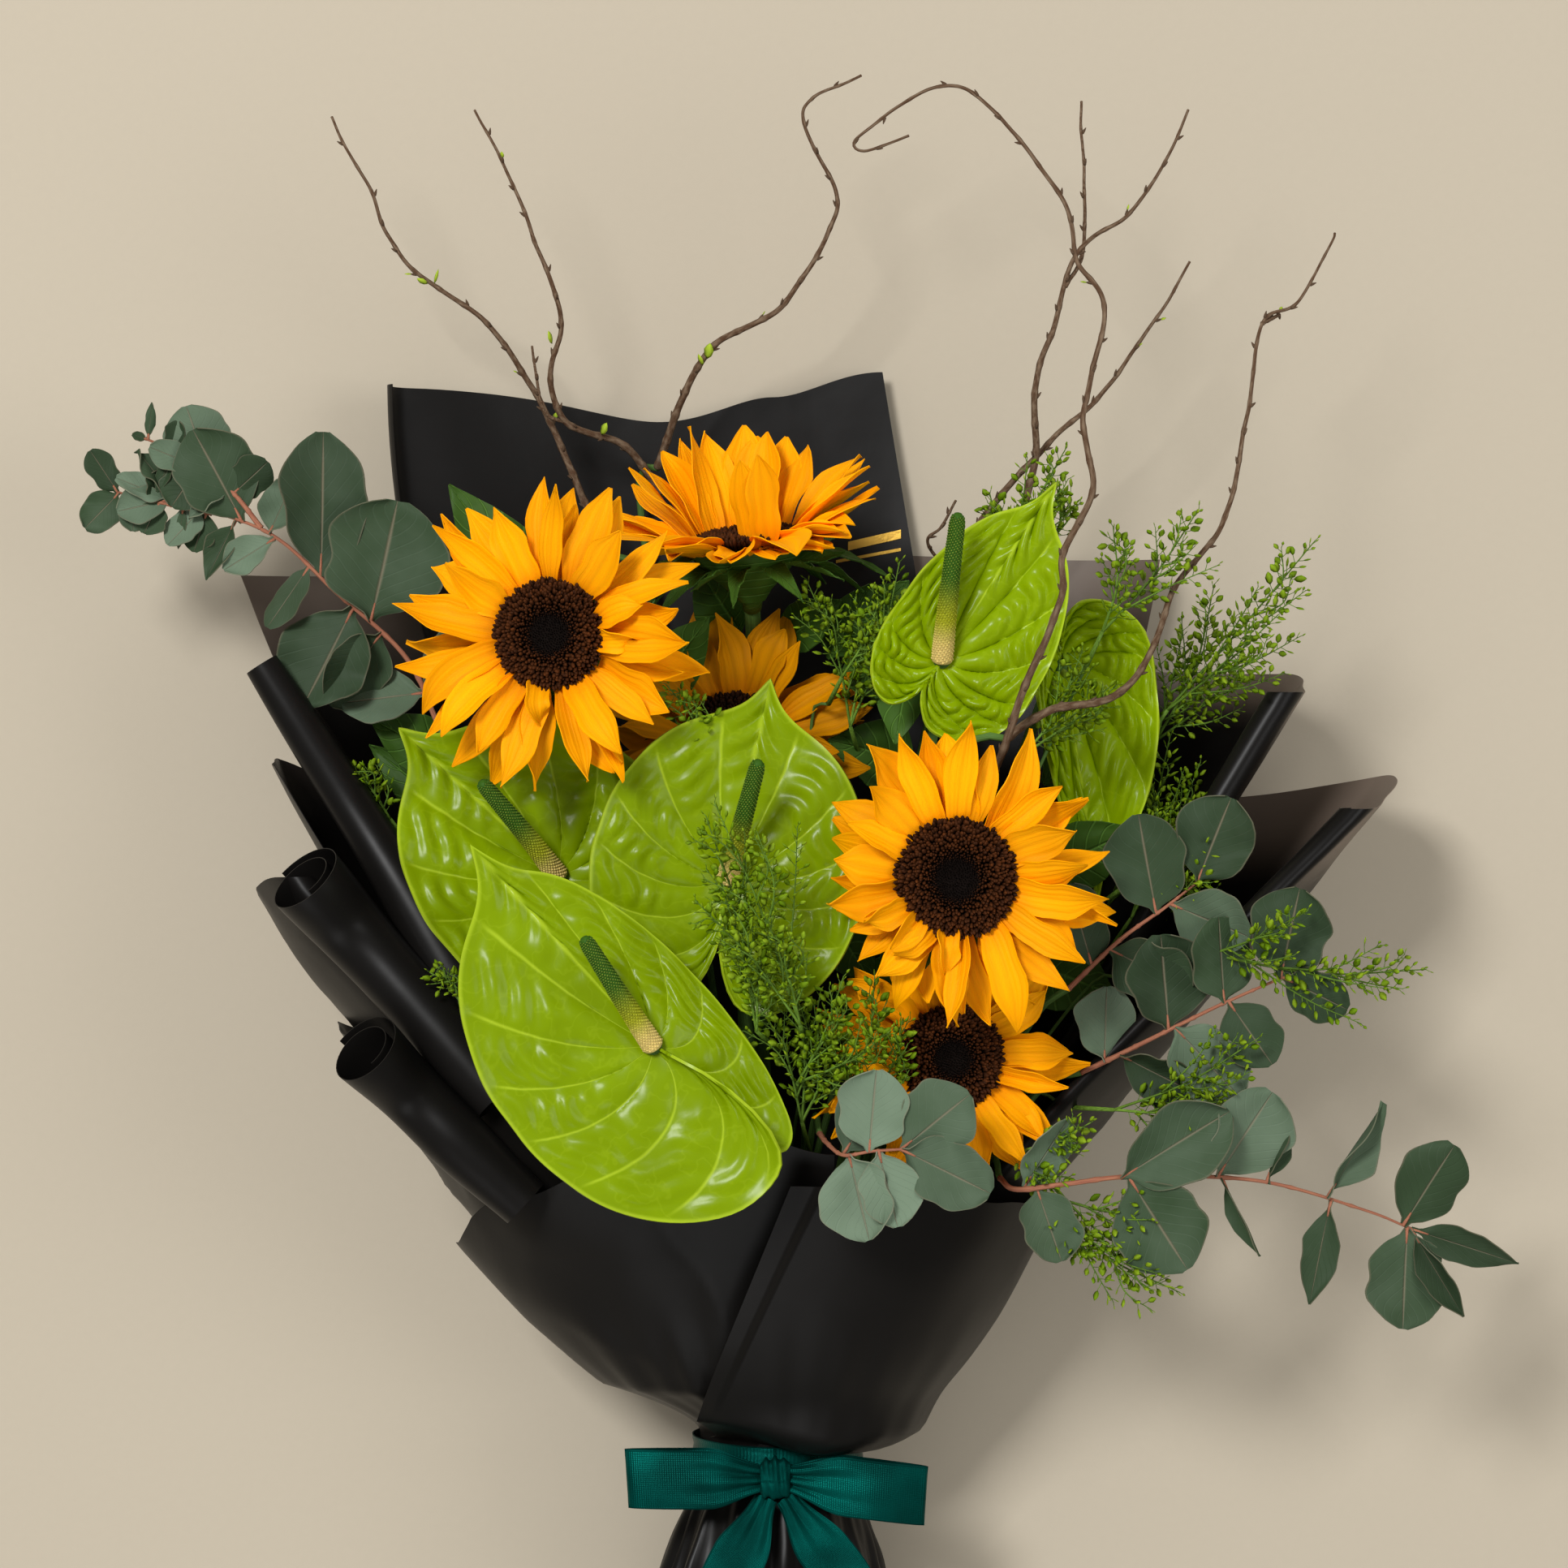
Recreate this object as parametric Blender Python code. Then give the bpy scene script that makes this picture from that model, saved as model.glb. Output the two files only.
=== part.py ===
"""Hand-tied bouquet with sunflowers, wrapped in film and tied with a ribbon bow.

The bouquet lies on its back: +Y runs from the cut stems to the blooms, +X to the right and +Z up,
out of the blooms' faces.  Every size and place below is in millimetres.  The layout is laid out from
the middle of the spread; at the end the whole part is moved so that the middle of its bounding box's
underside is the origin.
"""
import math
import random

import bmesh
import bpy
from mathutils import Matrix, Vector
from mathutils.bvhtree import BVHTree

MM = 0.001
CLEARANCE = 0.35            # kept between neighbours
SEED = 7

# ---- tie and wrap -----------------------------------------------------------------------------
NECK = Vector((-3, -304, 60))   # where the wrap starts to flare above the tie
NECK_DEPTH = 11                 # the sheets run this far down inside the ribbon band
FILM = 0.4                      # thickness of one sheet
CORE_HEIGHT = 95                # the bouquet's middle line above the floor, once it has flared
CORE_RISE = 250                 # distance above the tie in which the middle line rises to that
LIE_DOWN = 170                  # distance above the tie at which the back sheets reach the floor
ROLL = 6.5                      # radius of a rolled sheet edge at the rim
ROLL_TURN = 250                 # degrees that it curls there
ROLL_STRIP = 4                  # width of the strip at the tie that becomes the roll
ROLL_STARTS = 0.3               # share of the way to the rim over which it curls up
FRONT_ROUND = 2.3               # roundness of the wrap's front half, 2 is an ellipse
BACK_ROUND = 3.2                # the back half is flatter

# Each sheet: its radius at the tie, the angles that it spans at the tie and at its rim (0 is the
# front, 90 the right, 180 the back), the rim's heights above the tie from the first angle to the
# last, how far it reaches left, right and to the front at a height, the flare's power, the height
# that its back part keeps above the floor, whether its first edge is rolled, and the height of the
# shoulder over which it leaves the tie where that isn't SHOULDER.
SHEETS = {
    "wrap_back_low": dict(neck=31.4, at_tie=(-100, -260), at_rim=(-102, -251), rim=(403, 412, 415, 411),
                          left=(272, 403), right=(203, 411), front=(80, 145), power=0.9, lies=3.2),
    "wrap_back_high": dict(neck=29.0, at_tie=(-95, -255), at_rim=(-111, -212), rim=(493, 478, 490, 502),
                           left=(227, 500), right=(150, 500), front=(60, 145), power=1.05, lies=13.5),
    "wrap_left_inner": dict(neck=30.2, at_tie=(-75, -135), at_rim=(-86, -119), rim=(352, 362, 345, 330),
                            left=(232, 355), right=(120, 355), front=(64, 145), power=1.1, lies=10,
                            rolled=True),
    "wrap_left_mid": dict(neck=32.6, at_tie=(-62, -118), at_rim=(-84, -110), rim=(312, 316, 300),
                          left=(235, 316), right=(120, 316), front=(72, 145), power=0.85, lies=0.0),
    "wrap_left_low": dict(neck=33.8, at_tie=(-50, -118), at_rim=(-77, -110), rim=(262, 250, 236),
                          left=(234, 247), right=(120, 247), front=(82, 145), power=0.8, lies=-1.5,
                          rolled=True),
    "wrap_left_outer": dict(neck=35.0, at_tie=(-26, -122), at_rim=(-38, -112), rim=(132, 160, 188, 193, 180),
                            left=(206, 193), right=(120, 193), front=(93, 145), power=0.75, lies=-3.0),
    "wrap_front_left": dict(neck=36.2, at_tie=(16, -112), at_rim=(14, -82), rim=(140, 150, 138, 118, 92),
                            left=(158, 100), right=(120, 100), front=(104, 145), power=0.7, lies=-4.5),
    "wrap_right_inner": dict(neck=32.6, at_tie=(70, 140), at_rim=(84, 118), rim=(346, 356, 358),
                             left=(120, 348), right=(243, 348), front=(76, 145), power=0.985, lies=0.6,
                             rolled=True),
    "wrap_right_outer": dict(neck=33.8, at_tie=(46, 122), at_rim=(80, 112), rim=(293, 308, 297),
                             left=(120, 295), right=(281, 297), front=(92, 145), power=1.06, lies=-1.0,
                             rolled=True),
    "wrap_front_right": dict(neck=37.5, at_tie=(-58, 120), at_rim=(3, 104), rim=(138, 130, 118, 108, 102),
                             left=(180, 106), right=(128, 106), front=(113, 135), power=0.52, lies=-4.5,
                             shoulder=13),
}
SHOULDER = 25
COLUMN = 12                     # degrees between a sheet's columns at the tie
NEAR_LEVELS = (0, 8, 20, 45)    # heights above the tie shared by all sheets, where they lie close
FAR_ROWS = 3                    # rows from there to the rim

FOOT_TOP = -315.6             # y where the gathered foot of the wrap starts, inside the band
FOOT_STRAIGHT = -326
FOOT_END = -424
FOOT_WALL = 1.2
FOOT_NECK = 33.5
FOOT_REACH = dict(left=74, right=66, back=57, front=62)
FOOT_FOLDS = 8
FOOT_STEPS = 3              # points round each fold
FOOT_FOLD_DEPTH = 5

# ---- ribbon -----------------------------------------------------------------------------------
RIBBON = 1.0                # thickness
BAND_Y = (-324, -306)
BAND_RADIUS = 38.7
KNOT = Vector((-4, -319, 106.7))
KNOT_SIZE = (8.5, 10, 6.5)
LOOP_WIDTH = 27
LOOP_GAP = 5.5              # half the opening of a bow loop
LOOPS = {"bow_loop_left": Vector((-72, -319, 106)), "bow_loop_right": Vector((65, -327, 107))}
TAIL_WIDTH = 25
TAILS = {
    "bow_tail_left": [(-8.4, -328.0, 106.2), (-16, -345, 114), (-28, -368, 122), (-34, -398, 127)],
    "bow_tail_right": [(1.2, -327.6, 107.4), (14, -345, 115), (30, -366, 123), (38, -392, 127)],
}

# ---- stems ------------------------------------------------------------------------------------
STEM_END = -414             # y of the cut ends
BUNDLE_RADIUS = 22          # the stems' places in the tie lie within this
BINDING = 25.5              # radius of the bound bundle
STEM_GAP = 0.4              # between a stem and what it carries
STEM_LEG = 26               # straight run before that
STEM_RADII = dict(sunflower=4.6, anthurium=3.4, eucalyptus=2.0, willow=2.2, cress=1.6)

# ---- blooms -----------------------------------------------------------------------------------
DISC = 25                   # radius of a sunflower's disc
HEAD_DEPTH = 24             # from the petals' plane down to the neck
HEAD_NECK = 9               # the stem's top, in one piece with the head
PETAL = dict(length=50, half_width=8.2, thickness=1.1, cup=1.6)
BRACT = dict(length=24, half_width=4.5, thickness=1.2)
# Each sunflower: the disc's centre, the way that it faces, its size, the lift of its inner and outer
# petals in degrees, and where it needs them: the way that its stem arrives and a point on the stem's
# way round a bloom in front.  The one seen from its side hangs its near petals, all but one.
SUNFLOWERS = {
    "sunflower_1": dict(centre=(-102, 65, 205), faces=(-0.12, 0.10, 1), size=1.0, lift=(26, 8)),
    "sunflower_2": dict(centre=(-17, 110, 134), faces=(0.05, 0.985, 0.17), size=1.05, lift=(56, 26),
                        hangs=True, arrival=(0, 0.6, 0.8), by=(-20, 24, 66)),
    "sunflower_3": dict(centre=(-23, 20, 122), faces=(0.0, 0.34, 1), size=1.0, lift=(40, 20)),
    "sunflower_4": dict(centre=(75, -41, 211), faces=(-0.05, -0.04, 1), size=1.02, lift=(24, 6)),
    "sunflower_5": dict(centre=(74, -122, 168), faces=(0.22, 0.02, 1), size=0.92, lift=(28, 12)),
}
HANG = 20                   # how far the near petals' tips drop
NEAR_SIDE = 0.30            # a petal hangs where its direction rises more than this to the front
PETALS_PER_ROW = 8
BRACTS = 5

SPATHE = 1.5                # thickness
SPADIX = (6.0, 3.6)         # radius at its foot and near its tip
KNOB = 8                    # the stem's top, in one piece with the spathe
# Each anthurium: where the spadix stands, the tip, the way that the bowl faces, the lobes' reach
# behind the spadix and the right and left half widths as shares of the way to the tip, how each half
# rises with its width, and the spadix's tip.
ANTHURIUMS = {
    "anthurium_1": dict(foot=(-101, -41, 160), tip=(-164, 18, 166), faces=(0.16, 0.12, 1),
                        lobes=0.60, widths=(0.70, 0.70), folds=(0.10, 0.10), spadix=(-133, 1, 196)),
    "anthurium_2": dict(foot=(-25, -42, 180), tip=(-8, 37, 182), faces=(0.0, 0.0, 1),
                        lobes=0.72, widths=(0.76, 0.76), folds=(0.10, 0.10), spadix=(-11, 10, 218)),
    "anthurium_3": dict(foot=(-57, -114, 212), tip=(-128, -36, 214), faces=(-0.08, 0.06, 1),
                        lobes=0.72, widths=(0.42, 0.66), folds=(-0.30, 0.10), spadix=(-86, -66, 238)),
    "anthurium_4": dict(foot=(70, 55, 178), tip=(115, 125, 184), faces=(-0.06, 0.06, 1),
                        lobes=0.36, widths=(0.52, 0.36), folds=(-0.18, 0.15), spadix=(76, 118, 208)),
    "anthurium_5": dict(foot=(128, 54, 108), tip=(142, -42, 118), faces=(0.12, 0.0, 1),
                        lobes=0.30, widths=(0.16, 0.42), folds=(0.05, 0.10), spadix=None),
}
# The spathe's outline round the spadix's foot: degrees from the tip, and the reach as a share of the
# way to the tip, before it is drawn in or out to the spathe's own width and lobes.
SPATHE_OUTLINE = [(0, 1.0), (9, 0.92), (25, 0.86), (48, 0.74), (76, 0.65), (104, 0.64), (128, 0.67),
                  (150, 0.71), (167, 0.66), (180, 0.30)]
OUTLINE_WIDTH, OUTLINE_LOBES = 0.65, 0.66

# ---- foliage ----------------------------------------------------------------------------------
# Eucalyptus: the stem's route, then leaves as (share along the stem, degrees from its direction,
# length, width as a share of the length, degrees that the blade turns out of the spread).
EUCALYPTUS = {
    "eucalyptus_1": dict(
        route=[(-158, 26, 112), (-173, 58, 116), (-205, 88, 120), (-236, 115, 118), (-283, 131, 110)],
        leaves=[(0.10, 75, 34, 0.75, 20), (0.12, -80, 40, 0.80, -15), (0.30, 95, 36, 0.8, -25),
                (0.34, -62, 50, 1.0, 10), (0.40, 105, 44, 0.85, 10), (0.52, -48, 58, 0.60, 25),
                (0.56, 100, 30, 0.60, 50), (0.68, 70, 24, 0.6, 30), (0.70, -78, 24, 0.7, -20),
                (0.78, -42, 42, 0.75, 15), (0.80, 85, 27, 0.45, 20), (0.88, -60, 22, 0.8, 10),
                (0.90, 65, 20, 0.8, 20), (0.97, -35, 26, 0.5, 30), (0.99, 30, 22, 0.7, 5),
                (1.0, -5, 22, 0.55, 20)]),
    "eucalyptus_2": dict(
        route=[(134, -130, 148), (160, -116, 161), (193, -99, 168), (222, -86, 170)],
        leaves=[(0.12, 60, 30, 0.8, 20), (0.20, -55, 34, 0.6, 30), (0.45, 68, 38, 0.95, 10),
                (0.48, -75, 38, 0.75, 15), (0.72, 70, 34, 0.9, 30), (0.74, -80, 30, 0.8, -10),
                (0.99, 55, 36, 0.9, 5), (1.0, -50, 28, 0.85, 20)]),
    "eucalyptus_3": dict(
        route=[(97, -177, 152), (103, -180, 174), (124, -177, 182), (157, -174, 176), (212, -177, 166),
               (260, -191, 154), (282, -200, 150)],
        leaves=[(0.12, 70, 32, 0.6, 25), (0.16, -80, 30, 0.8, 10), (0.34, 30, 50, 0.62, 10),
                (0.36, -60, 42, 0.85, 15), (0.55, 60, 40, 0.85, 20), (0.56, -62, 34, 0.25, 60),
                (0.66, 85, 30, 0.3, 70), (0.80, 78, 44, 0.32, 20), (0.81, -85, 42, 0.36, 25),
                (0.98, 80, 38, 0.8, 15), (0.99, -72, 40, 0.9, -10), (1.0, 4, 44, 0.4, 20),
                (1.0, -38, 40, 0.3, 35)]),
    "eucalyptus_4": dict(
        route=[(16, -156, 165), (19, -158, 192), (30, -163, 207), (46, -162, 211), (60, -162, 212)],
        leaves=[(0.62, 60, 30, 0.8, 15), (0.66, -75, 34, 0.85, 10), (0.80, 75, 32, 0.9, 5),
                (0.86, -80, 30, 0.8, -10), (1.0, 35, 34, 0.85, 10), (1.0, -30, 38, 0.7, 10)]),
    "eucalyptus_5": dict(
        route=[(128, -92, 150), (150, -70, 160), (170, -55, 166), (184, -44, 166)],
        leaves=[(0.20, 60, 34, 0.7, 10), (0.35, -70, 36, 0.8, 20), (0.70, 65, 40, 0.8, 5),
                (0.80, -60, 34, 0.8, 15), (1.0, 30, 36, 0.9, 10)]),
}
EUCALYPTUS_LEAF = 0.9       # thickness

# Curly willow: each twig's route, and its side twigs.
WILLOW = {
    "willow_1": [[(-80, 108, 46), (-96, 138, 52), (-118, 185, 58), (-139, 215, 70), (-169, 237, 76),
                  (-184, 255, 80), (-193, 278, 84), (-204, 296, 88), (-210, 309, 90)]],
    "willow_2": [[(-58, 138, 44), (-75, 159, 52), (-101, 169, 64), (-109, 187, 74), (-104, 213, 82),
                  (-108, 232, 88), (-126, 279, 98), (-143, 311, 100)],
                 [(-101, 169, 64), (-113, 176, 70), (-117, 204, 77)]],
    "willow_3": [[(-60, 150, 40), (-48, 181, 58), (-33, 205, 68), (-2, 222, 76), (20, 255, 82),
                  (24, 275, 86), (9, 305, 92), (13, 317, 94), (36, 327, 96)]],
    "willow_4": [[(90, -2, 172), (96, 14, 198), (106, 45, 212), (120, 80, 212), (122, 101, 210), (135, 130, 198),
                  (132, 163, 184), (143, 212, 165), (131, 235, 155), (126, 262, 146), (97, 304, 130),
                  (72, 318, 124), (35, 297, 116), (37, 290, 114), (57, 297, 112)]],
    "willow_5": [[(108, 112, 84), (116, 150, 96), (115, 181, 104), (124, 211, 108), (135, 244, 112),
                  (157, 260, 118), (172, 280, 122), (184, 307, 126)],
                 [(129, 228, 110), (138, 249, 104), (137, 315, 100)]],
    "willow_6": [[(84, 92, 70), (92, 122, 82), (121, 156, 88), (148, 182, 92), (170, 212, 94),
                  (187, 241, 96)]],
    "willow_7": [[(98, 20, 188), (117, 33, 196), (145, 38, 190), (163, 60, 180), (175, 89, 168),
                  (198, 119, 156), (210, 171, 140), (217, 209, 130), (234, 220, 124), (250, 247, 118),
                  (252, 252, 116)],
                 [(217, 209, 130), (226, 214, 122), (221, 211, 116)]],
}
WILLOW_RADII = (1.7, 0.6)

# Field cress: where each stem starts, where it forks, and the tips of the sprigs that leave the fork.
CRESS = {
    "cress_1": dict(foot=(84, 84, 128), fork=(92, 98, 142), tips=[(126, 150, 160), (92, 130, 160)]),
    "cress_2": dict(foot=(134, 50, 158), fork=(142, 68, 166), tips=[(184, 122, 176), (146, 114, 176)]),
    "cress_3": dict(foot=(156, 4, 90), fork=(176, 34, 110),
                    tips=[(240, 110, 140), (222, 76, 150)]),
    "cress_4": dict(foot=(146, -52, 142), fork=(158, -42, 154), tips=[(196, -20, 160), (190, -44, 166)]),
    "cress_5": dict(foot=(156, -88, 184), fork=(190, -76, 192), tips=[(284, -82, 182), (230, -56, 196)]),
    "cress_6": dict(foot=(128, -146, 158), fork=(148, -146, 174), tips=[(210, -112, 186), (196, -138, 178)]),
    "cress_7": dict(foot=(106, -162, 146), fork=(117, -183, 172), tips=[(176, -226, 172), (138, -210, 176)]),
    "cress_8": dict(foot=(20, 36, 146), fork=(26, 48, 160), tips=[(42, 80, 176)]),
    "cress_9": dict(foot=(9, -114, 168), fork=(7, -105, 207),
                    tips=[(-30, -8, 228), (-8, -58, 232), (-38, -50, 240)]),
    "cress_10": dict(foot=(6, -142, 152), fork=(6, -132, 184),
                     tips=[(26, -84, 206), (46, -108, 208)]),
    "cress_11": dict(foot=(103, 2, 160), fork=(108, 14, 166), tips=[(133, 60, 168), (148, 44, 172)]),
}
CRESS_STEM = 1.3
SPRIG_PIECES = 3
POD = dict(length=14, half_width=4.2, thickness=1.8)
POD_STEP = 21               # along the sprig

# Broad green leaves: foot, tip, half width, and the way that the blade faces.
LEAVES = {
    "leaf_1": dict(foot=(-104, 72, 150), tip=(-150, 134, 158), half_width=17, faces=(0, 0.2, 1)),
    "leaf_2": dict(foot=(20, 60, 80), tip=(58, 94, 92), half_width=15, faces=(0, 0, 1)),
    "leaf_3": dict(foot=(-130, -30, 96), tip=(-192, 18, 92), half_width=15, faces=(0, 0, 1)),
}
LEAF = 1.2                  # thickness

COLOURS = {
    "film": (0.014, 0.013, 0.012, 0.38), "ribbon": (0.0, 0.09, 0.075, 0.35),
    "petal": (0.90, 0.42, 0.01, 0.55), "spathe": (0.26, 0.50, 0.02, 0.25),
    "eucalyptus": (0.09, 0.17, 0.12, 0.6), "willow": (0.12, 0.07, 0.04, 0.7),
    "cress": (0.10, 0.28, 0.02, 0.6), "stem": (0.10, 0.22, 0.04, 0.6),
}


# ---- curves and closed shells -----------------------------------------------------------------
def smooth_path(points, pieces):
    """Points at even steps along a Catmull-Rom curve through the given points."""
    points = [Vector(point) for point in points]
    ends = [2 * points[0] - points[1], *points, 2 * points[-1] - points[-2]]
    fine = [points[0]]
    for a, b, c, d in zip(ends, ends[1:], ends[2:], ends[3:]):
        for step in range(1, 13):
            t = step / 12
            fine.append(0.5 * (2 * b + (c - a) * t + (2 * a - 5 * b + 4 * c - d) * t ** 2
                               + (3 * b - 3 * c + d - a) * t ** 3))
    reach = [0.0]
    for before, after in zip(fine, fine[1:]):
        reach.append(reach[-1] + (after - before).length)
    path, at = [], 0
    for piece in range(pieces + 1):
        goal = reach[-1] * piece / pieces
        while at < len(fine) - 2 and reach[at + 1] < goal:
            at += 1
        share = (goal - reach[at]) / max(reach[at + 1] - reach[at], 1e-9)
        path.append(fine[at].lerp(fine[at + 1], share))
    return path


def blend_list(values, share):
    """The value at a share of the way along an evenly spaced list, smoothly joined."""
    place = share * (len(values) - 1)
    index = min(int(place), len(values) - 2)
    ease = place - index
    ease = ease * ease * (3 - 2 * ease)
    return values[index] + (values[index + 1] - values[index]) * ease


def skin(rings):
    """Closed shell over rings of points that run anticlockwise about the way they follow.

    A first or last ring of one point is a pole, and any other end is capped.
    """
    points = [point for ring in rings for point in ring]
    faces, start = [], 0
    for ring, after in zip(rings, rings[1:]):
        next_start = start + len(ring)
        count = max(len(ring), len(after))
        for j in range(count):
            k = (j + 1) % count
            if len(ring) == 1:
                faces.append((start, next_start + k, next_start + j))
            elif len(after) == 1:
                faces.append((start + j, start + k, next_start))
            else:
                faces.append((start + j, start + k, next_start + k, next_start + j))
        start = next_start
    if len(rings[0]) > 1:
        faces.append(tuple(reversed(range(len(rings[0])))))
    if len(rings[-1]) > 1:
        faces.append(tuple(range(start, start + len(rings[-1]))))
    return points, faces


def carried_sides(path, hint):
    """A direction across the path at each point, turning with it and starting near the hint."""
    sides, side = [], Vector(hint)
    for index, point in enumerate(path):
        along = path[min(index + 1, len(path) - 1)] - path[max(index - 1, 0)]
        along.normalize()
        side = side - along * side.dot(along)
        side.normalize()
        sides.append((side.copy(), along.cross(side)))
    return sides


def across(along):
    """Any direction square to a given one."""
    along = Vector(along)
    other = Vector((0, 0, 1)) if abs(along.normalized().z) < 0.8 else Vector((1, 0, 0))
    return along.cross(other).normalized()


def limb(path, radii, sides):
    """Closed tapering limb with flat ends."""
    rings = []
    for index, (side, up) in enumerate(carried_sides(path, across(path[1] - path[0]))):
        radius = radii[0] + (radii[1] - radii[0]) * index / (len(path) - 1)
        rings.append([path[index] + radius * (side * math.cos(turn) + up * math.sin(turn))
                      for turn in (2 * math.pi * j / sides for j in range(sides))])
    return skin(rings)


def blade(path, faces, half_widths, thickness, cup=0.0):
    """Closed leaf or petal with sharp edges; the path's ends are points unless their width is set."""
    side_hint = (path[1] - path[0]).cross(Vector(faces)) * -1
    rings = []
    for index, (side, up) in enumerate(carried_sides(path, side_hint)):
        width = half_widths[index]
        if width == 0:
            rings.append([path[index]])
            continue
        lift = up * cup * width / max(half_widths)
        rings.append([path[index] + side * width + lift, path[index] + up * thickness / 2,
                      path[index] - side * width + lift, path[index] - up * thickness / 2])
    return skin(rings)


def turned(profile, centre, axis, sides):
    """Closed turned body from (radius, height) pairs that rise along the axis."""
    side = across(axis)
    up = axis.cross(side)
    rings = []
    for radius, height in profile:
        middle = centre + axis * height
        if radius == 0:
            rings.append([middle])
        else:
            rings.append([middle + radius * (side * math.cos(turn) + up * math.sin(turn))
                          for turn in (2 * math.pi * j / sides for j in range(sides))])
    return skin(rings)


# ---- objects ----------------------------------------------------------------------------------
def clear_scene():
    for thing in list(bpy.data.objects):
        bpy.data.objects.remove(thing)


def material(name):
    found = bpy.data.materials.get(name)
    if found:
        return found
    made = bpy.data.materials.new(name)
    made.use_nodes = True
    red, green, blue, roughness = COLOURS[name]
    shader = made.node_tree.nodes["Principled BSDF"]
    shader.inputs["Base Color"].default_value = (red, green, blue, 1)
    shader.inputs["Roughness"].default_value = roughness
    return made


def mesh_object(name, shell, finish, collection=None):
    points, faces = shell
    mesh = bpy.data.meshes.new(name)
    mesh.from_pydata([point * MM for point in points], [], faces)
    mesh.materials.append(material(finish))
    made = bpy.data.objects.new(name, mesh)
    (collection or bpy.context.scene.collection).objects.link(made)
    return made


def largest_body(mesh):
    """Drop loose scraps, also those that hang on at an edge only, so that one closed body is left."""
    work = bmesh.new()
    work.from_mesh(mesh)
    bmesh.ops.triangulate(work, faces=work.faces)
    bodies, seen = [], set()
    for first in work.faces:
        if first in seen:
            continue
        body, queue = [], [first]
        seen.add(first)
        while queue:
            face = queue.pop()
            body.append(face)
            for edge in face.edges:
                if len(edge.link_faces) == 2:
                    for other in edge.link_faces:
                        if other not in seen:
                            seen.add(other)
                            queue.append(other)
        bodies.append(body)
    bodies.sort(key=len)
    for body in bodies[:-1]:
        bmesh.ops.delete(work, geom=body, context="FACES")
    work.to_mesh(mesh)
    work.free()


def fuse(name, shells, finish):
    """One object from overlapping shells, joined by one Boolean union on a collection."""
    made = mesh_object(name, shells[0], finish)
    if len(shells) == 1:
        return made
    rest = bpy.data.collections.new(name + "_pieces")
    bpy.context.scene.collection.children.link(rest)
    pieces = [mesh_object(name + "_piece", shell, finish, rest) for shell in shells[1:]]
    union = made.modifiers.new("union", "BOOLEAN")
    union.operation = "UNION"
    union.operand_type = "COLLECTION"
    union.collection = rest
    union.solver = "MANIFOLD"       # EXACT gives the same bodies, fifty times slower
    bpy.context.view_layer.update()
    fused = bpy.data.meshes.new_from_object(made.evaluated_get(bpy.context.evaluated_depsgraph_get()))
    made.modifiers.remove(union)
    made.data = fused
    for piece in pieces:
        bpy.data.objects.remove(piece)
    bpy.data.collections.remove(rest)
    largest_body(fused)
    return made


class Neighbours:
    """What is already in place, to test whether a new piece stays clear of it."""

    def __init__(self):
        self.placed = []

    def add(self, made):
        points = [vertex.co / MM for vertex in made.data.vertices]
        faces = [tuple(face.vertices) for face in made.data.polygons]
        self.placed.append((made.name, BVHTree.FromPolygons(points, faces), box_of(points)))

    def touching(self, shell):
        """Name of a neighbour that comes within the clearance of a shell, or None."""
        points, faces = shell
        middle = sum(points, Vector()) / len(points)
        work = bmesh.new()
        corners = [work.verts.new(point) for point in points]
        for face in faces:
            work.faces.new([corners[index] for index in face])
        work.normal_update()
        grown = [corner.co + corner.normal * CLEARANCE for corner in work.verts]
        work.free()
        low, high = box_of(grown)
        tree = None
        for name, other, (other_low, other_high) in self.placed:
            apart = any(low[i] > other_high[i] or high[i] < other_low[i] for i in range(3))
            if apart:
                continue
            tree = tree or BVHTree.FromPolygons(grown, faces)
            if tree.overlap(other) or inside(other, middle):
                return name
        return None

    def beside(self, name, point):
        """The point just off a neighbour's surface that is nearest to a given one."""
        tree = next(tree for placed, tree, _ in self.placed if placed == name)
        near, normal, _, _ = tree.find_nearest(point)
        return near + normal * STEM_GAP


def box_of(points):
    low = Vector([min(point[i] for point in points) for i in range(3)])
    high = Vector([max(point[i] for point in points) for i in range(3)])
    return low, high


def inside(tree, point):
    """True where a point lies inside the closed surface of a tree."""
    near, normal, _, distance = tree.find_nearest(point)
    return near is not None and distance < 3 and (point - near).dot(normal) < 0


def place(name, shells, finish, neighbours, required=1):
    """Fuse the shells that stay clear of what is in place; the first ones have to."""
    for index, shell in enumerate(shells[:required]):
        other = neighbours.touching(shell)
        if other:
            raise RuntimeError(f"{name}: piece {index} touches {other}")
    kept = shells[:required] + [shell for shell in shells[required:] if not neighbours.touching(shell)]
    made = fuse(name, kept, finish)
    neighbours.add(made)
    return made


# ---- wrap -------------------------------------------------------------------------------------
def wrap_radius(angle, left, right, back, front):
    """Distance from the middle line to the wrap in one direction."""
    sideways, forwards = math.sin(angle), math.cos(angle)
    roundness = FRONT_ROUND if forwards >= 0 else BACK_ROUND
    width = left if sideways < 0 else right
    depth = front if forwards >= 0 else back
    total = abs(sideways / width) ** roundness + abs(forwards / depth) ** roundness
    return total ** (-1 / roundness)


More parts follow.
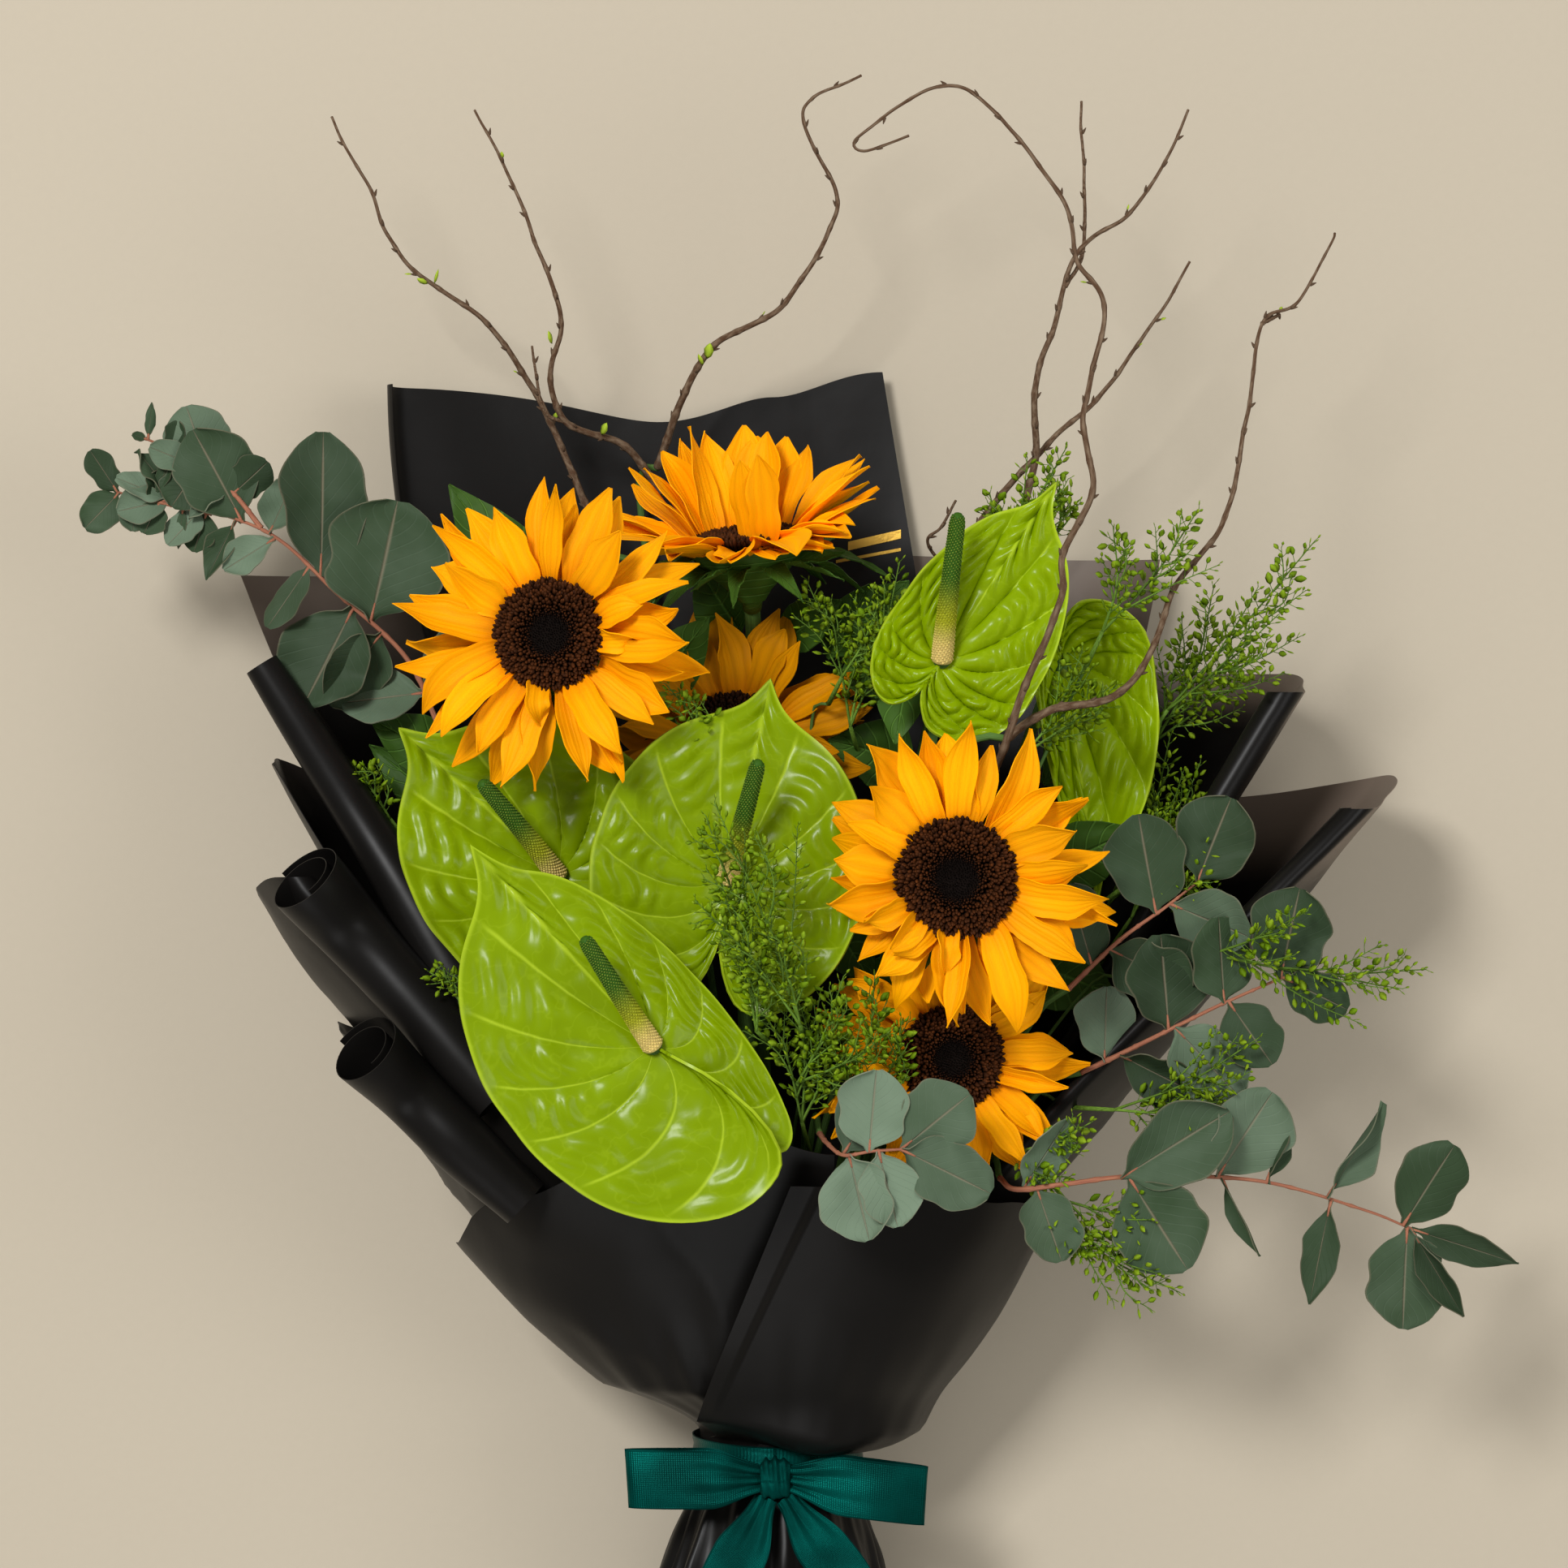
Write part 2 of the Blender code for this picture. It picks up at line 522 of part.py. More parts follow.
def sheet_point(sheet, angle, height):
    """A point of a sheet, by the angle round the middle line and the height above the tie."""
    neck = sheet["neck"]
    if height <= 0:
        radius, core = neck, NECK.z
    else:
        core = NECK.z + (CORE_HEIGHT - NECK.z) * min(1, height / CORE_RISE)
        reach = [neck + (wide - neck) * (height / high) ** sheet["power"]
                 for wide, high in (sheet["left"], sheet["right"], sheet["front"])]
        lying = sheet["lies"] + (NECK.z - neck - sheet["lies"]) * max(0, 1 - height / LIE_DOWN) ** 2
        flared = wrap_radius(angle, reach[0], reach[1], core - lying, reach[2])
        start = min(1, height / sheet.get("shoulder", SHOULDER))
        radius = neck + (flared - neck) * start
    return Vector((NECK.x + radius * math.sin(angle), NECK.y + height, core + radius * math.cos(angle)))


def sheet_rows(sheet):
    """Middle surface of a sheet as rows of points from the tie to the rim."""
    span = sheet["at_tie"][1] - sheet["at_tie"][0]
    columns = max(4, round(abs(span) / COLUMN))
    grid = []
    for row in range(-1, len(NEAR_LEVELS) + FAR_ROWS):
        line = []
        for column in range(columns + 1):
            share = column / columns
            rim = blend_list(sheet["rim"], share)
            if row < 0:
                height = -NECK_DEPTH
            elif row < len(NEAR_LEVELS):
                height = NEAR_LEVELS[row]
            else:
                top = NEAR_LEVELS[-1]
                height = top + (rim - top) * (row + 1 - len(NEAR_LEVELS)) / FAR_ROWS
            rise = max(0, height / rim)
            at_tie = sheet["at_tie"][0] + span * share
            at_rim = sheet["at_rim"][0] + (sheet["at_rim"][1] - sheet["at_rim"][0]) * share
            angle = math.radians(at_tie + (at_rim - at_tie) * rise)
            line.append(sheet_point(sheet, angle, height))
            if column == 0:
                edge = (angle, height, rise)
        if sheet.get("rolled"):
            line = rolled_edge(sheet, edge, line, -math.copysign(1, span)) + line
        grid.append(line)
    return grid


def rolled_edge(sheet, place_of_edge, line, way):
    """Points past a sheet's first edge, curled towards the blooms the more the nearer the rim."""
    angle, height, rise = place_of_edge
    edge = line[0]
    along = (edge - line[1]).normalized()
    inwards = Vector((NECK.x, edge.y, CORE_HEIGHT)) - edge
    inwards = (inwards - along * inwards.dot(along)).normalized()
    radius = ROLL * (0.35 + 0.65 * rise)
    curl = min(1, rise / ROLL_STARTS) ** 2
    points = []
    for step in (4, 3, 2, 1):
        turn = math.radians(ROLL_TURN) * (0.3 + 0.7 * rise) * step / 4
        curled = edge + radius * (along * math.sin(turn) + inwards * (1 - math.cos(turn)))
        flat = sheet_point(sheet, angle + way * ROLL_STRIP / sheet["neck"] * step / 4, height)
        points.append(flat.lerp(curled, curl))
    return points


def thickened(grid, thickness, mirrored=False):
    """Closed sheet of a given thickness about a grid of points, in triangles.

    A grid that runs the other way round is mirrored, so that all sheets split their squares alike.
    """
    rows, columns = len(grid), len(grid[0])
    sides = []
    for way in (1, -1):
        for i in range(rows):
            for j in range(columns):
                up = grid[min(i + 1, rows - 1)][j] - grid[max(i - 1, 0)][j]
                over = grid[i][min(j + 1, columns - 1)] - grid[i][max(j - 1, 0)]
                sides.append(grid[i][j] + over.cross(up).normalized() * way * thickness / 2)
    faces, count = [], rows * columns

    def at(i, j, under=False):
        return i * columns + j + (count if under else 0)

    for i in range(rows - 1):
        for j in range(columns - 1):
            corners = [(i, j), (i, j + 1), (i + 1, j + 1), (i + 1, j)]
            if mirrored:
                corners = corners[1:] + corners[:1]
            for one, two, three in ((0, 1, 2), (0, 2, 3)):
                faces.append((at(*corners[one]), at(*corners[two]), at(*corners[three])))
                faces.append((at(*corners[three], True), at(*corners[two], True), at(*corners[one], True)))
    border = ([(0, j) for j in range(columns)] + [(i, columns - 1) for i in range(1, rows)]
              + [(rows - 1, j) for j in range(columns - 2, -1, -1)] + [(i, 0) for i in range(rows - 2, 0, -1)])
    for one, two in zip(border, border[1:] + border[:1]):
        faces.append((at(*two), at(*one), at(*one, True), at(*two, True)))
    return sides, faces


def add_wrap(neighbours):
    for name, sheet in SHEETS.items():
        first, last = sheet["at_tie"]
        place(name, [thickened(sheet_rows(sheet), FILM, mirrored=last < first)], "film", neighbours)


def foot_ring(y, spread, wall):
    """One ring of the gathered foot: folds grow with the spread, and it lies flat underneath."""
    ring = []
    for step in range(FOOT_STEPS * FOOT_FOLDS):
        turn = 2 * math.pi * step / (FOOT_STEPS * FOOT_FOLDS)
        flared = wrap_radius(turn, *(FOOT_REACH[way] for way in ("left", "right", "back", "front")))
        fold = FOOT_FOLD_DEPTH * (0.5 - 0.5 * math.cos(FOOT_FOLDS * turn))
        radius = FOOT_NECK + (flared - fold - FOOT_NECK) * spread - wall
        ring.append(Vector((NECK.x + radius * math.sin(turn), y, NECK.z + radius * math.cos(turn))))
    return ring


def add_foot(neighbours):
    levels = [(FOOT_TOP, 0), (FOOT_STRAIGHT, 0)]
    for share in (0.25, 0.6, 1.0):
        levels.append((FOOT_STRAIGHT + (FOOT_END - FOOT_STRAIGHT) * share, share ** 0.7))
    outer = [foot_ring(y, spread, 0) for y, spread in levels]
    inner = [foot_ring(y, spread, FOOT_WALL) for y, spread in levels]
    loop = outer + inner[::-1]
    count = len(loop[0])
    points = [point for ring in loop for point in ring]
    faces = []
    for i in range(len(loop)):
        k = (i + 1) % len(loop)
        for j in range(count):
            n = (j + 1) % count
            faces.append((i * count + j, k * count + j, k * count + n, i * count + n))
    place("wrap_foot", [(points, faces)], "film", neighbours)


# ---- ribbon -----------------------------------------------------------------------------------
def add_ribbon(neighbours):
    sides = 24
    rings = []
    for y, radius in ((BAND_Y[0], 0), (BAND_Y[1], 0), (BAND_Y[1], RIBBON), (BAND_Y[0], RIBBON)):
        rings.append([Vector((NECK.x + (BAND_RADIUS + radius) * math.sin(turn), y,
                              NECK.z + (BAND_RADIUS + radius) * math.cos(turn)))
                      for turn in (2 * math.pi * j / sides for j in range(sides))])
    points = [point for ring in rings for point in ring]
    faces = []
    for i in range(4):
        for j in range(sides):
            a, b = i * sides, (i + 1) % 4 * sides
            faces.append((a + j, b + j, b + (j + 1) % sides, a + (j + 1) % sides))
    place("ribbon_band", [(points, faces)], "ribbon", neighbours)

    ring_of_knot = [(0, -1.0), (0.75, -0.7), (1, 0), (0.75, 0.7), (0, 1.0)]
    points, faces = turned(ring_of_knot, Vector(), Vector((0, 0, 1)), 10)
    points = [KNOT + Vector([point[i] * KNOT_SIZE[i] for i in range(3)]) for point in points]
    place("bow_knot", [(points, faces)], "ribbon", neighbours)
    for name, end in LOOPS.items():
        place(name, [bow_loop(end)], "ribbon", neighbours)
    for name, route in TAILS.items():
        place(name, [strip(smooth_path(route, 5), TAIL_WIDTH)], "ribbon", neighbours)


def bow_loop(end):
    """A ribbon that leaves the knot, turns round at its end and comes back under itself."""
    way = Vector((1 if end.x > KNOT.x else -1, 0, 0))
    start = KNOT + way * KNOT_SIZE[0]
    out = Vector((end.x - start.x, end.y - start.y, 0))
    up = Vector((0, 0, 1))
    course = [(0.0, 1.2), (0.2, 3.6), (0.5, LOOP_GAP), (0.8, LOOP_GAP * 0.8), (0.97, 2.6), (1.0, 0.0),
              (0.97, -2.6), (0.8, -3.6), (0.5, -3.4), (0.2, -2.6), (0.0, -1.2)]
    grid = []
    for share, height in course:
        half = LOOP_WIDTH / 2 * (0.42 + 0.58 * min(1, share * 2.2))
        middle = start + out * share + up * height
        grid.append([middle + Vector((0, half, 0)), middle - Vector((0, half, 0))])
    return thickened(grid if way.x > 0 else [line[::-1] for line in grid], RIBBON)


def strip(path, width):
    """A flat ribbon end along a path, with a slanting cut."""
    grid = []
    for index, (side, _) in enumerate(carried_sides(path, (1, 0, 0))):
        half = width / 2 * (0.3 + 0.7 * min(1, index / 2))
        slant = Vector((0, -8, 0)) if index == len(path) - 1 else Vector()
        grid.append([path[index] - side * half + slant, path[index] + side * half])
    return thickened(grid, RIBBON)


# ---- stems ------------------------------------------------------------------------------------
def stem_route(end, arrival, by, slot, slots):
    """From a cut end through the tie to a bloom or spray, which it meets from behind."""
    turn = slot * math.pi * (3 - math.sqrt(5))
    out = BUNDLE_RADIUS * math.sqrt((slot + 0.5) / slots)
    offset = Vector((out * math.sin(turn), 0, out * math.cos(turn)))
    foot = Vector((NECK.x, STEM_END, NECK.z)) - offset * 1.15
    low = Vector((NECK.x, NECK.y - 24, NECK.z)) - offset
    high = Vector((NECK.x, NECK.y, NECK.z)) + offset
    bend = end - arrival * STEM_LEG
    middle = Vector(by) if by else high.lerp(bend, 0.5) + Vector((0, 0, 4))
    return [foot, low] + smooth_path([high, middle, bend], 3 if by else 2) + [end]


def add_stems(carried, neighbours):
    """All stems in one body, bound together in the tie; each stops just short of what it carries."""
    binding = limb([Vector((NECK.x, NECK.y - 26, NECK.z)), Vector((NECK.x, NECK.y + 2, NECK.z))],
                   (BINDING, BINDING), 12)
    shells = [binding]
    for slot, (kind, end, arrival, by) in enumerate(carried):
        radius = STEM_RADII[kind]
        path = stem_route(end - arrival * STEM_GAP, arrival, by, slot, len(carried))
        shells.append(limb(path, (radius, radius * 0.8), 4 if radius > 3 else 3))
    place("stems", shells, "stem", neighbours, required=len(shells))


# ---- blooms -----------------------------------------------------------------------------------
def sunflower(name, spec, rng, neighbours):
    centre, axis = Vector(spec["centre"]), Vector(spec["faces"]).normalized()
    size = spec["size"]
    side = across(axis)
    up = axis.cross(side)
    profile = [(5, -HEAD_DEPTH), (11, -17), (20, -11), (DISC, -4), (DISC - 1, 1), (0, 5.5)]
    base = centre - axis * HEAD_DEPTH * size
    end = base - stem_arrival(spec) * HEAD_NECK
    shells = [turned([(radius * size, height * size) for radius, height in profile], centre, axis, 10),
              limb([base + axis * 4, base, end], (5, 4), 6)]
    for row, lift in enumerate(spec["lift"]):
        for number in range(PETALS_PER_ROW):
            turn = 2 * math.pi * (number + 0.5 * row + rng.uniform(-0.18, 0.18)) / PETALS_PER_ROW
            out = side * math.cos(turn) + up * math.sin(turn)
            length = PETAL["length"] * size * rng.uniform(0.88, 1.08)
            width = PETAL["half_width"] * size * rng.uniform(0.85, 1.1)
            lean = lift + rng.uniform(-7, 7)
            drop = 0
            upright = row == 0 and out.z > 0.9
            if spec.get("hangs") and out.z > NEAR_SIDE and not upright:
                lean, drop = 4, HANG * out.z
            root = centre + out * 19 * size - axis * (3 + 3.5 * row)
            for change in (0, 9, -9, 18, -18, 28):
                path = petal_path(root, axis, out, lean + change, drop, length)
                shell = blade(path, axis, [0, width, width * 0.82, 0], PETAL["thickness"], PETAL["cup"])
                if not neighbours.touching(shell):
                    shells.append(shell)
                    break
    for number in range(BRACTS):
        turn = 2 * math.pi * (number + rng.uniform(-0.15, 0.15)) / BRACTS
        out = side * math.cos(turn) + up * math.sin(turn)
        root = centre + out * 17 * size - axis * 9.5 * size
        tip = root + (out * 0.96 - axis * 0.28) * BRACT["length"] * size
        shells.append(blade([root, root.lerp(tip, 0.4), tip], axis, [0, BRACT["half_width"], 0],
                            BRACT["thickness"]))
    place(name, shells, "petal", neighbours, required=2)


def stem_arrival(spec):
    """The way that a sunflower's stem arrives: along the head's axis unless it is given."""
    return Vector(spec.get("arrival", spec["faces"])).normalized()


def petal_path(root, axis, out, lift, drop, length):
    """Middle line of a ray petal that rises from the disc's rim by the lift and arches over."""
    path = []
    for share in (0.0, 0.38, 0.74, 1.0):
        climb = math.sin(math.radians(lift)) * share - 0.25 * share ** 2
        reach = math.cos(math.radians(lift)) * share
        path.append(root + (out * reach + axis * climb) * length - Vector((0, 1, 0)) * drop * share ** 2)
    return path


def spathe(spec):
    """Heart-shaped bowl round the spadix's foot, closed, with a slight fold along its middle."""
    foot, tip = Vector(spec["foot"]), Vector(spec["tip"])
    to_tip = (tip - foot).length
    along = (tip - foot).normalized()
    normal = Vector(spec["faces"])
    normal = (normal - along * normal.dot(along)).normalized()
    side = along.cross(normal)
    outline = SPATHE_OUTLINE + [(360 - degrees, reach) for degrees, reach in SPATHE_OUTLINE[-2:0:-1]]
    tops, unders = [], []
    for share in (0.5, 1.0):
        for degrees, reach in outline:
            turn = math.radians(degrees)
            half = 0 if degrees < 180 else 1
            x = to_tip * reach * share * math.sin(turn) * spec["widths"][half] / OUTLINE_WIDTH
            y = to_tip * reach * share * math.cos(turn)
            if y < 0:
                y *= spec["lobes"] / OUTLINE_LOBES
            cup = spec["folds"][half] * abs(x) + 5 * share ** 2 - 9 * (y / to_tip) ** 2 * (y > 0)
            tops.append(foot + side * x + along * y + normal * (cup + SPATHE / 2))
            unders.append(foot + side * x + along * y + normal * (cup - SPATHE / 2))
    count = len(outline)
    points = [foot + normal * SPATHE / 2] + tops + [foot - normal * SPATHE / 2] + unders
    base = 1 + 2 * count
    faces = []
    for j in range(count):
        k = (j + 1) % count
        faces += [(0, 1 + k, 1 + j), (base, base + 1 + j, base + 1 + k),
                  (1 + j, 1 + k, 1 + count + k, 1 + count + j),
                  (base + 1 + k, base + 1 + j, base + 1 + count + j, base + 1 + count + k),
                  (1 + count + j, 1 + count + k, base + 1 + count + k, base + 1 + count + j)]
    return (points, faces), normal


def anthurium(name, spec, neighbours):
    shell, normal = spathe(spec)
    foot = Vector(spec["foot"])
    shells = [shell, limb([foot, foot - normal * KNOB], (4.4, 3.4), 6)]
    if spec["spadix"]:
        tip = Vector(spec["spadix"])
        shells.append(limb([foot, foot.lerp(tip, 0.45) + normal * 3, tip], SPADIX, 6))
    place(name, shells, "spathe", neighbours, required=len(shells))


# ---- foliage ----------------------------------------------------------------------------------
def eucalyptus(name, spec, neighbours):
    path = smooth_path(spec["route"], 7)
    shells = [limb(path, (1.6, 0.9), 3)]
    for share, degrees, length, ratio, tilt in spec["leaves"]:
        index = min(int(share * 7), 6)
        foot = path[index].lerp(path[index + 1], share * 7 - index)
        along = (path[index + 1] - path[index]).normalized()
        out = Matrix.Rotation(math.radians(degrees), 3, "Z") @ Vector((along.x, along.y, 0)).normalized()
        faces = Matrix.Rotation(math.radians(tilt), 3, out) @ Vector((0, 0, 1))
        rise = Vector((0, 0, 1))
        half = length * ratio / 2
        steps = (0.0, 0.36, 0.76, 1.0)
        widths = [0, half * 0.95, half * 0.85, 0]
        for change in (0, 0.12, -0.12, 0.25, -0.25):
            leaf = [foot + out * (length * step - 0.7) + rise * length * (change * step + 0.1 * step ** 2)
                    for step in steps]
            shell = blade(leaf, faces, widths, EUCALYPTUS_LEAF, 1.0)
            if not neighbours.touching(shell):
                shells.append(shell)
                break
    place(name, shells, "eucalyptus", neighbours)


def willow(name, twigs, neighbours):
    shells = []
    for number, route in enumerate(twigs):
        path = smooth_path(route, round(1.6 * len(route)))
        thick, thin = WILLOW_RADII
        shells.append(limb(path, (thick if number == 0 else thin * 1.6, thin), 3))
    place(name, shells, "willow", neighbours, required=len(shells))


def cress(name, spec, rng, neighbours):
    """Sprigs that leave one stem's fork, each ringed by flat pods that turn by the golden angle."""
    fork = Vector(spec["fork"])
    sprigs = [smooth_path([fork, fork.lerp(Vector(tip), 0.5) + across(Vector(tip) - fork) * 3, tip], SPRIG_PIECES)
              for tip in spec["tips"]]
    shells = [limb([Vector(spec["foot"]), fork], (CRESS_STEM * 1.15, CRESS_STEM * 1.05), 3)]
    shells += [limb(path, (CRESS_STEM, CRESS_STEM * 0.6), 3) for path in sprigs]
    stems = len(shells)
    for path in sprigs:
        pods = max(4, round((path[-1] - path[0]).length / POD_STEP))
        for pod in range(pods):
            share = (0.12 + 0.87 * pod / (pods - 1)) * SPRIG_PIECES
            index = min(int(share), SPRIG_PIECES - 1)
            root = path[index].lerp(path[index + 1], share - index)
            along = (path[index + 1] - path[index]).normalized()
            side = across(along)
            turn = pod * math.pi * (3 - math.sqrt(5)) + rng.uniform(-0.3, 0.3)
            out = side * math.cos(turn) + along.cross(side) * math.sin(turn)
            out = (out + along * 0.7).normalized()
            size = 1.25 - 0.5 * share / SPRIG_PIECES
            end = root + out * POD["length"] * size
            shells.append(blade([root - out * 0.4, root.lerp(end, 0.62), end], along,
                                [0, POD["half_width"] * size, 0], POD["thickness"]))
    place(name, shells, "cress", neighbours, required=stems)


def broad_leaf(name, spec, neighbours):
    """A leaf that starts from the nearest stem."""
    foot, tip = neighbours.beside("stems", Vector(spec["foot"])), Vector(spec["tip"])
    path = smooth_path([foot, foot.lerp(tip, 0.5) + Vector((0, 0, 4)), tip], 4)
    half = spec["half_width"]
    widths = [0, half * 0.75, half, half * 0.6, 0]
    place(name, [blade(path, spec["faces"], widths, LEAF, 2.0)], "stem", neighbours)


# ---- whole part -------------------------------------------------------------------------------
def carried_ends():
    """Where each stem ends, the direction in which it arrives there, and what it passes by."""
    ends = []
    for spec in SUNFLOWERS.values():
        axis, arrival = Vector(spec["faces"]).normalized(), stem_arrival(spec)
        base = Vector(spec["centre"]) - axis * HEAD_DEPTH * spec["size"]
        ends.append(("sunflower", base - arrival * HEAD_NECK, arrival, spec.get("by")))
    for spec in ANTHURIUMS.values():
        _, normal = spathe(spec)
        ends.append(("anthurium", Vector(spec["foot"]) - normal * KNOB, normal, spec.get("by")))
    for kind, table in (("eucalyptus", EUCALYPTUS), ("willow", WILLOW), ("cress", CRESS)):
        for spec in table.values():
            if kind == "cress":
                first, second = spec["foot"], spec["fork"]
            else:
                first, second = (spec["route"] if kind == "eucalyptus" else spec[0])[:2]
            first, second = Vector(first), Vector(second)
            ends.append((kind, first, (second - first).normalized(), None))
    return ends


def centre_on_floor():
    """Move every mesh so that the middle of the bounding box's underside is the origin."""
    made = [thing for thing in bpy.context.scene.objects if thing.type == "MESH"]
    low, high = box_of([vertex.co for thing in made for vertex in thing.data.vertices])
    shift = Vector((-(low.x + high.x) / 2, -(low.y + high.y) / 2, -low.z))
    for thing in made:
        thing.data.transform(Matrix.Translation(shift))


def main():
    clear_scene()
    rng = random.Random(SEED)
    neighbours = Neighbours()
    add_wrap(neighbours)
    add_foot(neighbours)
    add_ribbon(neighbours)
    add_stems(carried_ends(), neighbours)
    for name, spec in SUNFLOWERS.items():
        sunflower(name, spec, rng, neighbours)
    for name, spec in ANTHURIUMS.items():
        anthurium(name, spec, neighbours)
    for name, spec in EUCALYPTUS.items():
        eucalyptus(name, spec, neighbours)
    for name, twigs in WILLOW.items():
        willow(name, twigs, neighbours)
    for name, sprigs in CRESS.items():
        cress(name, sprigs, rng, neighbours)
    for name, spec in LEAVES.items():
        broad_leaf(name, spec, neighbours)
    centre_on_floor()


if __name__ == "__main__":
    main()
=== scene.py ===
"""Looks of a hand-tied bouquet that lies on its back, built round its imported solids.

Sizes and places are in millimetres in the bouquet's own layout: +Y towards the blooms, +X to the
right and +Z out of the blooms' faces.  in_row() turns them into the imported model's metres.
"""

import random
from math import copysign, cos, exp, hypot, pi, radians, sin, sqrt, tau

import bpy
import numpy as np
from bpy.props import FloatProperty, FloatVectorProperty, IntProperty, PointerProperty
from mathutils import Matrix, Vector, noise
from mathutils.bvhtree import BVHTree


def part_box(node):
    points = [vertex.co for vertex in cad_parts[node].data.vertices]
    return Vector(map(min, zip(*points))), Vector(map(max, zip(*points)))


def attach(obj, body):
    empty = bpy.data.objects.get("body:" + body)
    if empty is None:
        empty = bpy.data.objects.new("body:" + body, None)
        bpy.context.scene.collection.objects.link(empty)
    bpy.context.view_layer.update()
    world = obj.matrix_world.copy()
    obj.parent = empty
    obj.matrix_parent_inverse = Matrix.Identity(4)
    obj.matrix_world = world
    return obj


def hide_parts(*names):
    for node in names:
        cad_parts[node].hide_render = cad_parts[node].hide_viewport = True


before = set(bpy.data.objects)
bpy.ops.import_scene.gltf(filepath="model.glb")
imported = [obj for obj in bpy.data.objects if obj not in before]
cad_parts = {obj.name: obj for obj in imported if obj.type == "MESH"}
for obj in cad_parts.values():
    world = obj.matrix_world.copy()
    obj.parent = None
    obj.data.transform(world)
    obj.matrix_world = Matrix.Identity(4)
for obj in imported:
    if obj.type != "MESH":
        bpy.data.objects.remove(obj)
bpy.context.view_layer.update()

bl_info = {
    "name": "Wrapped flower bouquet",
    "version": (1, 0, 0),
    "blender": (4, 5, 0),
    "location": "3D View > Sidebar > Bouquet",
    "description": "Petals, leaves, film and ribbon of a hand-tied bouquet, round its packed solids",
    "category": "Object",
}

MM = 0.001
GOLDEN = pi * (3 - sqrt(5))
TOWARDS_EYE = Vector((0, 0, 1))

# ---- tie and wrap ------------------------------------------------------------------------------
NECK = Vector((-3, -304, 60))   # where the wrap starts to flare above the tie
BAND_MIDDLE = Vector((-3, -315, 60))
NECK_DEPTH = 11                 # the sheets run this far down inside the ribbon band
FILM = 0.4                      # thickness of one sheet
CORE_HEIGHT = 95                # the bouquet's middle line above the floor, once it has flared
CORE_RISE = 250                 # distance above the tie in which the middle line rises to that
LIE_DOWN = 170                  # distance above the tie at which the back sheets reach the floor
ROLL_STRIP = 4                  # width of the strip at the tie that becomes a rolled edge
ROLL_STEPS = 14
SHEET_ROWS, SHEET_STEP = 70, 2.2    # rows from the tie to the rim, and degrees from column to column
NOWHERE = (2, 3)                # shares of the rise that no point of a sheet reaches
FRONT_ROUND = 2.3               # roundness of the wrap's front half, 2 is an ellipse
BACK_ROUND = 3.2                # the back half is flatter
SHOULDER = 25                   # height over which a sheet leaves the tie

# Each sheet: its radius at the tie, the angles that it spans at the tie and at its rim (0 is the
# front, 90 the right, 180 the back), the rim's heights above the tie from the first angle to the
# last, how far it reaches left, right and to the front at a height, the flare's power, the height
# that its back part keeps above the floor, its first edge's roll (degrees, radius and start), the
# shares of the rise over which it thins to a single layer, the share of a folded hem, how soon its
# first edge swings over, how far it sags over the tie and how calm its creases are.
SHEETS = {
    "wrap_back_low": dict(neck=31.4, at_tie=(-100, -260), at_rim=(-102, -251), rim=(403, 412, 415, 411),
        left=(272, 403), right=(203, 411), front=(80, 145), power=0.9, lies=3.2,
        thin=(0.84, 1.0)),
    "wrap_back_high": dict(neck=29.0, at_tie=(-95, -255), at_rim=(-111, -212), rim=(493, 478, 490, 502),
        left=(227, 500), right=(150, 500), front=(60, 145), power=1.05, lies=13.5,
        roll=(105, 17, 0.6)),
    "wrap_left_inner": dict(neck=30.2, at_tie=(-75, -135), at_rim=(-86, -119), rim=(352, 362, 345, 330),
        left=(232, 355), right=(120, 355), front=(64, 145), power=1.1, lies=10,
        roll=(250, 6.5, 0.3)),
    "wrap_left_mid": dict(neck=32.6, at_tie=(-62, -118), at_rim=(-84, -110), rim=(312, 316, 300),
        left=(235, 316), right=(120, 316), front=(72, 145), power=0.85, lies=0.0,
        thin=(0.9, 1.4)),
    "wrap_left_low": dict(neck=33.8, at_tie=(-50, -118), at_rim=(-77, -110), rim=(262, 250, 236),
        left=(234, 247), right=(120, 247), front=(82, 145), power=0.8, lies=-1.5,
        roll=(290, 9.5, 0.3)),
    "wrap_left_outer": dict(neck=35.0, at_tie=(-26, -122), at_rim=(-38, -112),
        rim=(132, 160, 188, 193, 180), left=(206, 193), right=(120, 193),
        front=(93, 145), power=0.75, lies=-3.0),
    "wrap_front_left": dict(neck=36.2, at_tie=(16, -112), at_rim=(14, -82),
        rim=(140, 150, 138, 118, 92), left=(158, 100), right=(120, 100),
        front=(104, 145), power=0.7, lies=-4.5),
    "wrap_right_inner": dict(neck=32.6, at_tie=(70, 140), at_rim=(84, 118), rim=(346, 356, 358),
        left=(120, 348), right=(243, 348), front=(76, 145), power=0.985,
        lies=0.6, roll=(210, 10.5, 0.3), thin=(0.93, 0.99)),
    "wrap_right_outer": dict(neck=33.8, at_tie=(46, 122), at_rim=(80, 112), rim=(293, 308, 297),
        left=(120, 295), right=(281, 297), front=(92, 145), power=1.06,
        lies=-1.0, roll=(230, 9.5, 0.3), thin=(0.84, 0.95)),
    "wrap_front_right": dict(neck=37.5, at_tie=(-58, 120), at_rim=(3, 104),
        rim=(127, 124, 116, 108, 102), left=(180, 106), right=(128, 106),
        front=(113, 135), power=0.52, lies=-4.5, shoulder=13, hem=0.07, swing=0.4,
        sag=13, calm=0.3),
}

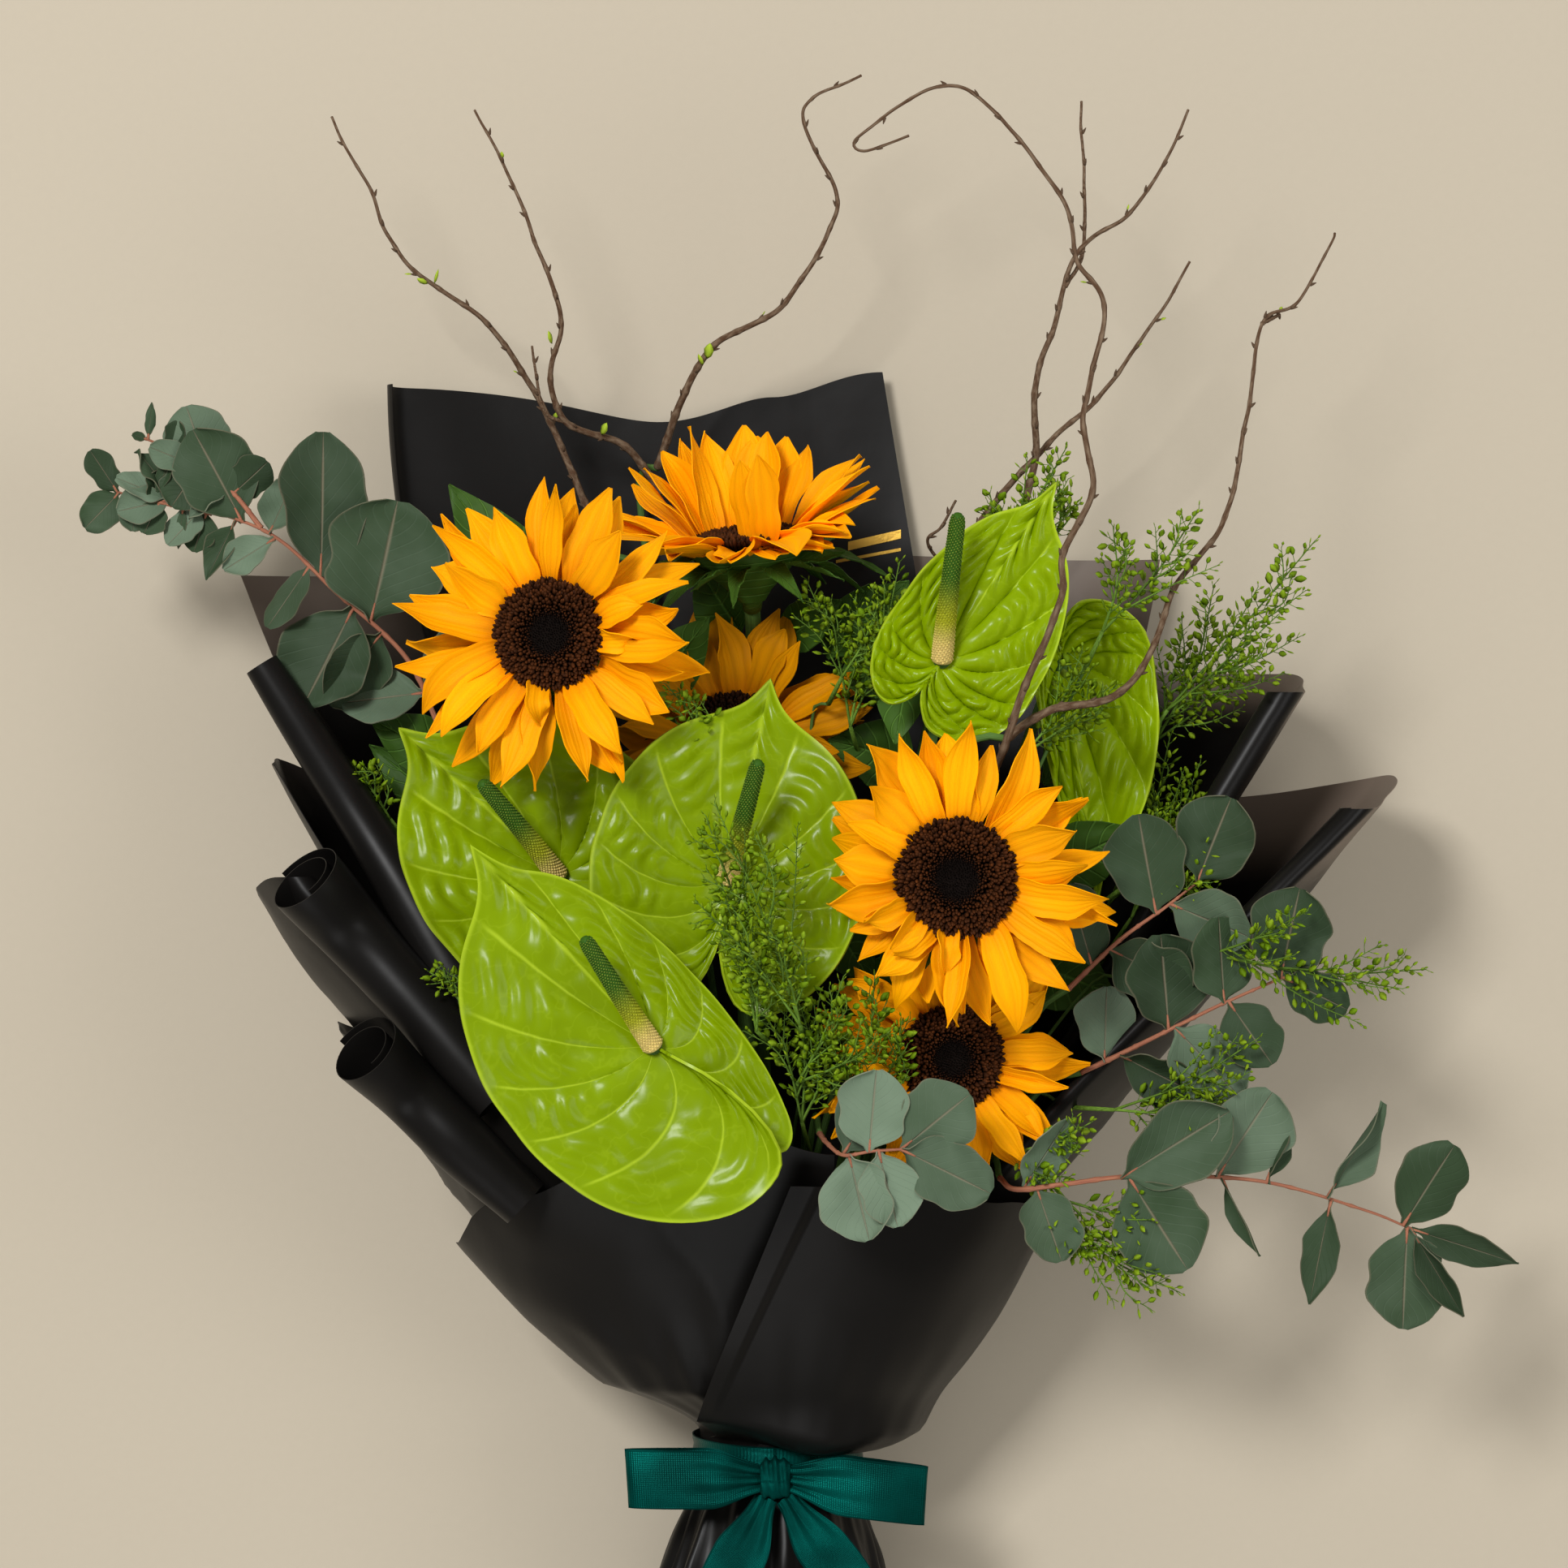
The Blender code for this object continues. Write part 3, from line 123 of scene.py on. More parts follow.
FOOT_TOP = -315.6             # y where the gathered foot of the wrap starts, inside the band
FOOT_STRAIGHT = -326
FOOT_END = -424
FOOT_WALL = 1.2
FOOT_NECK = 33.5
FOOT_REACH = dict(left=74, right=66, back=57, front=62)
FOOT_FOLDS = 8
FOOT_FOLD_DEPTH = 5
FOOT_FLARE = 0.7              # power of the flare, less than 1 opens soon
FOOT_REST = 0.6               # lowest height above the floor
FOOT_ROWS, FOOT_STEPS, FOOT_SEED = 40, 220, 5

HEM_RISE = 2.6                # height of a folded hem over its sheet
SCROLL_TURN, SCROLL_START = 560, 200    # degrees that a scroll is wound, and where it starts
SCROLL_WINDS_IN = 0.42        # share of its radius by which a scroll winds inwards
SCROLL_ROWS, SCROLL_STEPS = 44, 64

# The two printed bars: start and end in pixels of the frame, and half the bar's width.
BARS = [((1045, 673), (1110, 658), 2.0), ((1030, 692), (1110, 677), 0.7)]
BAR_THICKNESS, BAR_LIFT, BAR_STEPS = 0.15, 0.35, 24
FRAME_PIXELS = 1932             # the camera sees a square frame of so many pixels
EYE_HEIGHT = 2108               # of the camera above the floor
PIXEL, PIXEL_PLANE = 0.3704, 120    # a pixel's size at this height above the floor

# ---- ribbon ------------------------------------------------------------------------------------
RIBBON = 0.7                # thickness
BAND_Y = (-324, -306)
BAND_RADIUS = 38.9
BAND_SLANT = 2.2
BAND_ROWS, BAND_STEPS = 9, 120
KNOT = Vector((-4, -319, 106.7))
KNOT_SIZE = (8.5, 10, 6.5)
KNOT_ROWS, KNOT_STEPS = 29, 48
LOOP_WIDTH = 27
LOOP_GAP = 5.5              # half the opening of a bow loop
# A loop's course out from the knot and back: share of the way to its end, and height.
LOOP_COURSE = [(0.0, 1.6), (0.12, 3.4), (0.3, 5.0), (0.5, LOOP_GAP), (0.72, LOOP_GAP), (0.9, 4.0),
               (0.985, 2.0), (1.0, 0.0), (0.985, -1.8), (0.9, -3.0), (0.72, -3.8), (0.5, -3.6),
               (0.3, -3.0), (0.12, -2.2), (0.0, -1.2)]
LOOP_COLUMNS = 19
LOOPS = {"bow_loop_left": Vector((-72, -319, 106)), "bow_loop_right": Vector((65, -327, 107))}
TAIL_WIDTH, TAIL_COLUMNS = 25, 15
TAILS = {
    "bow_tail_left": [(-8.4, -328.0, 106.2), (-16, -345, 114), (-28, -368, 122), (-34, -398, 127)],
    "bow_tail_right": [(1.2, -327.6, 107.4), (14, -345, 115), (30, -366, 123), (38, -392, 127)],
}

# ---- stems -------------------------------------------------------------------------------------
STEM_END = -414             # y of the cut ends
BUNDLE_RADIUS = 22          # the stems' places in the tie lie within this
BINDING = 25.0              # radius of the twine that binds the bundle
TWINE, COILS, COIL_STEP = 1.3, 9, 3.1
STEM_ROWS = 64
STEM_LEG = 26               # a stem's last straight run, up to what it carries
STEM_RADII = dict(sunflower=4.6, anthurium=3.4, eucalyptus=2.0, willow=2.2, cress=1.6)

# ---- blooms ------------------------------------------------------------------------------------
HEAD_DEPTH = 24             # from the petals' plane down to the neck
HEAD_NECK = 9               # the stem's top, in one piece with the head
DISC = 25                   # radius of a sunflower's disc
# Each sunflower: the disc's centre, the way that it faces, its size, the lift of its inner and
# outer petals in degrees, the way that its stem arrives and a point on the stem's way round a bloom
# in front.  The one seen from its side hangs its near petals, all but one.
SUNFLOWERS = {
    "sunflower_1": dict(centre=(-102, 65, 205), faces=(-0.12, 0.10, 1), size=1.0, lift=(26, 8),
        disc=0.86, curled=(168, 262, 284)),
    "sunflower_2": dict(centre=(-17, 110, 134), faces=(-0.10, 0.98, 0.17), size=1.05, lift=(50, 38),
        disc=0.8, dome=0.3, far=26, bracts=1.5, hangs=True, arrival=(0, 0.6, 0.8),
        by=(-20, 24, 66)),
    # sunflower_3 lies deep among the other blooms: its shade is painted shade, which darkens its petals and
    # the tips of its florets
    "sunflower_3": dict(centre=(-23, 20, 122), faces=(0.0, 0.34, 1), size=1.0, lift=(40, 20), disc=0.76,
        shade=0.62),
    "sunflower_4": dict(centre=(75, -41, 211), faces=(-0.05, -0.04, 1), size=1.02, lift=(24, 6),
        disc=0.92, short=(-1, -0.2, 0), curled=(120, 138, 153, 170)),
    "sunflower_5": dict(centre=(74, -122, 168), faces=(0.22, 0.02, 1), size=0.92, lift=(28, 12), disc=0.9),
}
HANG = 4                    # how far the near petals' tips drop
UPRIGHT = 0.95              # a petal of the first ring that rises more than this stands upright
UPRIGHT_SHIFT = 7           # how far the upright petal stands to the right
PETAL, GREEN_LEAF = 0.45, 0.6       # thickness of a petal, and of a bract or green leaf
PETAL_ROWS = 15
# The disc's ground: share of the way out, and how far that ring lies below the rim.
DISC_RINGS = [(0.02, 0), (0.2, 0), (0.45, 0), (0.7, 0), (0.9, 0), (1.0, 0), (1.0, -4), (0.8, -6)]
DISC_SIDES = 48
# One floret and the head's green back, as (radius, height) rings.
FLORET, FLORET_SIZE = [(0.26, -0.2), (0.28, 1.0), (0.42, 1.55), (0.24, 2.1), (0, 2.4)], 2.0
HEAD_PROFILE = [(5.2, -HEAD_DEPTH - 2), (8.5, -21.5), (13, -17), (18, -12.5), (22, -8), (24.5, -4),
                (24, -1.5)]
HEAD_SIDES = 40
BRACTS, BRACT_LENGTHS, BRACT_HALF = 13, (25, 21), 5.2
NEAR_SIDE = 0.30            # a petal hangs where its direction rises more than this to the front

KNOB = 8                    # an anthurium stem's top, in one piece with the spathe
SPATHE = 1.3                # thickness
# Each anthurium: where the spadix stands, the tip, the way that the bowl faces, the lobes' reach
# behind the spadix and the right and left half widths as shares of the way to the tip, how each
# half rises with its width, the spadix's tip, how deep the blade is puckered, how far the notch
# reaches from the spadix, and the degrees by which the left lobe laps over the right one.
ANTHURIUMS = {
    "anthurium_1": dict(foot=(-101, -41, 160), tip=(-164, 18, 166), faces=(0.16, 0.12, 1), lobes=0.60,
        widths=(0.70, 0.70), folds=(0.10, 0.10), spadix=(-133, 1, 196), pucker=0.9),
    "anthurium_2": dict(foot=(-25, -42, 180), tip=(-8, 37, 182), faces=(0.0, 0.0, 1), lobes=0.72,
        widths=(0.76, 0.76), folds=(0.10, 0.10), spadix=(-11, 10, 218), pucker=0.75,
        sinus=0.12, overlap=8),
    "anthurium_3": dict(foot=(-57, -114, 212), tip=(-128, -36, 214), faces=(-0.08, 0.06, 1), lobes=0.72,
        widths=(0.32, 0.66), folds=(-0.55, 0.10), spadix=(-86, -66, 238), pucker=0.75,
        sinus=0.06, overlap=26),
    # anthurium_4 and anthurium_5 have a shade below 0, which paints them lighter: partly their own paler
    # green, partly painted light
    "anthurium_4": dict(foot=(70, 55, 178), tip=(115, 125, 184), faces=(-0.06, 0.06, 1), lobes=0.36,
        widths=(0.52, 0.36), folds=(-0.18, 0.15), spadix=(76, 118, 208), pucker=1.3,
        shade=-0.4),
    "anthurium_5": dict(foot=(128, 54, 108), tip=(142, -42, 118), faces=(0.12, 0.0, 1), lobes=0.30,
        widths=(0.16, 0.42), folds=(0.05, 0.10), spadix=None, pucker=1.4, shade=-0.8),
}
# The spathe's outline round the spadix's foot: degrees from the tip, and the reach as a share of
# the way to the tip, before it is drawn in or out to the spathe's own width and lobes.
SPATHE_OUTLINE = [(0, 1.0), (9, 0.92), (25, 0.86), (48, 0.74), (76, 0.65), (104, 0.64), (128, 0.67),
                  (150, 0.71), (167, 0.66), (180, 0.30)]
OUTLINE_WIDTH, OUTLINE_LOBES = 0.65, 0.66
SPATHE_RAYS, SPATHE_RINGS = 181, 46
SPADIX = (4.9, 3.2)         # radius at its foot and near its tip
SPADIX_TIP = (0.55, 0.82, 0.95)     # shares of that at its last rings, from the tip backwards
SPADIX_ROWS = 40
GRAINS, GRAIN_SIZE = 1000, 0.95
GRAIN = [(0.62, 0.0), (0.5, 0.55), (0, 0.85)]       # (radius, height) rings

# ---- foliage -----------------------------------------------------------------------------------
# Eucalyptus: the stem's route, then leaves as (share along the stem, degrees from its direction,
# length, width as a share of the length, degrees that the blade turns out of the spread).  A pale
# spray has more bloom on its leaves.
EUCALYPTUS = {
    "eucalyptus_1": dict(
        pale=0.25,
        route=[(-158, 26, 112), (-173, 58, 116), (-205, 88, 120), (-236, 115, 118), (-283, 131, 110)],
        leaves=[(0.10, 75, 34, 0.75, 20), (0.12, -80, 40, 0.80, -15), (0.30, 95, 36, 0.8, -25),
                (0.34, -62, 50, 1.0, 10), (0.40, 105, 44, 0.85, 10), (0.52, -48, 58, 0.60, 25),
                (0.56, 100, 30, 0.60, 50), (0.68, 70, 24, 0.6, 30), (0.70, -78, 24, 0.7, -20),
                (0.78, -42, 42, 0.75, 15), (0.80, 85, 27, 0.45, 20), (0.88, -60, 22, 0.8, 10),
                (0.90, 65, 20, 0.8, 20), (0.97, -35, 26, 0.5, 30), (0.99, 30, 22, 0.7, 5),
                (1.0, -5, 22, 0.55, 20)]),
    "eucalyptus_2": dict(
        route=[(134, -130, 148), (160, -116, 161), (193, -99, 168), (222, -86, 170)],
        leaves=[(0.12, 60, 30, 0.8, 20), (0.20, -55, 34, 0.6, 30), (0.45, 68, 38, 0.95, 10),
                (0.48, -75, 38, 0.75, 15), (0.72, 70, 34, 0.9, 30), (0.74, -80, 30, 0.8, -10),
                (0.99, 55, 36, 0.9, 5), (1.0, -50, 28, 0.85, 20)]),
    "eucalyptus_3": dict(
        route=[(97, -177, 152), (103, -180, 174), (124, -177, 182), (157, -174, 176), (212, -177, 166),
               (260, -191, 154), (282, -200, 150)],
        leaves=[(0.12, 70, 32, 0.6, 25), (0.16, -80, 30, 0.8, 10), (0.34, 30, 50, 0.62, 10),
                (0.36, -60, 42, 0.85, 15), (0.55, 60, 40, 0.85, 20), (0.56, -62, 34, 0.25, 60),
                (0.66, 85, 30, 0.3, 70), (0.80, 78, 44, 0.32, 20), (0.81, -85, 42, 0.36, 25),
                (0.98, 80, 38, 0.8, 15), (0.99, -72, 40, 0.9, -10), (1.0, 4, 44, 0.4, 20),
                (1.0, -38, 40, 0.3, 35)]),
    "eucalyptus_4": dict(
        pale=0.65,
        route=[(16, -156, 165), (19, -158, 192), (26, -162, 207), (38, -160, 211), (51, -159, 212)],
        leaves=[(0.62, 60, 30, 0.8, 15), (0.66, -75, 34, 0.85, 10), (0.80, 75, 32, 0.9, 5),
                (0.86, -80, 30, 0.8, -10), (1.0, 35, 34, 0.85, 10), (1.0, -30, 38, 0.7, 10)]),
    "eucalyptus_5": dict(
        route=[(128, -92, 150), (150, -70, 160), (170, -55, 166), (184, -44, 166)],
        leaves=[(0.20, 60, 34, 0.7, 10), (0.35, -70, 36, 0.8, 20), (0.70, 65, 40, 0.8, 5),
                (0.80, -60, 34, 0.8, 15), (1.0, 30, 36, 0.9, 10)]),
}
# Side shoots in the same form, which stand on the first spray's route.
MORE_EUCALYPTUS = [
    dict(route=[(-239, 117, 117), (-250, 131, 116), (-261, 141, 115), (-276, 151, 114), (-292, 158, 113)],
         leaves=[(0.30, -95, 19, 0.95, 10), (0.34, 80, 20, 0.5, 40), (0.52, -35, 28, 0.95, 5),
                 (0.55, 15, 24, 0.55, 20), (0.60, 90, 20, 1.0, -10), (0.80, 95, 18, 0.45, 20),
                 (0.82, -80, 12, 0.7, 10), (0.99, -75, 15, 0.28, 10), (1.0, 5, 6, 0.6, 0)]),
    dict(route=[(-262, 124, 114), (-276, 127, 112), (-291, 130, 110), (-306, 134, 108)],
         leaves=[(0.05, 85, 17, 0.9, 10), (0.10, -80, 14, 0.9, -10), (0.30, 95, 17, 0.35, 30),
                 (0.36, -70, 14, 0.8, 20), (0.55, 75, 14, 1.0, 10), (0.62, -85, 13, 0.75, 30),
                 (0.80, 100, 14, 0.9, 0), (0.98, 62, 20, 0.8, 15), (1.0, -42, 20, 0.62, 10)]),
]
LEAF_RISE = 0.1             # how far a leaf's tip rises, as a share of its length

# Curly willow: each twig's route, and its side twigs.
WILLOW = {
    "willow_1": [[(-80, 108, 46), (-96, 138, 52), (-118, 185, 58), (-139, 215, 70), (-169, 237, 76),
                  (-184, 255, 80), (-193, 278, 84), (-204, 296, 88), (-210, 309, 90)]],
    "willow_2": [[(-58, 138, 44), (-75, 159, 52), (-101, 169, 64), (-109, 187, 74), (-104, 213, 82),
                  (-108, 232, 88), (-126, 279, 98), (-143, 311, 100)],
                 [(-101, 169, 64), (-113, 176, 70), (-117, 204, 77)]],
    "willow_3": [[(-60, 150, 40), (-48, 181, 58), (-33, 205, 68), (-2, 222, 76), (20, 255, 82),
                  (24, 275, 86), (9, 305, 92), (13, 317, 94), (36, 327, 96)]],
    "willow_4": [[(90, -2, 172), (96, 14, 198), (106, 45, 212), (120, 80, 212), (122, 101, 210),
                  (135, 130, 198), (132, 163, 184), (143, 212, 165), (131, 235, 155), (126, 262, 146),
                  (97, 304, 130), (72, 318, 124), (35, 297, 116), (37, 290, 114), (57, 297, 112)]],
    "willow_5": [[(108, 112, 84), (116, 150, 96), (115, 181, 104), (124, 211, 108), (135, 244, 112),
                  (157, 260, 118), (172, 280, 122), (184, 307, 126)],
                 [(129, 228, 110), (138, 249, 104), (137, 315, 100)]],
    "willow_6": [[(84, 92, 70), (92, 122, 82), (121, 156, 88), (148, 182, 92), (170, 212, 94),
                  (187, 241, 96)],
                 [(84, 92, 70), (67, 111, 88), (73, 119, 94), (80, 131, 98)]],
    "willow_7": [[(98, 20, 188), (117, 33, 196), (145, 38, 190), (163, 60, 180), (175, 89, 168),
                  (198, 119, 156), (210, 171, 140), (217, 209, 130), (234, 220, 124),
                  (250, 247, 118), (252, 252, 116)],
                 [(217, 209, 130), (226, 214, 122), (221, 211, 116)]],
}
WILLOW_RADII = (2.0, 0.6)       # at a twig's foot and at its tip
WILLOW_NODE = 11                # points of a twig's path from node to node
WILLOW_SEED = 11
# Open buds: place, and the way that each one points.
GREEN_BUDS = [
    ((-166, 233, 78), (-1, 0.5, 0.3)), ((-163, 233, 78), (0.3, 1, 0.2)), ((-36, 199, 68), (0.2, 1, 0.3)),
    ((-38, 196, 67), (-0.4, 1, 0.4)), ((-86, 164, 60), (0.5, 1, 0.5)), ((-108, 205, 78), (-0.3, 1, 0.5)),
]

# Field cress: where each stem starts, where it forks, and the tips of the sprigs beyond the fork.
CRESS = {
    "cress_1": [(84, 84, 128), (92, 98, 142), (126, 150, 160), (92, 130, 160)],
    "cress_2": [(134, 50, 158), (142, 68, 166), (184, 122, 176), (146, 114, 176)],
    "cress_3": [(156, 4, 90), (176, 34, 110), (240, 110, 140), (222, 76, 150)],
    "cress_4": [(146, -52, 142), (158, -42, 154), (196, -20, 160), (190, -44, 166)],
    "cress_5": [(156, -88, 150), (190, -76, 166), (284, -82, 182), (230, -56, 192)],
    "cress_6": [(128, -146, 140), (148, -146, 156), (210, -112, 184), (196, -138, 176)],
    "cress_7": [(106, -162, 146), (117, -183, 172), (176, -226, 172), (138, -210, 176)],
    "cress_8": [(20, 36, 146), (26, 48, 160), (42, 80, 176)],
    "cress_9": [(9, -114, 168), (7, -105, 207), (-30, -8, 228), (-8, -58, 232), (-38, -50, 240)],
    "cress_10": [(6, -142, 152), (6, -132, 184), (26, -84, 206), (46, -108, 208)],
    "cress_11": [(103, 2, 160), (108, 14, 166), (133, 60, 168), (148, 44, 172)],
}

# Long open scrolls of film along the wrap's left side: route, and radius at its first and last end.
SCROLLS = [
    ([(-238, 54, 128), (-200, -6, 126), (-172, -50, 132), (-140, -104, 138)], (9, 17)),
    ([(-215, -43, 162), (-196, -66, 147), (-165, -100, 152), (-128, -142, 160)], (20, 14)),
    ([(-186, -118, 182), (-168, -138, 164), (-146, -160, 164), (-116, -188, 164)], (19, 14)),
]

# More sprigs in the same form, in the gaps between the blooms.
MORE_CRESS = [
    [(12, -166, 150), (8, -150, 176), (-14, -92, 196), (4, -84, 192), (26, -100, 190)],
    [(30, -160, 150), (34, -148, 174), (40, -84, 190), (52, -104, 192), (22, -118, 198)],
    [(-2, -120, 160), (-12, -108, 204), (-34, -14, 214), (-27, -44, 222), (-20, -76, 222)],
    [(34, 14, 120), (30, 26, 140), (10, 92, 150), (32, 84, 152), (52, 100, 150)],
    [(-36, 4, 160), (-38, 10, 176), (-52, 44, 186)],
    [(142, -76, 84), (150, -56, 92), (164, 6, 96), (178, 22, 100), (192, 10, 100)],
    [(146, -84, 90), (160, -62, 100), (176, -24, 106), (196, -30, 112), (172, -4, 108)],
    [(166, 0, 84), (172, 20, 92), (198, 92, 104), (184, 70, 98), (216, 60, 108)],
    [(100, -158, 150), (104, -164, 166), (136, -150, 178), (126, -174, 180)],
    [(112, -170, 150), (126, -186, 166), (158, -206, 172), (170, -190, 172)],
    [(120, 104, 100), (124, 110, 116), (108, 128, 140), (120, 138, 130)],
    [(-170, -30, 110), (-180, -16, 118), (-198, 8, 124)],
    [(-138, -112, 150), (-144, -102, 160), (-158, -84, 166)],
]

# Broad green leaves: foot, tip, half width, and the way that the blade faces.
LEAVES = {
    "leaf_1": ((-104, 72, 150), (-150, 134, 158), 17, (0, 0.2, 1)),
    "leaf_2": ((20, 60, 80), (58, 94, 92), 15, (0, 0, 1)),
    "leaf_3": ((-130, -30, 96), (-192, 18, 92), 15, (0, 0, 1)),
}

band_low, band_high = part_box("ribbon_band")
SHIFT = (band_low + band_high) / 2 - BAND_MIDDLE * MM


def in_row(points):
    """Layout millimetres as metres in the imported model's frame."""
    return np.asarray(points, float) * MM + np.array(SHIFT)


# ---- sizes and colours that a user would change -------------------------------------------------
def colour(name, description, value):
    return FloatVectorProperty(name=name, description=description, subtype="COLOR", size=4,
                               default=(*value, 1), min=0, max=1)


def length(name, description, value):
    return FloatProperty(name=name, description=description + ", in millimetres", default=value, min=0)


class BouquetSizes(bpy.types.PropertyGroup):
    petal_length: length("Petal length", "A ray petal's length on a sunflower of size 1", 48.5)
    petal_half_width: length("Petal half width", "Half of a ray petal's greatest width", 7.1)
    floret_step: length("Floret step", "Distance between two florets of a sunflower's disc", 1.22)
    pod: length("Pod", "Length of a cress pod", 4.9)
    pod_step: length("Pod step", "Distance between two cress pods along a sprig", 1.9)
    crumple: length("Crumple", "Depth of the film's creases", 2.6)
    petals: IntProperty(name="Petals", description="Ray petals in one row of a sunflower",
                        default=17, min=3)
    sister_sprigs: IntProperty(name="Sister sprigs", description="Cress sprigs beside each main one",
                               default=5, min=0)


class BouquetColours(bpy.types.PropertyGroup):
    petal: colour("Petal", "Ray petals", (1.0, 0.395, 0.0))
    # the petal root's deeper orange is partly the petals' own colour and partly painted shade beside the disc
    petal_root: colour("Petal root", "Ray petals beside the disc", (0.88, 0.21, 0.0))
    floret: colour("Floret", "Disc florets", (0.0050, 0.0022, 0.0012))
    floret_tip: colour("Floret tip", "Tips of the disc florets", (0.075, 0.020, 0.003))
    spathe: colour("Spathe", "Anthurium bowls", (0.186, 0.284, 0.0))
    spathe_vein: colour("Spathe vein", "Veins and margin of the anthurium bowls", (0.37, 0.50, 0.02))
    spadix_foot: colour("Spadix foot", "Lower end of a spadix", (0.66, 0.50, 0.17))
    spadix_tip: colour("Spadix tip", "Upper end of a spadix", (0.035, 0.105, 0.008))
    eucalyptus: colour("Eucalyptus", "Eucalyptus leaves", (0.043, 0.076, 0.035))
    eucalyptus_bloom: colour("Eucalyptus bloom", "Pale bloom on the leaves", (0.138, 0.192, 0.130))
    eucalyptus_twig: colour("Eucalyptus twig", "Stem of a eucalyptus spray", (0.30, 0.10, 0.065))
    willow: colour("Willow", "Bark of the curly willow", (0.085, 0.045, 0.024))
    willow_grey: colour("Willow grey", "Weathered bark", (0.20, 0.14, 0.09))
    bud: colour("Bud", "Opening willow buds", (0.38, 0.52, 0.04))
    cress: colour("Cress", "Cress pods", (0.115, 0.215, 0.002))
    cress_stem: colour("Cress stem", "Cress stems", (0.075, 0.145, 0.012))
    stem: colour("Stem", "Flower stems", (0.060, 0.125, 0.025))
    leaf: colour("Leaf", "Broad leaves and bracts", (0.040, 0.098, 0.010))
    film: colour("Film", "Doubled wrapping film", (0.0058, 0.0052, 0.0047))
    film_thin: colour("Thin film", "Film in a single layer", (0.155, 0.118, 0.092))
    ribbon: colour("Ribbon", "Satin ribbon", (0.0, 0.066, 0.054))
    gold: colour("Gold", "Printed bars", (0.60, 0.36, 0.06))
    twine: colour("Twine", "Twine round the stems", (0.38, 0.28, 0.16))
    floor: colour("Floor", "Floor below the bouquet", (0.485, 0.428, 0.335))


def sizes():
    return bpy.context.scene.bouquet_sizes


def colours():
    return bpy.context.scene.bouquet_colours


VEINS = 5                   # main veins in each half of an anthurium's bowl
SPADIX_YELLOW = (0.33, 0.34, 0.012, 1)


# ---- shader expressions -------------------------------------------------------------------------
def feed(tree, socket, value):
    """Give a socket a value, or the term or socket that varies it."""
    value = getattr(value, "socket", value)
    if isinstance(value, bpy.types.NodeSocket):
        tree.links.new(value, socket)
    else:
        socket.default_value = value


def add_node(tree, kind, settings=None, values=None):
    """A node with its settings, and a value or a source for each of its inputs."""
    made = tree.nodes.new(kind)
    for name, value in (settings or {}).items():
        setattr(made, name, value)
    for name, value in (values or {}).items():
        feed(tree, made.inputs[name], value)
    return made


class Term:
    """A value that varies over a surface; arithmetic on it adds Math nodes."""

    def __init__(self, paint, socket):
        self.paint, self.socket = paint, socket

    def math(self, operation, *values):
        made = self.paint.node("ShaderNodeMath", dict(operation=operation), dict(enumerate(values)))
        return Term(self.paint, made.outputs[0])

    def __add__(self, other):
        return self.math("ADD", self, other)

    __radd__ = __add__

    def __sub__(self, other):
        return self.math("SUBTRACT", self, other)

    def __rsub__(self, other):
        return self.math("SUBTRACT", other, self)

    def __mul__(self, other):
        return self.math("MULTIPLY", self, other)

    __rmul__ = __mul__

    def __abs__(self):
        return self.math("ABSOLUTE", self)

    def wave(self):
        return self.math("SINE", self)

    def fraction(self):
        return self.math("FRACT", self)

    def between(self, low, high, first=0.0, last=1.0):
        """Eased step from the first value to the last as this goes from low to high."""
        made = self.paint.node("ShaderNodeMapRange", dict(interpolation_type="SMOOTHSTEP"),
                               {"Value": self, "From Min": low, "From Max": high, "To Min": first,
                                "To Max": last})
        return Term(self.paint, made.outputs[0])


class Paint:
    """One material: its shader, and the nodes that drive it."""

    def __init__(self, name, **constants):
        self.material = bpy.data.materials.new(name)
        self.material.use_nodes = True
        self.tree = self.material.node_tree
        self.shader = self.tree.nodes["Principled BSDF"]
        for socket, value in constants.items():
            self.shader.inputs[socket.replace("_", " ")].default_value = value
        place = self.node("ShaderNodeAttribute", dict(attribute_name="place"))
        split = self.node("ShaderNodeSeparateXYZ", {}, {0: place.outputs["Vector"]})
        self.along, self.over, self.chance = (Term(self, split.outputs[i]) for i in range(3))
        self.extra = Term(self, place.outputs["Alpha"])
        self.spot = self.node("ShaderNodeTexCoord").outputs["Object"]

    def node(self, kind, settings=None, values=None):
        return add_node(self.tree, kind, settings, values)

    def vector(self, x, y, z=0.0):
        return self.node("ShaderNodeCombineXYZ", {}, {0: x, 1: y, 2: z}).outputs[0]

    def noise(self, scale, detail=2.0, at=None):
        made = self.node("ShaderNodeTexNoise", {},
                         {"Vector": at or self.spot, "Scale": scale, "Detail": detail})
        return Term(self, made.outputs[0])

    def cells(self, scale):
        made = self.node("ShaderNodeTexVoronoi", {}, {"Vector": self.spot, "Scale": scale})
        return Term(self, made.outputs["Distance"])

    def mix(self, share, first, second, blend="MIX"):
        """Blend of two colours, each a tuple of four or a socket."""
        settings = dict(data_type="RGBA", blend_type=blend)
        return self.node("ShaderNodeMix", settings, {0: share, 6: first, 7: second}).outputs[2]

    def shade(self, colour, amount):
        """The colour made darker or lighter by a varying amount round 1."""
        grey = self.node("ShaderNodeCombineColor", {}, {0: amount, 1: amount, 2: amount}).outputs[0]
        return self.mix(1, colour, grey, "MULTIPLY")

    def set(self, base, rough, height=None, depth=0.001, strength=1.0):
        """Feed the shader; height is in units of depth, which is in metres."""
        feed(self.tree, self.shader.inputs["Base Color"], base)
        feed(self.tree, self.shader.inputs["Roughness"], rough)
        if height is not None:
            bump = self.node("ShaderNodeBump", {},
                             {"Height": height, "Distance": depth, "Strength": strength})
            feed(self.tree, self.shader.inputs["Normal"], bump.outputs[0])
        return self.material


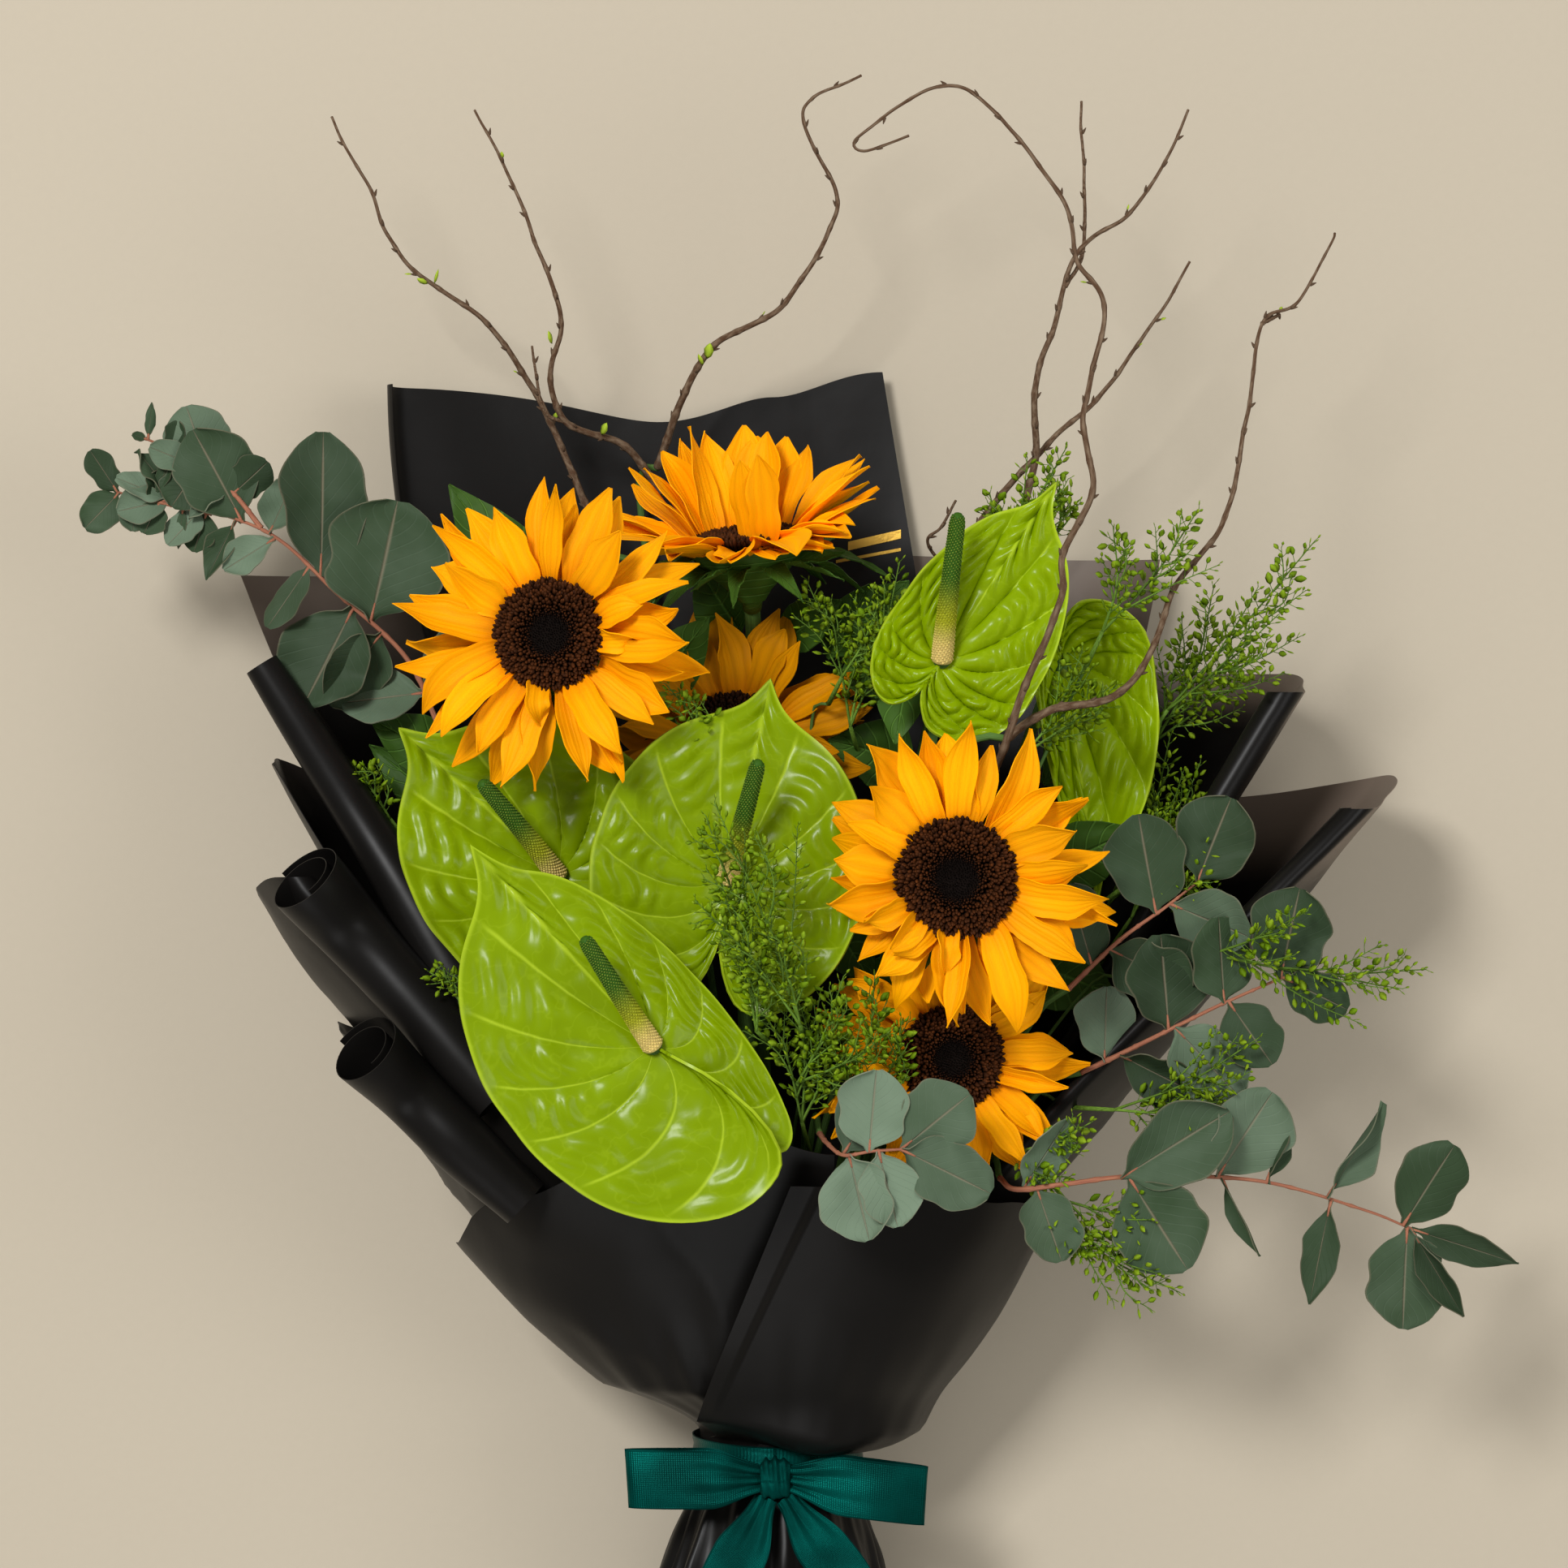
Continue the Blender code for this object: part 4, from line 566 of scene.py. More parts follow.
def petal_paint():
    paint = Paint("sunflower_petal", Subsurface_Weight=0.12, Subsurface_Radius=(0.004, 0.0018, 0.0006),
                  Specular_IOR_Level=0.06)
    hue = colours()
    streaks = paint.noise(1.0, 3, paint.vector(paint.along * 3, paint.over * 26, paint.chance * 90))
    veins = ((paint.over * 2 - 1) * 20 + (streaks - 0.5) * 4).wave()
    # painted shade: folds darkens each petal along its lengthwise grooves, where shade falls
    folds = ((paint.over * 2 - 1) * 9.42 + 1.57).wave() * -1
    # deeper orange towards the root: partly the petals' own colour, partly painted shade beside the disc
    root = paint.along.between(0.42, 0.0) * 0.75 + (streaks - 0.5) * 0.25
    tone = paint.mix(root, hue.petal, hue.petal_root)
    # paint.extra carries the bloom's shade here: painted shade that darkens all its petals
    tone = paint.shade(tone, 0.76 + paint.chance * 0.24 + streaks * 0.10 + folds * 0.05 - paint.extra * 0.55)
    return paint.set(tone, 0.50 + streaks * 0.14, veins * 0.3 + streaks * 0.8, 0.0003, 0.7)


def floret_paint():
    paint = Paint("disc_floret", Specular_IOR_Level=0.12)
    hue = colours()
    tone = paint.mix(paint.along.between(0.35, 1.0) * paint.extra, hue.floret, hue.floret_tip)
    return paint.set(paint.shade(tone, 0.6 + paint.chance * 0.8), 0.62 + paint.chance * 0.1,
                     paint.noise(1500), 0.0002)


def disc_paint():
    paint = Paint("disc_ground", Specular_IOR_Level=0.1)
    grain = paint.noise(900)
    return paint.set(paint.shade(tuple(colours().floret), 0.5 + grain), 0.8, grain, 0.0006)


def spathe_paint():
    """Waxy bowl with main veins that leave the spadix, and a net of fine ones between them."""
    paint = Paint("anthurium_bowl", Coat_Weight=0.20, Coat_Roughness=0.22, Specular_IOR_Level=0.05,
                  Subsurface_Weight=0.06, Subsurface_Radius=(0.003, 0.004, 0.0008))
    hue = colours()
    wander = paint.noise(45, 2)
    fan = paint.over * VEINS + 0.5 + (wander - 0.5) * 0.05
    main = (abs(fan.fraction() - 0.5) * 2).between(0.90, 1.0) + paint.over.between(0.012, 0.0)
    main = main * (1 - paint.along.between(0.86, 1.0))
    fine = abs(paint.noise(85, 2) - 0.5).between(0.03, 0.0)
    rim = paint.along.between(0.972, 0.995)
    tone = paint.mix(main * 0.75 + fine * 0.12 + rim * 0.7, hue.spathe, hue.spathe_vein)
    # paint.extra carries the bowl's shade: above 0 it darkens the bowl, below 0 it lightens it, partly its
    # own paler green and partly painted light
    tone = paint.shade(tone, 0.80 + wander * 0.34 - paint.extra * 0.35)
    return paint.set(tone, 0.30 + wander * 0.12, wander * 0.8 - main * 0.2, 0.0010, 0.7)


def spike_paint(name, gloss, place):
    """A spadix's finish and its tones: cream at the foot, then yellow, and green at the tip."""
    paint = Paint(name, Specular_IOR_Level=gloss, Subsurface_Weight=0.05,
                  Subsurface_Radius=(0.002, 0.002, 0.001))
    share, hue = getattr(paint, place), colours()
    middle = paint.mix(share.between(0.08, 0.32), hue.spadix_foot, SPADIX_YELLOW)
    return paint, paint.mix(share.between(0.25, 0.62), middle, hue.spadix_tip)


def spadix_paint():
    paint, tone = spike_paint("spadix", 0.1, "along")
    tone = paint.mix(paint.extra * 0.5, tone, (0.80, 0.72, 0.25, 1))
    return paint.set(paint.shade(tone, 0.8 + paint.noise(700) * 0.4), 0.5, paint.noise(900), 0.0004)


def grain_paint():
    """The spadix's small flowers; each one's chance is its place along the spadix."""
    paint, tone = spike_paint("spadix_grain", 0.12, "chance")
    tone = paint.mix(paint.along.between(0.6, 1.0) * 0.35, tone, (0.50, 0.50, 0.06, 1))
    return paint.set(paint.shade(tone, 0.85 + paint.extra * 0.3), 0.50, paint.noise(900), 0.0002)


def eucalyptus_paint():
    paint = Paint("eucalyptus_leaf", Specular_IOR_Level=0.12)
    hue = colours()
    cloud = paint.noise(38, 3)
    side = abs(paint.over * 2 - 1)
    rib = side.between(0.05, 0.0)
    ribs = ((paint.along * 9 - side * 3.2) * tau).wave().between(0.86, 1.0)
    pale = paint.chance.between(0.45, 1.0) * 0.75 + (cloud - 0.5) * 0.8 + ribs * 0.10 + paint.extra * 0.6
    tone = paint.mix(pale, hue.eucalyptus, hue.eucalyptus_bloom)
    tone = paint.shade(tone, 0.60 + paint.chance * 0.48 + paint.extra * 0.2)
    tone = paint.mix(rib * 0.6 + side.between(0.95, 1.0) * 0.35, tone, (0.23, 0.19, 0.13, 1))
    return paint.set(tone, 0.50 + cloud * 0.16, cloud * 0.5 - rib - ribs * 0.2, 0.0006, 0.7)


def leaf_paint():
    paint = Paint("green_leaf", Specular_IOR_Level=0.15)
    cloud = paint.noise(60, 3)
    side = abs(paint.over * 2 - 1)
    rib = side.between(0.09, 0.0)
    ribs = ((paint.along * 7 - side * 1.6) * tau).wave().between(0.8, 1.0)
    pale = rib * 0.6 + ribs * 0.35 + (cloud - 0.5) * 0.5
    tone = paint.mix(pale, colours().leaf, (0.14, 0.30, 0.05, 1))
    return paint.set(paint.shade(tone, 0.8 + paint.chance * 0.5), 0.52, cloud - rib * 1.4 - ribs * 0.7,
                     0.0008, 0.8)


def stalk_paint(name, green, pale, rough=0.55):
    """Stems: fine lengthwise ridges and a change of tone along them."""
    paint = Paint(name, Specular_IOR_Level=0.12)
    grain = paint.noise(1.0, 3, paint.vector(paint.along * 14, paint.over * 22, paint.chance * 40))
    tone = paint.mix(grain.between(0.3, 0.75), green, pale)
    return paint.set(paint.shade(tone, 0.75 + paint.chance * 0.5), rough, grain, 0.0005, 0.7)


def bark_paint():
    paint = Paint("willow_bark", Specular_IOR_Level=0.1)
    hue = colours()
    grain = paint.noise(1.0, 4, paint.vector(paint.along * 60, paint.over * 5, paint.chance * 40))
    specks = paint.cells(900).between(0.25, 0.1)
    tone = paint.mix(grain.between(0.35, 0.75), hue.willow, hue.willow_grey)
    tone = paint.mix(specks * 0.35, tone, (0.33, 0.25, 0.17, 1))
    return paint.set(tone, 0.68, grain + specks * 0.5, 0.0005, 0.8)


def pod_paint(name, green):
    paint = Paint(name, Specular_IOR_Level=0.1, Subsurface_Weight=0.08,
                  Subsurface_Radius=(0.001, 0.002, 0.0005))
    tone = paint.mix(paint.chance * 0.6, green, (0.30, 0.42, 0.02, 1))
    return paint.set(paint.shade(tone, 0.65 + paint.along * 0.5), 0.5, paint.noise(1200), 0.0002)


def film_paint():
    """Matt film: black where it is doubled, taupe in a single layer, with fine creases."""
    paint = Paint("wrapping_film", Specular_IOR_Level=0.17)
    hue = colours()
    cloud = paint.noise(11, 3)
    fine = paint.noise(260, 2)
    tone = paint.mix(paint.extra, paint.mix(cloud * 0.6, hue.film, (0.010, 0.0088, 0.0078, 1)), hue.film_thin)
    return paint.set(tone, 0.32 + cloud * 0.10 + fine * 0.03, cloud * 0.9 + fine * 0.015, 0.003, 0.4)


def satin_paint():
    """Woven satin: fine cross threads, a plain selvedge along both edges, and broad painted bands of sheen
    and shade.
    """
    paint = Paint("satin_ribbon", Metallic=0.65, Anisotropic=0.5, Specular_IOR_Level=0.05)
    edge = abs(paint.over * 2 - 1).between(0.93, 0.96)
    weave = (paint.along * 900).wave() * 0.5 + (paint.over * 260).wave() * 0.5
    tone = paint.mix(edge * 0.6 + paint.noise(300) * 0.2, colours().ribbon, (0.0, 0.030, 0.025, 1))
    # painted highlight and shade: broad noise bands lighten and darken the ribbon as satin sheen would
    tone = paint.shade(tone, 0.6 + paint.noise(42, 1).between(0.3, 0.75, 0, 0.7))
    return paint.set(tone, 0.36 + edge * 0.2, weave * (1 - edge) + edge * 1.5, 0.00012, 0.6)


def gold_paint():
    paint = Paint("printed_gold", Metallic=0.85)
    return paint.set(tuple(colours().gold), 0.34 + paint.noise(400) * 0.1, paint.noise(500), 0.0001)


def twine_paint():
    paint = Paint("twine")
    strand = (paint.along * 400 + paint.over * 6.28).wave()
    return paint.set(paint.shade(tuple(colours().twine), 0.8 + strand * 0.2), 0.8, strand, 0.0005)


def floor_paint():
    paint = Paint("floor", Specular_IOR_Level=0.2)
    grain = paint.noise(240, 3)
    return paint.set(paint.shade(tuple(colours().floor), 0.985 + grain * 0.03), 0.85, grain, 0.0004, 0.2)


PAINTS = {
    "petal": petal_paint, "floret": floret_paint, "disc": disc_paint, "spathe": spathe_paint,
    "spadix": spadix_paint, "grain": grain_paint, "eucalyptus": eucalyptus_paint, "leaf": leaf_paint,
    "bark": bark_paint,
    "stem": lambda: stalk_paint("flower_stem", colours().stem, (0.11, 0.21, 0.045, 1)),
    "cut": lambda: stalk_paint("cut_stem", (0.30, 0.36, 0.16, 1), (0.45, 0.48, 0.28, 1), 0.7),
    "twig": lambda: stalk_paint("eucalyptus_twig", colours().eucalyptus_twig, (0.50, 0.22, 0.12, 1)),
    "sprig": lambda: stalk_paint("cress_stem", colours().cress_stem, (0.20, 0.36, 0.05, 1)),
    "pod": lambda: pod_paint("cress_pod", colours().cress),
    "bud": lambda: pod_paint("willow_bud", colours().bud),
    "film": film_paint, "satin": satin_paint, "gold": gold_paint, "twine": twine_paint,
    "floor": floor_paint,
}


def paint_named(name):
    made = bpy.data.materials.get("bouquet_" + name)
    if made is None:
        made = PAINTS[name]()
        made.name = "bouquet_" + name
    return made


# ---- curves and meshes --------------------------------------------------------------------------
def smooth_path(points, pieces):
    """Points at even steps along a Catmull-Rom curve through the given points."""
    points = [Vector(point) for point in points]
    ends = [2 * points[0] - points[1], *points, 2 * points[-1] - points[-2]]
    fine = [points[0]]
    for a, b, c, d in zip(ends, ends[1:], ends[2:], ends[3:]):
        for step in range(1, 13):
            t = step / 12
            fine.append(0.5 * (2 * b + (c - a) * t + (2 * a - 5 * b + 4 * c - d) * t ** 2
                               + (3 * b - 3 * c + d - a) * t ** 3))
    reach = [0.0]
    for before, after in zip(fine, fine[1:]):
        reach.append(reach[-1] + (after - before).length)
    path, at = [], 0
    for piece in range(pieces + 1):
        goal = reach[-1] * piece / pieces
        while at < len(fine) - 2 and reach[at + 1] < goal:
            at += 1
        share = (goal - reach[at]) / max(reach[at + 1] - reach[at], 1e-9)
        path.append(fine[at].lerp(fine[at + 1], share))
    return path


def blend_list(values, share):
    """The value at a share of the way along an evenly spaced list, smoothly joined."""
    place = share * (len(values) - 1)
    index = min(int(place), len(values) - 2)
    ease = place - index
    ease = ease * ease * (3 - 2 * ease)
    return values[index] + (values[index + 1] - values[index]) * ease


def across(along):
    """Any direction square to a given one."""
    along = Vector(along)
    other = Vector((0, 0, 1)) if abs(along.normalized().z) < 0.8 else Vector((1, 0, 0))
    return along.cross(other).normalized()


def beside(along, turn):
    """A direction square to a given one, turned round it."""
    side = across(along)
    return side * cos(turn) + along.cross(side) * sin(turn)


def carried_sides(path, hint):
    """A direction across the path at each point, turning with it and starting near the hint."""
    sides, side = [], Vector(hint)
    for index in range(len(path)):
        along = path[min(index + 1, len(path) - 1)] - path[max(index - 1, 0)]
        along.normalize()
        side = side - along * side.dot(along)
        side.normalize()
        sides.append((side.copy(), along.cross(side)))
    return sides


def unit(rows):
    return rows / (np.linalg.norm(rows, axis=-1, keepdims=True) + 1e-12)


def facing(grid):
    """Normals of a grid of points; its columns run to the right of its rows."""
    return unit(np.cross(np.gradient(grid, axis=1), np.gradient(grid, axis=0)))


def ring_turns(count):
    """Angles at even steps round a ring."""
    return [tau * step / count for step in range(count)]


def limb_faces(rows, sides, flip=False):
    """Quads between rings of points, and fans to the two poles that follow the rings."""
    at = np.arange(rows * sides).reshape(rows, sides)
    after = np.roll(at, -1, axis=1)
    quads = np.stack([at[:-1], after[:-1], after[1:], at[1:]], -1).reshape(-1, 4)
    first, last = np.full(sides, rows * sides), np.full(sides, rows * sides + 1)
    caps = np.concatenate([np.stack([first, after[0], at[0]], -1), np.stack([last, at[-1], after[-1]], -1)])
    return [np.roll(faces[:, ::-1], 1, axis=1) if flip else faces for faces in (quads, caps)]


def even_shares(rows, columns):
    """Shares of the way along and over a grid with even steps."""
    return np.linspace(0, 1, rows)[:, None], np.linspace(0, 1, columns)[None, :]


def shell_faces(rows, columns):
    """Quads of a closed sheet: its front, its back and the border between them."""
    at = np.arange(rows * columns).reshape(rows, columns)
    front = np.stack([at[:-1, :-1], at[:-1, 1:], at[1:, 1:], at[1:, :-1]], -1).reshape(-1, 4)
    border = np.concatenate([at[0, :-1], at[:-1, -1], at[-1, :0:-1], at[:0:-1, 0]])
    after = np.roll(border, -1)
    count = rows * columns
    edge = np.stack([after, border, border + count, after + count], -1)
    return np.concatenate([front, front[:, ::-1] + count, edge])


SHARP = radians(80)         # the edge of a sheet stays crisp, a thin limb stays round
TUBE_DOME = 0.35            # how far a limb's end swells, as a share of its radius


class Body:
    """One mesh in the making: points, the four values of each in `place`, faces and their finishes."""

    def __init__(self):
        self.points, self.place, self.faces, self.kinds, self.count = [], [], [], [], 0

    def add(self, points, faces, place, kind=0):
        points = np.asarray(points, float).reshape(-1, 3)
        place = np.broadcast_to(np.asarray(place, float), (len(points), 4))
        self.points.append(points)
        self.place.append(place)
        for group in faces if isinstance(faces, list) else [faces]:
            self.faces.extend(map(tuple, (np.asarray(group) + self.count).tolist()))
        self.kinds.extend([kind] * (len(self.faces) - len(self.kinds)))
        self.count += len(points)

    def sheet(self, grid, thickness, shares=None, chance=0.0, extra=0.0):
        """Closed sheet about a grid of points; shares tells how far along and over each one is."""
        grid = np.asarray(grid, float)
        rows, columns = grid.shape[:2]
        normal = facing(grid) * thickness / 2
        along, over = shares or even_shares(rows, columns)
        place = np.stack([np.broadcast_to(value, (rows, columns)).astype(float)
                          for value in (along, over, chance, extra)], -1).reshape(-1, 4)
        self.add(np.concatenate([(grid + normal).reshape(-1, 3), (grid - normal).reshape(-1, 3)]),
                 shell_faces(rows, columns), np.concatenate([place, place]))

    def tube(self, path, radii, sides=8, chance=0.0, kind=0):
        """Closed round limb with domed ends; radii is one number or one for each point."""
        path = [Vector(point) for point in path]
        radii = np.broadcast_to(np.asarray(radii, float), (len(path),))
        frames = carried_sides(path, across(path[1] - path[0]))
        points = [p + (side * cos(t) + up * sin(t)) * float(r)
                  for p, r, (side, up) in zip(path, radii, frames) for t in ring_turns(sides)]
        first = path[0] - (path[1] - path[0]).normalized() * float(radii[0]) * TUBE_DOME
        last = path[-1] + (path[-1] - path[-2]).normalized() * float(radii[-1]) * TUBE_DOME
        place = [(along, step / sides, chance, 0)
                 for along in np.linspace(0, 1, len(path)) for step in range(sides)]
        place += [(0, 0, chance, 0), (1, 0, chance, 0)]
        self.add([*points, first, last], limb_faces(len(path), sides), place, kind)

    def object(self, name, paints):
        mesh = bpy.data.meshes.new(name)
        points = in_row(np.concatenate(self.points))
        mesh.from_pydata(points.tolist(), [], self.faces)
        place = mesh.attributes.new("place", "FLOAT_COLOR", "POINT")
        place.data.foreach_set("color", np.concatenate(self.place).astype(np.float32).ravel())
        for paint in paints:
            mesh.materials.append(paint_named(paint))
        mesh.polygons.foreach_set("material_index", self.kinds)
        mesh.polygons.foreach_set("use_smooth", [True] * len(self.faces))
        mesh.set_sharp_from_angle(angle=SHARP)
        made = bpy.data.objects.new(name, mesh)
        bpy.context.scene.collection.objects.link(made)
        return made

    def piece(self, name, paints, slot, nodes=()):
        return settle(self.object(name, paints), nodes)


def settle(made, nodes=()):
    """Hand a finished piece to the frame: the body that it rides, and the solids that it stands for, which it
    hides.
    """
    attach(made, "root")
    if nodes:
        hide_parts(*nodes)
    return made


# ---- Geometry Nodes: one small shape on every point ---------------------------------------------
STREW_SEED = 3
NAMED = "GeometryNodeInputNamedAttribute"
CHANCE = "FunctionNodeRandomValue"
# Each node of the tree: its kind, its settings, and a value for each input or the node and output
# that feed it.  The roll and the spread of sizes have a seed each.
STREW = {
    "way": (NAMED, dict(data_type="FLOAT_VECTOR"), {"Name": "way"}),
    "size": (NAMED, dict(data_type="FLOAT"), {"Name": "size"}),
    "aim": ("FunctionNodeAlignRotationToVector", dict(axis="Z"), {"Vector": ("way", "Attribute")}),
    "rolled": (CHANCE, dict(data_type="FLOAT"), {"Seed": ("given", "Seed")}),
    "roll": ("ShaderNodeMath", dict(operation="MULTIPLY"), {0: ("rolled", "Value"), 1: ("given", "Roll")}),
    "turn": ("ShaderNodeCombineXYZ", {}, {"Z": ("roll", 0)}),
    "twist": ("FunctionNodeRotateRotation", dict(rotation_space="LOCAL"),
              {"Rotation": ("aim", "Rotation"), "Rotate By": ("turn", 0)}),
    "next": ("ShaderNodeMath", dict(operation="ADD"), {0: ("given", "Seed"), 1: 1}),
    "grown": (CHANCE, dict(data_type="FLOAT"), {2: -1.0, "Seed": ("next", 0)}),
    "spread": ("ShaderNodeMath", dict(operation="MULTIPLY_ADD"),
               {0: ("grown", "Value"), 1: ("given", "Size Spread"), 2: 1}),
    "scale": ("ShaderNodeMath", dict(operation="MULTIPLY"), {0: ("spread", 0), 1: ("size", "Attribute")}),
    "full": ("ShaderNodeMath", dict(operation="MULTIPLY"), {0: ("scale", 0), 1: ("given", "Size")}),
    "shape": ("GeometryNodeObjectInfo", {}, {"Object": ("given", "Shape")}),
    "copies": ("GeometryNodeInstanceOnPoints", {},
               {"Points": ("given", "Cloud"), "Instance": ("shape", "Geometry"),
                "Rotation": ("twist", "Rotation"), "Scale": ("full", 0)}),
    "real": ("GeometryNodeRealizeInstances", {}, {"Geometry": ("copies", "Instances")}),
    "finish": ("GeometryNodeSetMaterial", {},
               {"Geometry": ("real", "Geometry"), "Material": ("given", "Finish")}),
    "result": ("NodeGroupOutput", {}, {"Geometry": ("finish", "Geometry")}),
}


def scatter_tree():
    """Copies of a shape on a cloud's points, each turned to its point's way and sized by it."""
    found = bpy.data.node_groups.get("strew")
    if found:
        return found
    tree = bpy.data.node_groups.new("strew", "GeometryNodeTree")
    for name, kind in (("Cloud", "Geometry"), ("Shape", "Object"), ("Size", "Float"),
                       ("Size Spread", "Float"), ("Roll", "Float"), ("Seed", "Int"),
                       ("Finish", "Material")):
        tree.interface.new_socket(name, in_out="INPUT", socket_type="NodeSocket" + kind)
    tree.interface.new_socket("Geometry", in_out="OUTPUT", socket_type="NodeSocketGeometry")
    nodes = {"given": add_node(tree, "NodeGroupInput")}
    for name, (kind, settings, values) in STREW.items():
        values = {socket: nodes[value[0]].outputs[value[1]] if isinstance(value, tuple) else value
                  for socket, value in values.items()}
        nodes[name] = add_node(tree, kind, settings, values)
    return tree


def point_values(mesh, name):
    flat = np.zeros(len(mesh.vertices), np.float32)
    mesh.attributes[name].data.foreach_get("value", flat)
    return flat


def strew(name, spots, shape, size, paint, roll=tau, spread=0.15):
    """One piece from a shape (points in units of its size, faces, heights) on many spots.

    Each spot is (point, way, size, chance, extra), in layout millimetres.
    """
    points, faces, heights = shape
    mould = bpy.data.meshes.new(name + "_shape")
    mould.from_pydata([Vector(point) * MM for point in points], [], faces)
    mould.polygons.foreach_set("use_smooth", [True] * len(faces))
    rise = mould.attributes.new("rise", "FLOAT", "POINT")
    rise.data.foreach_set("value", heights)
    mould = bpy.data.objects.new(name + "_shape", mould)
    cloud = bpy.data.meshes.new(name)
    cloud.from_pydata(in_row([spot[0] for spot in spots]).tolist(), [], [])
    for value, kind, index, field in (("way", "FLOAT_VECTOR", 1, "vector"), ("size", "FLOAT", 2, "value"),
                                      ("chance", "FLOAT", 3, "value"), ("extra", "FLOAT", 4, "value")):
        layer = cloud.attributes.new(value, kind, "POINT")
        layer.data.foreach_set(field, np.array([spot[index] for spot in spots], np.float32).ravel())
    made = bpy.data.objects.new(name, cloud)
    for thing in (mould, made):
        bpy.context.scene.collection.objects.link(thing)
    tree = scatter_tree()
    strewn = made.modifiers.new("strew", "NODES")
    strewn.node_group = tree
    given = {"Shape": mould, "Size": size, "Size Spread": spread, "Roll": roll, "Seed": STREW_SEED,
             "Finish": paint_named(paint)}
    for item in tree.interface.items_tree:
        if item.in_out == "INPUT" and item.name in given:
            strewn[item.identifier] = given[item.name]
    bpy.context.view_layer.update()
    plain = bpy.data.meshes.new_from_object(made.evaluated_get(bpy.context.evaluated_depsgraph_get()))
    made.modifiers.remove(strewn)
    made.data = plain
    bpy.data.objects.remove(mould)
    rise, chance, extra = (point_values(plain, value) for value in ("rise", "chance", "extra"))
    place = plain.attributes.new("place", "FLOAT_COLOR", "POINT")
    place.data.foreach_set("color", np.stack([rise, rise * 0, chance, extra], -1).ravel())
    for value in ("rise", "chance", "extra", "way", "size"):
        if value in plain.attributes:
            plain.attributes.remove(plain.attributes[value])
    return settle(made)


def cone_shape(sides, rings):
    """A small closed shape from (radius, height) rings; a ring of no radius is a pole."""
    points, faces, heights, starts = [], [], [], []
    top = rings[-1][1]
    for radius, height in rings:
        starts.append(len(points))
        turns = [0] if radius == 0 else [tau * j / sides for j in range(sides)]
        points += [(radius * cos(t), radius * sin(t), height) for t in turns]
        heights += [max(0.0, height / top)] * len(turns)
    for ring, (start, after) in enumerate(zip(starts, starts[1:])):
        for j in range(sides):
            k = (j + 1) % sides
            if rings[ring][0] == 0:
                faces.append((start, after + k, after + j))
            elif rings[ring + 1][0] == 0:
                faces.append((start + j, start + k, after))
            else:
                faces.append((start + j, start + k, after + k, after + j))
    if rings[0][0]:
        faces.append(tuple(reversed(range(sides))))
    return points, faces, heights


def pod_shape():
    """A flat pointed pod along +Z, a little fatter in its middle."""
    points, heights = [(0, 0, 0)], [0.0]
    for height, half in ((0.25, 0.26), (0.6, 0.34), (0.88, 0.18)):
        points += [(half, 0, height), (0, half * 0.34, height), (-half, 0, height), (0, -half * 0.34, height)]
        heights += [height] * 4
    points.append((0, 0, 1.05))
    heights.append(1.0)
    faces = [(0, 1 + (j + 1) % 4, 1 + j) for j in range(4)]
    for ring in (1, 5):
        faces += [(ring + j, ring + (j + 1) % 4, ring + 4 + (j + 1) % 4, ring + 4 + j) for j in range(4)]
    faces += [(9 + j, 9 + (j + 1) % 4, 13) for j in range(4)]
    return points, faces, heights


# ---- wrap ---------------------------------------------------------------------------------------
def wrap_radius(angle, left, right, back, front):
    """Distance from the middle line to the wrap in one direction."""
    sideways, forwards = sin(angle), cos(angle)
    roundness = FRONT_ROUND if forwards >= 0 else BACK_ROUND
    width = left if sideways < 0 else right
    depth = front if forwards >= 0 else back
    total = abs(sideways / width) ** roundness + abs(forwards / depth) ** roundness
    return total ** (-1 / roundness)


def sheet_point(sheet, angle, height):
    """A point of a sheet, by the angle round the middle line and the height above the tie."""
    neck = sheet["neck"]
    if height <= 0:
        radius, core = neck, NECK.z
    else:
        core = NECK.z + (CORE_HEIGHT - NECK.z) * min(1, height / CORE_RISE)
        reach = [neck + (wide - neck) * (height / high) ** sheet["power"]
                 for wide, high in (sheet["left"], sheet["right"], sheet["front"])]
        lying = sheet["lies"] + (NECK.z - neck - sheet["lies"]) * max(0, 1 - height / LIE_DOWN) ** 2
        flared = wrap_radius(angle, reach[0], reach[1], core - lying, reach[2])
        start = min(1, height / sheet.get("shoulder", SHOULDER))
        radius = neck + (flared - neck) * start
    sag = sheet.get("sag", 0) * eased(sin(angle), -0.6, 0.5) * exp(-((height - 9) / 8) ** 2)
    return Vector((NECK.x + radius * sin(angle), NECK.y + height - sag * (height > 0),
                   core + radius * cos(angle)))


def eased(value, low, high):
    share = min(1.0, max(0.0, (value - low) / (high - low)))
    return share * share * (3 - 2 * share)


def crumpled(point, out, angle, height, seed, depth):
    """A point of the film with pleats that leave the tie, and soft creases and dents above them."""
    pleats = (sin(angle * 17 + seed) + 0.6 * sin(angle * 31 + seed * 2.3)) * 0.8
    pleats *= eased(height, 3, 18) * (1 - eased(height, 30, 85)) * min(1, depth / 2.6)
    spot = Vector((point.x / 70 + seed * 7.1, point.y / 105, point.z / 70))
    crease = 1 - 2 * abs(noise.noise(spot))
    soft = noise.noise(spot * 1.9 + Vector((3, 1, 2)))
    lying = 1 - 0.8 * eased(-cos(angle), 0.2, 0.7)
    dents = (crease ** 3 * 0.7 - 0.3 + soft * 1.3) * depth * eased(height, 14, 80) * lying
    return point + out * (pleats * lying + dents)


